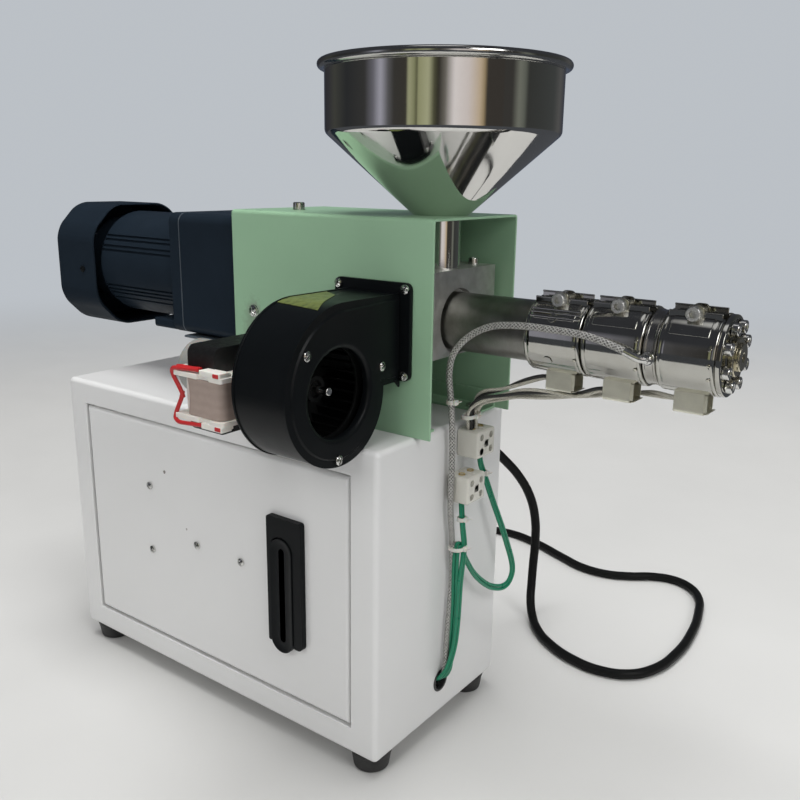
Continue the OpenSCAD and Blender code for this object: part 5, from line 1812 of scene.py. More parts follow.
@dataclass
class DriveCover:
    """The green sheet cover over the drive, with its foot angles and screws."""

    left: float = -3.0
    right: float = 160.0
    front: float = -34.0
    rear: float = 60.0
    low: float = 218.0
    high: float = 347.0
    sheet: float = 1.5
    corner: float = 2.5
    neck: tuple[float, float] = (132.5, 13.0)
    neck_hole: float = 26.0
    duct: tuple[float, float, float, float] = (97.0, 255.2, 138.0, 302.0)
    angle_right: float = 150.0
    angle_foot: float = 18.0
    angle_height: float = 12.0
    side_screw: tuple[float, float] = (16.0, 281.5)
    top_bolt: tuple[float, float] = (30.0, -4.0)

    def build(self) -> None:
        """Makes the cover."""
        self.sheet_cover()
        self.angles()
        self.screws()

    def sheet_cover(self) -> None:
        """Folds the cover and cuts its holes."""
        cover = Solid.block((self.left, self.front, self.low), (self.right, self.rear, self.high))
        top = self.high - LEVEL
        cover.round_off(self.corner, 6, lambda e: cover.runs_along(e) == 0 and all(v.co.z > top for v in e.verts))
        for axis, level in ((Axis.Z, self.low), (Axis.X, self.left), (Axis.X, self.right)):
            cover.drop(cover.faces_at(axis, level))
        cover.outward()
        cover.hole(Axis.Z, (*self.neck, self.high), self.neck_hole, cuts=9)
        x0, z0, x1, z1 = self.duct
        cover.window(Axis.Y, self.front, (x0, 0, z0), (x1, 0, z1))
        Piece("drive_cover_sheet", SAGE).add(cover).put(
            stands_for=["drive_cover"], slot="sage_enamel", wall=self.sheet, edge=0.35)

    def angles(self) -> None:
        """Bends the two foot angles inside the cover."""
        piece = Piece("cover_feet", SAGE, ZINC)
        t = self.sheet
        near, far = self.front + t, self.rear - t
        for wall, way in ((near, 1), (far, -1)):
            outline = [(wall, self.low), (wall + way * self.angle_foot, self.low),
                       (wall + way * self.angle_foot, self.low + t), (wall + way * t, self.low + t, 0.8),
                       (wall + way * t, self.low + self.angle_height), (wall, self.low + self.angle_height)]
            bent = Solid.plate(outline, self.angle_right - self.left, Axis.X, 3)
            piece.add(bent, 0, at(self.left, 0, 0))
            for k, x in enumerate((20.0, 75.0, 138.0)):
                piece.add(Hardware.pan_screw(7.0, 2.6), 1,
                          place(x, wall + way * 11, self.low + t, Facing.UP, 15 + 40 * k))
        piece.put(stands_for=["cover_angles"], slot="sage_enamel", edge=0.2)

    def screws(self) -> None:
        """Drives the side screws and the bolt on top."""
        piece = Piece("cover_bolts", ZINC)
        x, z = self.side_screw
        head, washer = Hardware.pan_screw(7.6, 2.7), Hardware.ring(5.0, 8.0, 0.6)
        for y, facing in ((self.front, Facing.FRONT), (self.rear, Facing.REAR)):
            piece.add(washer, 0, place(x, y, z, facing))
            piece.add(head, 0, place(x, y, z, facing, 28))
        x, y = self.top_bolt
        piece.add(Hardware.ring(5.0, 8.5, 0.8), 0, place(x, y, self.high, Facing.UP))
        piece.add(Hardware.socket_screw(7.8, 4.6, 28), 0, place(x, y, self.high + 0.4, Facing.UP, 12))
        piece.add(Hardware.rod(4.8, 8.0, 0.4, 20), 0, place(x, y, self.high - 8, Facing.UP))
        piece.put(stands_for=["cover_screws"], slot="bright_steel")


# ---- gearmotor ----


@dataclass
class Gearmotor(OnAxis):
    """The square gearbox, the motor's end shield, its ribbed body and the fan cover."""

    z: float = 299.5
    box_left: float = -62.0
    box_right: float = 1.0
    box_side: float = 86.0
    corner: float = 7.0
    shield_left: float = -73.0
    body_left: float = -162.0
    tail_left: float = -184.0
    body_diameter: float = 80.0
    ribbed_at: tuple[float, ...] = (25, 155, 212, 328)
    rib_steps: tuple[float, ...] = (-9, -3, 3, 9)
    groove_half: float = 1.25
    groove_depth: float = 1.5
    cup_left: float = -211.0
    cup_side: float = 92.0
    cup_cut: float = 21.0
    cup_wall: float = 2.0
    cup_drop: float = 4.0
    cup_screw_x: float = -177.0

    def build(self) -> None:
        """Makes the gearmotor."""
        self.gearbox()
        self.shield()
        self.body()
        self.cup()

    def square(self, left: float, right: float, side: float, corner: float) -> Solid:
        """Makes a square housing with rounded corners."""
        h = side / 2
        return Solid.panel((-h, -h), (h, h), corner, right - left, Axis.X, 8).move(self.on_axis(left))

    def gearbox(self) -> None:
        """Makes the square gearbox with its foot plate, whose lighter enamel is a painted highlight of its lit edge."""
        piece = Piece("gear_housing", MOTOR, MOTOR_EDGE_HIGHLIGHT)
        piece.add(self.square(self.box_left, self.box_right, self.box_side, self.corner))
        h = self.box_side / 2
        foot = Solid.block((self.box_left + 0.3, self.y - h - 0.4, self.z - h - 3),
                           (self.box_right, self.y + h - 3, self.z - h - 1.2), 0.8)
        # The foot plate takes the painted highlight.
        piece.add(foot, 1)
        piece.put(stands_for=["gearbox"], slot="motor_enamel", edge=0.5)

    def shield(self) -> None:
        """Makes the end shield, with a fine joint to the gearbox in lighter enamel as a painted highlight, and a lug
        below.
        """
        piece = Piece("end_shield", MOTOR, MOTOR_EDGE_HIGHLIGHT, ZINC)
        piece.add(self.square(self.shield_left, self.box_left - 0.9, self.box_side, self.corner))
        # The joint ring takes the painted highlight.
        piece.add(self.square(self.box_left - 0.9, self.box_left, self.box_side + 0.1, self.corner), 1)
        piece.add(self.square(self.shield_left - 2.5, self.shield_left, self.box_side - 7, 30.0))
        h = self.box_side / 2
        low, high = 1 - h, 8 - h
        lug = Solid.plate([(low, low, 2.5), (23 - h, low, 2.0), (23 - h, high), (low, high, 1.5)], 23.0)
        piece.add(lug, 0, self.on_axis(self.shield_left - 23))
        piece.add(Hardware.socket_screw(7.0, 4.0), 2, copies=[
            place(self.shield_left, self.y + sy * (h - 7), self.z + sz * (h - 7), Facing.LEFT, 20)
            for sy, sz in ((-1, 1), (1, -1), (1, 1))])
        piece.put(stands_for=["motor_flange"], slot="motor_enamel", edge=0.45)

    def body(self) -> None:
        """Makes the motor's body, ribbed along four quarters, and the end inside the fan cover."""
        piece = Piece("motor_case", MOTOR)
        ribbed = Solid()
        bm = ribbed.bm
        radius, bevel = self.body_diameter / 2, 0.8
        rim = ribbed.circle(radius - bevel, 144, ACROSS_X)
        rim = ribbed.draw(rim, shift=(bevel, 0, 0), grow=(1, radius / (radius - bevel), radius / (radius - bevel)))
        ribbed.draw(rim, shift=(self.shield_left - 1.0 - self.body_left - bevel, 0, 0))
        ribbed.mend()
        grooves = []
        for face in bm.faces:
            middle = face.calc_center_median()
            angle = math.degrees(math.atan2(middle.z, middle.y)) % 360
            offs = ((angle - quarter - step + 180) % 360 - 180 for quarter in self.ribbed_at for step in self.rib_steps)
            if middle.x >= 1.0 and any(abs(off) < self.groove_half for off in offs):
                grooves.append(face)
        points = points_in(bmesh.ops.extrude_face_region(bm, geom=grooves)["geom"])
        ribbed.drop_only(grooves)
        shrink = (radius - self.groove_depth) / radius
        bmesh.ops.scale(bm, vec=(1, shrink, shrink), verts=points)
        piece.add(ribbed.mend(), 0, self.on_axis(self.body_left))
        tail = Solid.turned([(0, 0), (0, 34), (1.5, 35.8), (22.2, 35.8), (22.2, 0)], 64)
        piece.add(tail, 0, self.on_axis(self.tail_left))
        hub = Solid.turned([(0, 0), (0, 12), (2, 14), (18, 16), (18, 0)], 40)
        piece.add(hub, 0, self.on_axis(self.tail_left - 17))
        blade = Solid.block((self.tail_left - 17, 10, -1.2), (self.tail_left - 3, 33, 1.2), 0.5)
        piece.add(blade, 0, copies=spokes(self.on_axis(0), 9))
        piece.put(stands_for=["motor_body"], slot="motor_enamel", edge=0.25)

    def cup(self) -> None:
        """Presses the fan cover, with its air slots, in one cup."""
        h, c, r = self.cup_side / 2, self.cup_cut, 9.0
        low = -h - self.cup_drop
        corners = [(c - h, low, r), (h - c, low, r), (h, c + low, r), (h, h - c, r), (h - c, h, r), (c - h, h, r),
                   (-h, h - c, r), (-h, c + low, r)]
        cup = Solid.plate(corners, self.body_left - self.cup_left, Axis.X, 7)
        cup.drop(cup.faces_at(Axis.X, self.body_left - self.cup_left))
        for k, half in enumerate((15, 19, 20, 19, 15), -2):
            cup.window(Axis.X, 0.0, (0, -half, 9 * k - 2), (0, half, 9 * k + 2))
        edge = [e for e in cup.bm.edges if not e.is_boundary and all(abs(v.co.x) < 1e-4 for v in e.verts)
                and any(abs(f.normal.x) < 0.5 for f in e.link_faces)]
        bmesh.ops.bevel(cup.bm, geom=edge, offset=3.0, offset_type="OFFSET", segments=4, profile=0.5,
                        affect="EDGES", material=-1, clamp_overlap=True)
        Piece("fan_cup", MOTOR).add(cup.outward().move(self.on_axis(self.cup_left))).put(
            stands_for=["fan_cover"], slot="motor_enamel", wall=self.cup_wall)
        x = self.cup_screw_x
        Piece("fan_cup_screws", ZINC_BLACK).add(Hardware.pan_screw(5.0, 1.8), copies=[
            place(x, self.y - h, self.z - 4.5, Facing.FRONT, 30),
            place(x, self.y + h, self.z + 4.5, Facing.REAR, 10)]).put(slot="motor_enamel")


# ---- feed section ----


@dataclass
class FeedSection(OnAxis):
    """The bearing housing, the feed block, the barrel and the feed screw in it."""

    housing: tuple[float, float] = (1.0, 25.0)
    housing_side: float = 91.0
    housing_low: float = 245.0
    housing_high: float = 323.0
    tube_diameter: float = 40.0
    block: tuple[float, float] = (100.0, 148.0)
    block_side: float = 84.0
    block_low: float = 262.0
    block_high: float = 315.0
    relief_diameter: float = 41.0
    relief_depth: float = 5.0
    hopper_x: float = 132.5
    neck_diameter: float = 25.6
    neck_depth: float = 8.0
    throat: float = 16.0
    barrel: tuple[float, float] = (112.0, 312.0)
    barrel_diameter: float = 36.0
    bore: float = 20.0
    shoulder: tuple[float, float] = (274.3, 281.7)
    shoulder_diameter: float = 41.5
    screw_diameter: float = 19.4
    root_diameter: float = 13.0
    screw_end: float = 306.0
    pitch: float = 19.0

    def build(self) -> None:
        """Makes the feed section."""
        self.bearing_housing()
        self.feed_block()
        self.barrel_tube()
        self.feed_screw()

    def bearing_housing(self) -> None:
        """Makes the bearing plate behind the gearbox and the tube to the feed block."""
        piece = Piece("bearing_housing", MILLED, ZINC)
        x0, x1 = self.housing
        h = self.housing_side / 2
        plate = Solid.block((x0, self.y - h, self.housing_low), (x1, self.y + h, self.housing_high), 1.0, 2)
        piece.add(plate)
        r = self.tube_diameter / 2
        length = self.block[0] - x1
        tube = [(0, 12), (0, 27), (5, 27), (6, 26), (6, r), (length - 7, r), (length - 7, 24), (length - 6, 25),
                (length, 25), (length, 12)]
        piece.add(Solid.turned(tube, 64), 0, self.on_axis(x1))
        piece.add(Hardware.socket_screw(8.0, 5.0), 1, copies=[
            place(x1, self.y + sy * 36, self.z + sz * 29, roll=17) for sy in (-1, 1) for sz in (-1, 1)])
        piece.put(stands_for=["drive_housing"], slot="raw_steel", edge=0.3)

    def feed_block(self) -> None:
        """Mills the feed block: its throat above and the barrel's seat in its end."""
        piece = Piece("feed_block_milled", MILLED, ZINC)
        x0, x1 = self.block
        h = self.block_side / 2
        made = Solid.block((x0, self.y - h, self.block_low), (x1, self.y + h, self.block_high))
        seat = made.hole(Axis.X, (x1, self.y, self.z), self.relief_diameter, cuts=9, margin=1.02)
        floor = made.draw(seat, shift=(-self.relief_depth, 0, 0))
        shrink = (self.barrel_diameter - 0.4) / self.relief_diameter
        made.close(made.draw(floor, centre=(0, self.y, self.z), grow=(1, shrink, shrink)))
        neck = made.hole(Axis.Z, (self.hopper_x, self.y, self.block_high), self.neck_diameter, cuts=7, margin=1.06)
        ledge = made.draw(neck, shift=(0, 0, -self.neck_depth))
        narrow = self.throat / self.neck_diameter
        throat = made.draw(ledge, centre=(self.hopper_x, self.y, 0), grow=(narrow, narrow, 1))
        made.draw(throat, shift=(0, 0, -(self.block_high - self.neck_depth - self.z - self.barrel_diameter / 2) - 3))
        piece.add(made.mend())
        piece.add(Hardware.socket_screw(7.0, 4.0), 1, copies=[
            place(x1 - 12 + 0.3, self.y + s * (h - 8), self.block_high, Facing.UP, 10) for s in (-1, 1)])
        piece.put(stands_for=["feed_block"], slot="raw_steel", edge=0.5)

    def barrel_tube(self) -> None:
        """Turns the barrel, with the shoulder between its heaters and the throat cut in its top."""
        piece = Piece("barrel_turned", BARREL, COLLAR)
        x0, x1 = self.barrel
        r, b = self.barrel_diameter / 2, self.bore / 2
        s0, s1 = self.shoulder
        t0, t1 = self.hopper_x - self.throat / 2, self.hopper_x + self.throat / 2
        rs = self.shoulder_diameter / 2
        axis = self.on_axis(0)
        half = math.degrees(math.asin(self.throat / self.barrel_diameter))
        piece.add(Solid.turned([(x0, b), (x0, r - 0.6), (x0 + 0.6, r), (t0, r), (t0, b)], 80), 0, axis)
        piece.add(Solid.turned([(t0, b), (t0, r), (t1, r), (t1, b)], 60, half, 360 - 2 * half), 0, axis)
        piece.add(Solid.turned([(t1, b), (t1, r), (x1 - 0.5, r), (x1, r - 0.5), (x1, b)], 80), 0, axis)
        piece.add(Solid.turned([(s0, r - 0.5), (s0, rs - 0.6), (s0 + 0.5, rs), (s0 + 1.4, rs), (s0 + 1.8, rs - 0.5),
                                (s1 - 1.8, rs - 0.5), (s1 - 1.4, rs), (s1 - 0.5, rs), (s1, rs - 0.6), (s1, r - 0.5)],
                               96), 1, axis)
        piece.put(stands_for=["barrel"], slot="barrel_steel", edge=0.15)

    def feed_screw(self) -> None:
        """Winds the screw's flight round its root."""
        piece = Piece("feed_screw_turned", ZINC)
        x0, end = self.barrel[0] + 0.4, self.screw_end
        root, top = self.root_diameter / 2, self.screw_diameter / 2
        body = [(self.block[0], 0), (self.block[0], 6.0), (x0, 6.0), (x0, top), (x0 + 4, top), (x0 + 5.5, root),
                (end - 9, root), (end, 1.5), (end, 0)]
        piece.add(Solid.turned(body), where=self.on_axis(0))
        flight = Solid()
        bm = flight.bm
        verts = [bm.verts.new(c) for c in ((x0 + 3, 0, root - 1), (x0 + 3.6, 0, top), (x0 + 5.6, 0, top),
                                           (x0 + 6.4, 0, root - 1))]
        face = bm.faces.new(verts)
        turns = (end - 12 - x0) / self.pitch
        steps = round(turns * 28)
        bmesh.ops.spin(bm, geom=[face, *face.edges, *verts], cent=(0, 0, 0), axis=(1, 0, 0),
                       dvec=(self.pitch * turns / steps, 0, 0), angle=math.tau * turns, steps=steps,
                       use_duplicate=False)
        piece.add(flight.mend(), where=self.on_axis(0))
        piece.put(stands_for=["feed_screw"], slot="bright_steel")


@dataclass
class Hopper:
    """The mirror-polished hopper: rolled rim, cylinder, cone and neck."""

    x: float = 132.5
    y: float = 13.0
    foot: float = 347.0
    foot_radius: float = 17.0
    shoulder: float = 394.3
    bowl_radius: float = 70.75
    top: float = 435.0
    rim_radius: float = 75.0
    sheet: float = 1.0
    neck_radius: float = 12.7
    neck_low: float = 307.0
    steps: int = 144

    def build(self) -> None:
        """Makes the hopper."""
        self.bowl()
        self.neck()

    @staticmethod
    def arc(centre: tuple[float, float], radius: float, start: float, end: float, steps: int) -> list:
        """Lists points on an arc.

        Args:
            centre: Its centre, as (height, radius).
            radius: Its own radius.
            start: Its first angle, from the height's direction, in degrees.
            end: Its last angle.
            steps: Steps between them.

        Returns:
            The points, as (height, radius).
        """
        spots = [math.radians(start + (end - start) * k / steps) for k in range(steps + 1)]
        return [(centre[0] + radius * math.cos(a), centre[1] + radius * math.sin(a)) for a in spots]

    def bowl(self) -> None:
        """Spins the bowl and cone, and rolls the rim, which takes a rougher steel, darkened as painted shade."""
        piece = Piece("hopper_bowl", MIRROR, SHADED_RIM_STEEL)
        slope = math.degrees(math.atan2(self.bowl_radius - self.foot_radius, self.shoulder - self.foot))
        fold = 5.0
        reach = fold * math.tan(math.radians(slope / 2))
        centre = (self.shoulder + reach, self.bowl_radius - fold)
        outer = [(self.foot, self.foot_radius)]
        outer += self.arc(centre, fold, 90 + slope, 90, 7)
        roll = (self.rim_radius - self.bowl_radius) / 2 + 0.5
        rim = (self.top - roll, self.rim_radius - roll)
        outer += [(self.top - 2 * roll - 0.6, self.bowl_radius), (self.top - 2 * roll, self.bowl_radius - 0.2)]
        inner = [(self.top - 2 * roll, self.bowl_radius - self.sheet)]
        inner += self.arc(centre, fold - self.sheet, 90, 90 + slope, 7)
        inner += [(self.foot + 0.9, self.foot_radius - 1.2), (self.foot + 0.9, self.neck_radius - self.sheet),
                  (self.foot, self.neck_radius - self.sheet)]
        upright = place(self.x, self.y, 0, Facing.UP)
        piece.add(Solid.turned([*outer, *inner], self.steps), where=upright)
        bead = self.arc(rim, roll, 222, -42, 18) + [(self.top - 1.2, self.bowl_radius - 0.6),
                                                    (self.top - 2 * roll - 0.4, self.bowl_radius - 0.6)]
        # The rim's darker steel is painted shade.
        piece.add(Solid.turned(bead, self.steps), 1, upright)
        piece.put(stands_for=["hopper"], slot="mirror_steel", sharp=50)

    def neck(self) -> None:
        """Welds the neck under the cone."""
        piece = Piece("hopper_neck_tube", MIRROR)
        outer, inner = self.neck_radius, self.neck_radius - self.sheet
        tube = Solid.turned([(self.neck_low, inner), (self.neck_low, outer - 0.3), (self.neck_low + 0.3, outer),
                             (self.foot - 2.2, outer), (self.foot - 1.0, outer + 0.7), (self.foot, outer + 1.9),
                             (self.foot, inner)], 72)
        piece.add(tube, where=place(self.x, self.y, 0, Facing.UP))
        piece.put(stands_for=["hopper_neck"], slot="mirror_steel", sharp=50)


# ---- heaters and die ----


@dataclass
class HeaterBands(OnAxis):
    """Three chrome band heaters with their clamps, tabs and terminal boxes."""

    starts: tuple[float, ...] = (205.0, 240.0, 282.0)
    widths: tuple[float, ...] = (34.0, 34.0, 30.0)
    radius: float = 22.0
    bore: float = 18.1
    split_y: float = 7.0
    split: float = 7.0
    clamp_z: float = 304.5
    ear_top: float = 309.0
    ear_length: float = 12.0
    ear_thick: float = 1.5
    box_side: float = 16.0
    box_low: float = 251.0
    box_sheet: float = 0.7

    def build(self) -> None:
        """Makes the heaters."""
        for k, (x, wide) in enumerate(zip(self.starts, self.widths)):
            self.band(k, x, wide)
        self.clamps()
        self.boxes()

    def on_band(self, x: float, angle: float) -> Matrix:
        """Gives a place on a band's skin; the angle runs from +Z towards the front."""
        return self.on_axis(x) @ tilt(angle) @ at(0, 0, self.radius)

    def band(self, k: int, x: float, wide: float) -> None:
        """Rolls one heater with its cover strap, ears and tabs.

        Args:
            k: The heater's number, from 0 at the feed block.
            x: Where it starts.
            wide: Its width.
        """
        piece = Piece(f"heater_{k + 1}", CHROME, FOLDED)
        near = self.y - self.split_y - self.split / 2
        far = self.y - self.split_y + self.split / 2
        start = math.degrees(math.asin(far / self.radius))
        end = math.degrees(math.asin(near / self.radius))
        r, b = self.radius, self.bore
        side = [(0, b), (0, r - 1.3), (0.15, r - 0.7), (0.6, r - 0.2), (1.3, r - 0.05), (2.2, r - 0.35), (2.9, r - 0.1),
                (4.0, r)]
        outline = side + [(wide - a, c) for a, c in reversed(side)]
        ring = Solid.turned(outline, 110, start, 360 - (start - end))
        piece.add(ring, 0, self.on_axis(x))
        strap = Solid.turned([(4.6, r - 0.2), (4.8, r + 0.35), (wide - 4.8, r + 0.35), (wide - 4.6, r - 0.2)], 26,
                             start, 34.0)
        piece.add(strap, 0, self.on_axis(x))
        for side, lean in ((-1, 4.0), (1, -4.0)):
            face_y = self.split_y + side * (self.split / 2 + self.ear_thick / 2)
            foot_z = self.z + math.sqrt(self.radius ** 2 - (face_y - self.y) ** 2) - 2.0
            mid = x + wide / 2
            half, top = self.ear_length / 2 - 1.6, self.ear_top - 0.2
            ear = Solid.plate([(-half, foot_z), (half, foot_z), (half, top, 3.0), (-half, top, 3.0)], self.ear_thick,
                              Axis.Y, 5)
            piece.add(ear, 1, at(mid, face_y - self.ear_thick / 2, 0))
            reach = wide / 2 - 1.2
            long_tab = Solid.block((-reach, -0.35, 0), (reach, 0.35, 4.3), 0.3, 2)
            piece.add(long_tab, 0, at(mid, face_y - side * 0.2, foot_z + 0.2)
                      @ tilt(lean))
            lip = Solid.turned([(-reach, 0.0), (-reach, 0.55), (reach, 0.55), (reach, 0.0)], 12)
            piece.add(lip, 0, at(mid, face_y - side * 0.2, foot_z + 4.4))
        if k == 0:
            for angle in (43.0, 49.0, 56.0):
                rib = Solid.turned([(2.0, 0), (2.2, 0.75), (wide - 2.2, 0.75), (wide - 2.0, 0)], 12)
                piece.add(rib, 0, self.on_band(x, angle) @ at(0, 0, -0.15))
            tab = Solid.plate([(-2.6, -3.0), (2.6, -3.0), (2.6, 1.2, 2.5), (-2.6, 1.2, 2.5)], 0.5, Axis.Z, 5)
            piece.add(tab, 0, self.on_band(219.5, 119.5) @ at(0, 0, 0.1))
            lug = Solid.turned([(0, 1.9), (0, 2.8), (0.5, 2.8), (0.5, 1.9)], 24)
            piece.add(lug, 0, self.on_band(221.0, 57.0) @ tilt(-90, "Y"))
        for off in (-3.0, 0.0, 3.0):
            rivet = Solid.turned([(0, 1.1), (0.25, 1.0), (0.45, 0.6), (0.5, 0)], 12)
            piece.add(rivet, 1, self.on_band(x + wide - 2.9, 96 + 7 * off) @ tilt(-90, "Y"))
        piece.put(stands_for=[f"heater_band_{k + 1}"], slot="band_chrome", edge=0.12)

    def clamps(self) -> None:
        """Draws the clamp screws through the ears."""
        piece = Piece("band_clamps", CLAMP)
        front = self.split_y - self.split / 2 - self.ear_thick
        back = self.split_y + self.split / 2 + self.ear_thick
        for k, (x, wide) in enumerate(zip(self.starts, self.widths)):
            mid = x + wide / 2
            for solid, y, facing, roll in (
                    (Hardware.socket_screw(8.0, 4.6, 26), front, Facing.FRONT, 14 + 19 * k),
                    (Hardware.ring(4.0, 7.6, 0.5), front, Facing.FRONT, 0),
                    (Hardware.rod(3.8, back - front + 3, 0.4, 20), front, Facing.REAR, 0),
                    (Hardware.nut(6.6, 2.4, 3.7), back, Facing.REAR, 9 * k)):
                piece.add(solid, 0, place(mid, y, self.clamp_z, facing, roll))
        piece.put(stands_for=["clamp_screws"], slot="bright_steel", edge=0.12)

    def boxes(self) -> None:
        """Folds the terminal boxes, with their studs and lead bushes."""
        piece = Piece("terminal_boxes", BOX_SHEET, PORCELAIN, BRASS)
        h = self.box_side / 2
        for x, wide in zip(self.starts, self.widths):
            mid, t = x + wide / 2, self.box_sheet
            outline = [(-h, 11.8), (-h, 0, 1.6), (h, 0, 1.6), (h, 11.8), (h - t, 11.8), (h - t, t, 1.0),
                       (-h + t, t, 1.0), (-h + t, 11.8)]
            trough = Solid.plate(outline, self.box_side, Axis.X, 4)
            piece.add(trough, 0, at(mid - h, self.y, self.box_low))
            lip = Solid.block((0, -h + 1.5, 0), (2.6, h - 1.5, 0.6), 0.25, 2)
            piece.add(lip, 0, at(mid + h - 0.4, self.y, self.box_low + 0.1)
                      @ tilt(-14, "Y"))
            cheek = Solid.block((0, 0, 0), (2.2, 0.6, 9.5), 0.25, 2)
            piece.add(cheek, 0, at(mid + h - 0.4, self.y - h + 0.05, self.box_low + 1.6)
                      @ tilt(14, "Z"))
            for dy in (-3.4, 3.4):
                piece.add(Hardware.rod(3.2, 5.4, 0.3, 20), 2, place(mid + 1.5, self.y + dy, 263.5, Facing.DOWN))
                piece.add(Hardware.nut(5.0, 1.8, 2.8), 2, place(mid + 1.5, self.y + dy, 260.6, Facing.DOWN, 13))
            bush = Solid.turned([(0, 1.6), (0, 2.9), (0.4, 3.2), (5.6, 3.2), (6, 2.9), (6, 1.6)], 28)
            piece.add(bush, 1, place(mid - h - 0.8, self.y + 0.5, 256.6))
        piece.put(stands_for=["heater_boxes"], slot="box_steel", edge=0.12)


@dataclass
class Die(OnAxis):
    """The die: a flange ring with its screws, and the stepped nose."""

    x: float = 312.0
    radius: float = 21.5
    thick: float = 3.0
    nose_radius: float = 10.5
    tip_radius: float = 7.5
    nose_length: float = 5.0
    strand: float = 3.0
    circle_radius: float = 16.0
    screws: int = 8
    head_diameter: float = 7.0
    head_height: float = 3.5

    def build(self) -> None:
        """Makes the die."""
        where = self.on_axis(self.x)
        r = self.radius
        flange = Solid.turned([(0, 8.6), (0, r - 0.5), (0.5, r), (2.3, r), (2.6, r - 0.1), (3.0, r - 0.7),
                               (3.0, r - 2.0), (2.6, r - 2.4), (2.6, 11.6), (3.0, 11.2), (3.0, 8.6)], 96)
        Piece("die_ring", CHROME).add(flange, where=where).put(stands_for=["die_flange"], slot="band_chrome", edge=0.12)
        n, tip, s = self.nose_radius, self.tip_radius, self.strand / 2
        end = self.thick + self.nose_length
        nose = Solid.turned([(0, s), (0, 8.4), (self.thick, 8.4), (self.thick, n - 0.4), (self.thick + 0.4, n),
                             (end - 2.6, n), (end - 2.0, n - 0.6), (end - 2.0, tip), (end - 0.5, tip), (end, tip - 0.5),
                             (end, s + 1.4), (end - 0.9, s + 0.3), (end - 0.9, s)], 72)
        Piece("die_tip", DIE_STEEL).add(nose, where=where).put(stands_for=["die_nose"], slot="box_steel", edge=0.12)
        piece = Piece("die_bolts", ZINC)
        head = Hardware.socket_screw(self.head_diameter, self.head_height, 24)
        for k in range(self.screws):
            piece.add(head, 0, self.round_axis(self.x + self.thick, self.circle_radius,
                                               math.tau * (k + 0.5) / self.screws, 21 * k))
        piece.put(stands_for=["die_screws"], slot="bright_steel", edge=0.1)


# ---- sensor, terminals and wires ----


def twisted(points: Sequence[Point], count: int, apart: float, every: float, parts: int = 3) -> list[list[Vector]]:
    """Lays strands round a route, as a twisted bundle.

    Args:
        points: The route.
        count: How many strands.
        apart: Distance of a strand from the route.
        every: Length of one full turn, in millimetres.
        parts: Steps between two points.

    Returns:
        One line of points for each strand.
    """
    line = along(points, parts)
    strands: list[list[Vector]] = [[] for _ in range(count)]
    side = Vector((0, 1, 0))
    gone = 0.0
    for i, spot in enumerate(line):
        way = (line[min(i + 1, len(line) - 1)] - line[max(i - 1, 0)]).normalized()
        side = (side - way * side.dot(way)).normalized()
        other = way.cross(side)
        gone += (spot - line[i - 1]).length if i else 0.0
        for k, strand in enumerate(strands):
            angle = math.tau * (k / count + gone / every)
            strand.append(spot + (side * math.cos(angle) + other * math.sin(angle)) * apart)
    return strands


@dataclass
class Thermocouple:
    """The ring terminal on the barrel and its braided sheath, down to the hole in the cabinet's end."""

    ring: Point = (278.0, -7.75, 280.0)
    diameter: float = 4.0
    route: tuple[Point, ...] = (
        (274, -11.2, 280), (262, -13, 285), (246, -14, 289), (228, -14, 290), (206, -14, 290), (186, -12, 287),
        (170, -10, 279), (160, -10, 268), (157, -10, 255), (156.5, -7, 240), (156, -4, 224), (155.5, -1.9, 208),
        (155.4, -1.7, 190), (155.4, -1.7, 164), (154.6, 2.5, 140), (154.3, 4, 112), (153.8, 2, 82), (153.8, 0.5, 63),
        (154, 0, 52), (153, 0, 45.4), (150.2, 0, 40.6), (146, 0, 38.8), (139, 0, 38.4))

    def build(self) -> None:
        """Makes the sensor and its sheath."""
        piece = Piece("thermocouple_ring", ZINC)
        x, y, z = self.ring
        eye = Solid.turned([(0, 2.2), (0, 3.5), (0.25, 3.7), (1.1, 3.7), (1.35, 3.5), (1.35, 2.2)], 36)
        piece.add(eye, 0, place(x, y, z, Facing.FRONT))
        piece.add(Hardware.pan_screw(5.6, 2.5), 0, place(x, y - 1.35, z, Facing.FRONT, 30))
        crimp = along([(276.6, -9.6, 280.0), (274.5, -10.9, 280.1), (270.5, -11.9, 281.6), (266.5, -12.5, 283.4)], 3)
        piece.add(Solid.swept(crimp, 4.5, 16))
        piece.put(stands_for=["thermocouple"], slot="bright_steel", edge=0.12)
        sheath = Piece("thermocouple_sheath", SHEATH)
        sheath.add(Solid.swept(along(self.route, 6), self.diameter, 14))
        sheath.put(stands_for=["thermocouple_lead"], slot="braid")


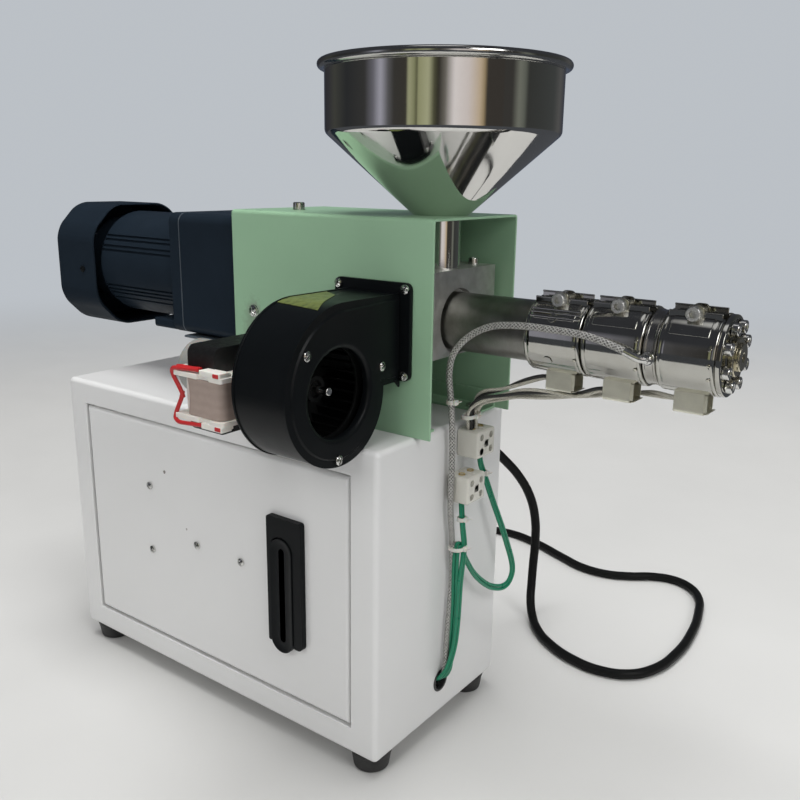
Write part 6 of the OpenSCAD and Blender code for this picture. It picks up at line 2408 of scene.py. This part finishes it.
@dataclass
class Wiring:
    """Heater leads, terminal blocks, green wires, ties and the grommet."""

    end: float = 150.0
    block_x: float = 150.3
    block_size: Point = (16.0, 21.0, 18.0)
    blocks: tuple[tuple[float, float], ...] = ((11.0, 196.0), (1.0, 168.0))
    lead_hole: tuple[float, float] = (0.0, 38.0)
    leads: tuple[tuple[Point, ...], ...] = (
        ((219, 15, 257), (209, 12, 256.5), (198, 9, 252.5), (184, 8, 246), (171, 9, 241.5),
         (163, 12, 235), (159.8, 15.5, 226), (159, 18, 219), (159, 18.5, 214)),
        ((253, 13, 256.5), (243, 13, 254), (230, 13, 248.8), (214, 11, 248.3), (199, 6, 247.2), (184, 4.5, 242.4),
         (171, 5.5, 237.6), (162, 8, 230.5), (158.8, 11.2, 224), (158, 13.8, 218), (158, 14.2, 214)),
        ((293, 13, 256.5), (282, 14.5, 256.3), (272, 20, 255), (262, 24.8, 253), (250, 24.8, 251), (239, 21.5, 249),
         (227, 17.5, 246.6), (214, 15, 245), (199, 11, 243.2), (184, 9.6, 240), (171, 11.2, 235.6), (163, 15.4, 229),
         (157.4, 20.6, 223), (155.2, 22.4, 217), (155, 22.6, 213)))
    dark_sleeves: tuple[tuple[int, int], ...] = ((0, 1), (1, 1))
    loop: tuple[Point, ...] = (
        (158, 27, 196), (158.3, 29, 187), (159, 35, 175), (161, 41.7, 158.6), (163, 51.7, 137.7), (164, 60.1, 120),
        (164, 67.5, 105), (164, 69, 96), (163.6, 65.5, 90), (163.2, 59, 88.6), (162.6, 50, 91), (161.8, 38, 97.4),
        (161, 22.5, 110.7), (160, 12.2, 125), (159.2, 7.6, 134.2), (158.4, 5.4, 138), (157.7, 3.8, 135.6),
        (157.5, 3, 128), (157.5, 3, 112), (157.5, 3.2, 97), (157.1, 3, 84), (156.8, 2.6, 70), (156.2, 2.4, 57),
        (154.8, 3, 48), (152, 3.6, 42), (149, 3.8, 39.6), (144, 3.4, 38.6), (138, 3.2, 38.4))
    short: tuple[Point, ...] = (
        (158, 7, 168), (159, 6.4, 160), (159.9, 6.6, 150), (161.0, 7.4, 138), (161.2, 6.0, 127), (160.6, 4.6, 112),
        (160.4, 4.0, 97), (160.1, 3.6, 84), (159.6, 2.4, 70), (158.6, 0.2, 59), (156.8, -2.2, 50), (153.2, -2.8, 43.6),
        (149, -3, 40), (144, -3, 38.6), (138, -3, 38.4))

    def build(self) -> None:
        """Makes the wiring."""
        self.heater_leads()
        self.terminal_blocks()
        self.green_wires()
        self.ties()
        self.grommet()

    def heater_leads(self) -> None:
        """Pulls a sleeve over each pair of heater leads."""
        piece = Piece("heater_sleeves", SLEEVE, DARK_SLEEVE)
        for k, route in enumerate(self.leads):
            for j, line in enumerate(twisted(route, 2, 0.98, 70.0, 4)):
                piece.add(Solid.swept(line, 2.05), 1 if (k, j) in self.dark_sleeves else 0)
        piece.put(stands_for=["heater_leads"], slot="white_sleeve")

    def terminal_blocks(self) -> None:
        """Casts the porcelain blocks, with their clamp screws and brass inserts."""
        piece = Piece("porcelain_blocks", PORCELAIN, BRASS, ZINC)
        sx, sy, sz = self.block_size
        for y0, z0 in self.blocks:
            made = Solid.block((self.block_x, y0, z0), (self.block_x + sx, y0 + sy, z0 + sz), 1.5, 4)
            face = self.block_x + sx
            wells = [(fy, fz, 4.6, 6.0) for fy in (0.24, 0.76) for fz in (0.24, 0.76)] + [(0.5, 0.5, 4.2, 2.4)]
            for fy, fz, wide, deep in wells:
                spot = (face, y0 + fy * sy, z0 + fz * sz)
                rim = made.hole(Axis.X, spot, wide, cuts=3, margin=1.1)
                made.close(made.draw(made.draw(rim, shift=(-0.4, 0, 0), centre=spot, grow=(1, 0.94, 0.94)),
                                     shift=(-deep, 0, 0)))
                piece.add(Hardware.pan_screw(wide - 0.5, 1.5), 2,
                          place(face - deep - 0.2, spot[1], spot[2], Facing.RIGHT, 60 * fy + 110 * fz))
            made.mend()
            piece.add(made)
            for fy in (0.26, 0.74):
                for z, facing in ((z0 + sz - 0.2, Facing.UP), (z0 + 0.2, Facing.DOWN)):
                    tube = Hardware.ring(3.4, 4.6, 0.8, 0.15, 24)
                    piece.add(tube, 1, place(self.block_x + 7.7, y0 + fy * sy, z, facing))
            piece.add(Solid.block((self.block_x + 3, y0 + sy / 2 - 0.9, z0 + sz - 1),
                                  (face - 2, y0 + sy / 2 + 0.9, z0 + sz + 0.9), 0.6, 2))
        piece.put(stands_for=["terminal_blocks"], slot="porcelain", edge=0.2)

    def green_wires(self) -> None:
        """Runs the green wires in twos."""
        piece = Piece("green_leads", GREEN)
        for route in (self.loop, self.short):
            for line in twisted(route, 2, 1.2, 2400.0, 4):
                piece.add(Solid.swept(line, 2.35))
        piece.put(stands_for=["green_wires"], slot="green_wire")

    def ties(self) -> None:
        """Pulls the ties round the leads."""
        piece = Piece("wire_ties", TIE)
        spots = (((157.9, 4.6, 136.6), 12.0, 9.6, Facing.UP), ((157.4, 16.4, 223.0), 15.6, 7.6, Facing.UP),
                 ((156.4, -6.0, 236.0), 4.6, 4.6, Facing.UP), ((158.6, 31.4, 180.5), 6.6, 4.6, Facing.UP),
                 ((159.3, 6.4, 156.0), 6.2, 4.6, Facing.UP))
        for spot, wide, deep, facing in spots:
            piece.add(Hardware.tie(wide, deep, 2.4, 0.7), 0, place(*spot, facing))
            lock = Solid.block((0, -1.9, -1.5), (2.4, 1.9, 1.7), 0.5, 2)
            piece.add(lock, 0, at(spot[0] + deep / 2 - 0.2, spot[1], spot[2]))
            tail = Solid.block((0, -0.9, -0.3), (3.4, 0.9, 0.3), 0.2, 2)
            piece.add(tail, 0, at(spot[0] + deep / 2 + 1.8, spot[1], spot[2])
                      @ tilt(-25, "Y"))
        piece.put(edge=0.1)

    def grommet(self) -> None:
        """Sets the grommet in the cabinet's end."""
        piece = Piece("lead_grommet_rubber", BLACK_PLASTIC)
        y, z = self.lead_hole
        profile = [(-2.6, 6.1), (-2.6, 7.4), (-1.6, 7.6), (-1.5, 6.95), (0.0, 6.95), (0.0, 7.8), (0.3, 8.0), (0.7, 7.7),
                   (0.8, 7.0), (0.7, 6.4), (0.3, 6.1)]
        piece.add(Solid.turned(profile, 48), where=place(self.end, y, z))
        piece.put(stands_for=["lead_grommet"], slot="black_plastic", edge=0.1)


# ---- blower ----


@dataclass
class Blower(OnAxis):
    """The blower's scroll with its flange, inlet cover, screws and impeller."""

    x0: float = 99.6
    x1: float = 140.0
    y: float = -91.0
    z: float = 255.0
    wall: float = 2.0
    plate: float = 2.0
    duct: float = 54.0
    duct_low: float = 255.0
    duct_high: float = 302.0
    inlet: float = 50.0
    flange_x: float = 118.0
    flange_z: float = 281.5
    flange_wide: float = 57.0
    flange_high: float = 58.0
    flange_front: float = -37.0
    flange_thick: float = 3.0
    screw_circle: float = 37.0
    screw_angles: tuple[float, ...] = (15.0, 137.0, 266.0)
    wheel: float = 62.0
    wheel_x: tuple[float, float] = (102.0, 130.0)
    blades: int = 28
    clip_angles: tuple[float, ...] = (62.0, 112.0)
    shaft: tuple[float, float] = (30.0, 132.0)

    def build(self) -> None:
        """Makes the blower."""
        self.scroll()
        self.cover()
        self.screws()
        self.label()
        self.impeller()

    def outline(self, grow: float, duct: float) -> list[Corner]:
        """Gives the scroll's corners in the plane across the axis, with their roundings.

        Args:
            grow: How far the outline stands outside the scroll.
            duct: Where the duct ends.

        Returns:
            The corners.
        """
        g = grow
        return [(duct, 49 + g), (-42 - g, 49 + g, 46.4 + g), (-42 - g, -41 - g, 43.4 + g), (38.5 + g, -41 - g, 37 + g),
                (38.5 + g, -2 - g), (duct, -2 - g)]

    def scroll(self) -> None:
        """Bends the scroll and its duct, and joins the outlet flange."""
        piece = Piece("scroll_case", BLOWER)
        depth = self.x1 - self.plate - self.x0
        case = Solid.plate(self.outline(0.0, self.duct), depth, Axis.X, 30)
        case.drop(case.faces_at(Axis.X, depth) + case.faces_at(Axis.Y, self.duct)).outward()
        bmesh.ops.solidify(case.bm, geom=list(case.bm.faces), thickness=self.wall)
        case.mend()
        piece.add(case, 0, self.on_axis(self.x0))
        piece.add(Solid.plate(self.outline(0.7, self.duct - 1), 1.6, Axis.X, 30), 0, self.on_axis(self.x0 + 0.6))
        hw, hh = self.flange_wide / 2, self.flange_high / 2
        flange = Solid.panel((-hw, -hh), (hw, hh), 4, self.flange_thick, Axis.Y)
        flange.move(at(self.flange_x, self.flange_front, self.flange_z))
        flange.windows(Axis.Y, (self.flange_front, self.flange_front + self.flange_thick),
                       (self.x0 + 2, 0, self.duct_low), (self.x1 - 2, 0, self.duct_high))
        piece.add(flange.mend())
        for x in (self.x0 + 1, self.x1 - 1):
            rib = Solid.plate([(0, -5), (0, 0), (-5, 0)], 2.0, Axis.X)
            piece.add(rib, 0, at(x - 1, self.flange_front, self.z - 1.5))
        piece.put(stands_for=["blower_scroll"], slot="black_blower", edge=0.5, edge_steps=3)

    def cover(self) -> None:
        """Presses the inlet cover, with a raised middle and a rolled inlet."""
        piece = Piece("inlet_cover", BLOWER)
        base, radius = 1.1, self.inlet / 2
        made = Solid.plate(self.outline(0.6, self.duct - 0.3), base, Axis.X, 30)
        front = largest(made.faces_at(Axis.X, base))
        for inset, rise in ((4.2, 0.0), (1.0, self.plate - base)):
            bmesh.ops.inset_region(made.bm, faces=[front], thickness=inset)
            bmesh.ops.translate(made.bm, vec=(rise, 0, 0), verts=front.verts)
        mouths = []
        for face, reach in ((front, radius + 3.2), (largest(made.faces_at(Axis.X, 0.0)), radius + 1.6)):
            mouths.append(made.circle(reach, 96, at(face.calc_center_median().x, 0, 0) @ ACROSS_X))
            outline = list(face.edges)
            made.drop_only([face])
            bmesh.ops.triangle_fill(made.bm, use_beauty=True, edges=outline + mouths[-1])
        rim, back = mouths
        x, r = self.plate, radius + 3.2
        for to_x, to_r in ((x - 0.1, radius + 2.2), (x - 0.5, radius + 1.0), (x - 1.3, radius + 0.2), (x - 2.2, radius),
                           (-2.6, radius), (-3.0, radius + 0.4), (-3.0, radius + 1.2)):
            rim = made.draw(rim, shift=(to_x - x, 0, 0), grow=(1, to_r / r, to_r / r))
            x, r = to_x, to_r
        bmesh.ops.bridge_loops(made.bm, edges=rim + back)
        made.mend()
        piece.add(made, 0, self.on_axis(self.x1 - self.plate))
        piece.put(stands_for=["blower_cover"], slot="black_blower", edge=0.3, edge_steps=3)

    def screws(self) -> None:
        """Drives the cover's and the flange's screws."""
        piece = Piece("blower_fixings", ZINC)
        head = Hardware.pan_screw(5.6, 2.3, 0.65)
        for k, angle in enumerate(self.screw_angles):
            piece.add(head, 0, self.round_axis(self.x1, self.screw_circle, math.radians(angle), 20 + 25 * k))
        for k, (sx, sz) in enumerate(((1, 1), (-1, 1), (1, -1))):
            piece.add(head, 0, place(self.flange_x + sx * (self.flange_wide / 2 - 3.5), self.flange_front,
                                     self.flange_z + sz * (self.flange_high / 2 - 3.5), Facing.FRONT, 10 + 33 * k))
        piece.put(stands_for=["blower_screws"], slot="bright_steel")

    def label(self) -> None:
        """Sticks a blank label over the scroll's top."""
        piece = Piece("scroll_label", LABEL)
        made = Solid.plate([(101, -99), (134, -102), (115, -66), (101, -58)], 0.25, Axis.Z)
        for y in range(-101, -59, 3):
            geom = [*made.bm.faces, *made.bm.edges, *made.bm.verts]
            bmesh.ops.bisect_plane(made.bm, geom=geom, dist=1e-4, plane_co=(0, y, 0), plane_no=(0, 1, 0))

        def wrap(p: Vector) -> Vector:
            """Lays a point on the scroll."""
            off = min(0.0, p.y - self.y - 4.4)
            return Vector((p.x, p.y, self.z + 2.6 + math.sqrt(46.4 ** 2 - off ** 2) + 0.05 + p.z))

        piece.add(made.shape(wrap))
        piece.put(slot="black_blower", sharp=60)

    def impeller(self) -> None:
        """Makes the squirrel-cage wheel with its hub and shaft."""
        # The wheel's plastic is darkened as painted shade of the inlet's inside.
        piece = Piece("impeller_wheel", SHADED_WHEEL_PLASTIC, FAN_GREY, ZINC)
        x0, x1 = self.wheel_x
        radius = self.wheel / 2
        back = self.on_axis(x0)
        piece.add(Solid.turned([(0, 2.6), (0, radius - 0.6), (0.5, radius), (1.5, radius), (1.5, 9), (2.4, 8),
                                (20, 7.4), (20, 5), (18, 4.6), (18, 2.6)], 96), 0, back)
        piece.add(Solid.turned([(0, radius - 5), (0, radius), (1.5, radius), (1.5, radius - 5)], 96), 0,
                  self.on_axis(x1 - 1.5))
        blade = Solid.block((0.6, -0.4, radius - 5), (x1 - x0 - 0.6, 0.4, radius - 0.2))
        bmesh.ops.subdivide_edges(blade.bm, edges=[e for e in blade.bm.edges if blade.runs_along(e) == 2], cuts=3)
        blade.shape(lambda p: Vector((p.x, p.y + 0.11 * (p.z - radius + 5) ** 2, p.z)))
        piece.add(blade, 0, copies=spokes(back, self.blades))
        clip = Solid.block((1.4, -3.4, 9.5), (7.0, 3.4, 15.0), 1.8, 4)
        piece.add(clip, 1, copies=[self.on_axis(x0 + 9) @ tilt(a) for a in self.clip_angles])
        arm = Solid.block((1.4, -1.2, 4.0), (16.0, 1.2, 11.0), 0.5, 2)
        piece.add(arm, 0, copies=[back @ tilt(a) for a in self.clip_angles])
        s0, s1 = self.shaft
        piece.add(Hardware.rod(4.9, s1 - s0, 0.4, 28), 2, self.on_axis(s0))
        piece.put("rotor", ["impeller"], "black_blower", edge=0.15)


@dataclass
class BlowerMotor(OnAxis):
    """The blower's shaded-pole motor with its bobbin, winding and cooling fan."""

    x0: float = 56.0
    x1: float = 78.0
    y: float = -91.0
    z: float = 255.0
    front: float = -125.0
    rear: float = -65.5
    low: float = 227.0
    high: float = 277.0
    bore: float = 27.0
    bracket_thick: float = 1.9
    window: tuple[float, float] = (-113.0, -107.0)
    bobbin_x: tuple[float, float] = (50.0, 90.0)
    bobbin_y: tuple[float, float] = (-131.4, -107.3)
    bobbin_z: tuple[float, float] = (235.1, 262.9)
    flange: float = 3.0
    lead_routes: tuple[tuple[Point, ...], ...] = (
        ((20.5, 2, 265.0), (13, 1.4, 264.6), (6, 0.8, 264.4), (1.2, 0.2, 264.0), (-0.8, 0.6, 262), (-0.2, 1.2, 258.6),
         (2.4, 1.8, 254), (4.6, 2.2, 250), (4.8, 3, 247)),
        ((19, 4.6, 264.8), (11, 4.2, 264.4), (4, 3.6, 264.6), (0.6, 3.4, 264.2)),
        ((4.6, 3, 250.5), (3.8, 2.2, 246), (1.8, 1.4, 241), (0.2, 1.0, 237), (0.4, 0.4, 234.4), (4.5, -0.4, 233.0),
         (12, -0.2, 233.4), (22.5, 1.2, 233.8)))
    fan_x: tuple[float, float] = (25.0, 42.0)
    fan_diameter: float = 34.0

    def build(self) -> None:
        """Makes the motor."""
        self.stack()
        self.bobbin()
        self.winding()
        self.wires()
        self.fan()

    def stack(self) -> None:
        """Stacks the laminations and fits the bearing brackets and posts."""
        piece = Piece("lamination_stack", LAMINATED, BLACK_PLASTIC, ZINC)
        outline = [(self.rear, self.low, 3), (self.rear, self.high, 3), (self.front, self.high, 5),
                   (self.front, self.low, 5)]
        made = Solid.plate(outline, self.x1 - self.x0, Axis.X, 6)
        (y0, y1), (z0, z1), levels = self.window, self.bobbin_z, (0.0, self.x1 - self.x0)
        made.windows(Axis.X, levels, (0, y0, z0), (0, y1, z1))
        holes = [e for level in levels for e in made.hole(Axis.X, (level, self.y, self.z), self.bore, 7, 1.04)]
        bmesh.ops.bridge_loops(made.bm, edges=holes)
        piece.add(made.mend(), 0, at(self.x0, 0, 0))
        rotor = Solid.turned([(1, 2.6), (1, 12.6), (1.6, 13.1), (20.4, 13.1), (21, 12.6), (21, 2.6)], 48)
        piece.add(rotor, 0, self.on_axis(self.x0))
        t = self.bracket_thick
        bracket = Solid.panel((-9, -26), (9, 20), 3, t, Axis.X, 4)
        boss = Solid.turned([(0, 2.7), (0, 6.6), (2.4, 6.0), (2.9, 5.0), (2.9, 2.7)], 32)
        for x, seat, facing in ((self.x0 - t - 0.05, self.x0 - t - 0.05, Facing.LEFT),
                                (self.x1 + 0.05, self.x1 + 0.05 + t, Facing.RIGHT)):
            piece.add(bracket, 1, self.on_axis(x))
            piece.add(boss, 2, place(seat, self.y, self.z, facing))
        for s in (-1, 1):
            z = self.z - 3 + 19 * s
            piece.add(Hardware.rod(5.0, 19.6, 0.3, 24), 2, place(self.x1 + 2, self.y, z))
            piece.add(Hardware.nut(5.5, 2.4, 2.8), 2, place(self.x0 - t - 0.05, self.y, z, Facing.LEFT, 12))
        piece.put(stands_for=["blower_stack"], slot="lamination", edge=0.3)

    def bobbin(self) -> None:
        """Moulds the bobbin with its two flanges."""
        piece = Piece("coil_bobbin", NYLON, RED)
        (x0, x1), (y0, y1), (z0, z1) = self.bobbin_x, self.bobbin_y, self.bobbin_z
        outline = [(x0, y0, 1.5), (x0 + 20, y0, 0.4), (x0 + 21, y0 + 1.5, 0.4), (x0 + 29, y0 + 1.5, 0.4),
                   (x0 + 30, y0, 0.4), (x1, y0, 1.5), (x1, y1, 1.0), (x0, y1, 1.0)]
        flange = Solid.plate(outline, self.flange, Axis.Z, 4)
        tab = Solid.block((x1 - 6.4, y0 - 0.5, -0.2), (x1 - 1.6, y0 + 4.2, 2.3), 0.5, 3)
        block = Solid.block((x0 + 22.5, y0 - 0.2, -0.6), (x1 - 0.8, y0 + 7.5, 2.8), 0.5, 3)
        posts = [Solid.block((x, y0 + 6.0, 0), (x + 2.2, y0 + 9.0, 2.0), 0.4, 2) for x in (x0 + 1.2, x1 - 3.2)]
        for low, outside, step in ((z0, z0, -1), (z1 - self.flange, z1, 1)):
            piece.add(flange, 0, at(0, 0, low))
            seat = at(0, 0, outside) @ Matrix.Scale(step, 4, (0, 0, 1))
            piece.add(tab, 1, seat).add(block, 0, seat)
            for post in posts:
                piece.add(post, 0, seat)
        core = Solid.block((self.x0 - 1.4, self.front - 0.8, z0 + 1), (self.x1 + 3.4, -111.0, z1 - 1), 0.8, 2)
        piece.add(core).put(stands_for=["bobbin"], slot="bobbin_white", edge=0.3)

    def winding(self) -> None:
        """Winds the coil and tapes it, slightly waisted."""
        piece = Piece("coil_tape", TAPE)
        x0, x1 = self.bobbin_x[0] + 7.5, self.bobbin_x[1] - 1.6
        y0, y1 = self.bobbin_y[0] + 1.2, self.bobbin_y[1] - 0.2
        z0, z1 = self.bobbin_z[0] + self.flange, self.bobbin_z[1] - self.flange
        outline = [(x0, y0, 5.5), (x1, y0, 5.5), (x1, y1, 3.5), (x0, y1, 3.5)]
        made = Solid.plate(outline, z1 - z0, Axis.Z, 7)
        upright = [e for e in made.bm.edges if made.runs_along(e) == 2]
        bmesh.ops.subdivide_edges(made.bm, edges=upright, cuts=7)
        middle = Vector(((x0 + x1) / 2, (y0 + y1) / 2 + 2, 0))

        def waist(p: Vector) -> Vector:
            """Draws the middle of the coil in.

            Args:
                p: A point of the coil.

            Returns:
                Its new place.
            """
            share = 1.0 - 0.05 * math.sin(math.pi * p.z / (z1 - z0)) ** 0.8 if 0 < p.z < z1 - z0 else 1.0
            return Vector((middle.x + (p.x - middle.x) * share, middle.y + (p.y - middle.y) * share, p.z))

        piece.add(made.shape(waist), 0, at(0, 0, z0))
        piece.put(stands_for=["coil_winding"], slot="tape", edge=0.3, sharp=50)

    def wires(self) -> None:
        """Loops the red leads round the bobbin's side."""
        piece = Piece("bobbin_leads", RED)
        x0, y0 = self.bobbin_x[0], self.bobbin_y[0]
        for route in self.lead_routes:
            piece.add(Solid.swept(along([(x0 + x, y0 + y, z) for x, y, z in route], 5), 2.5))
        piece.put(slot="bobbin_white")

    def fan(self) -> None:
        """Moulds the cooling fan behind the stack, with swept blades on a disc."""
        piece = Piece("rear_fan", FAN_GREY)
        x0, r = self.fan_x[0], self.fan_diameter / 2
        back = self.on_axis(x0)
        for outline, steps in (([(0, 0), (0, 4.0), (1.5, 5.5), (17, 5.5), (17, 2.6), (6, 2.6), (6, 0)], 40),
                               ([(13.4, 5), (13.4, r - 0.6), (14, r), (15, r), (15, 5)], 72),
                               ([(0.0, r - 1.6), (0.3, r - 0.4), (1.0, r), (10.5, r), (10.5, r - 1.3)], 72)):
            piece.add(Solid.turned(outline, steps), 0, back)
        blade = Solid.block((1.2, -0.6, 4.6), (14.0, 0.6, r - 0.2))
        bmesh.ops.subdivide_edges(blade.bm, edges=[e for e in blade.bm.edges if blade.runs_along(e) == 2], cuts=7)

        def sweep(p: Vector) -> Vector:
            """Bends the blade sideways and cuts its root back."""
            off = p.z - 5
            return Vector((p.x if p.z > 8 or p.x > 3 else 3.0, p.y + 0.028 * off ** 2 - 0.12 * off, p.z))

        piece.add(blade.shape(sweep), 0, copies=spokes(back, 9))
        piece.put("rotor", ["cooling_fan"], "fan_grey", edge=0.2)


def main() -> None:
    """Builds the machine."""
    logging.basicConfig(level=logging.INFO, format="%(message)s")
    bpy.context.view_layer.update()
    parts = (Studio(), MainsLead(), Cabinet(), Door(), DoorHandle(), DriveCover(), Gearmotor(), FeedSection(), Hopper(),
             HeaterBands(), Die(), Thermocouple(), Wiring(), Blower(), BlowerMotor())
    for part in parts:
        part.build()
        log.info("built: %s", type(part).__name__)


if __name__ == "__main__":
    main()
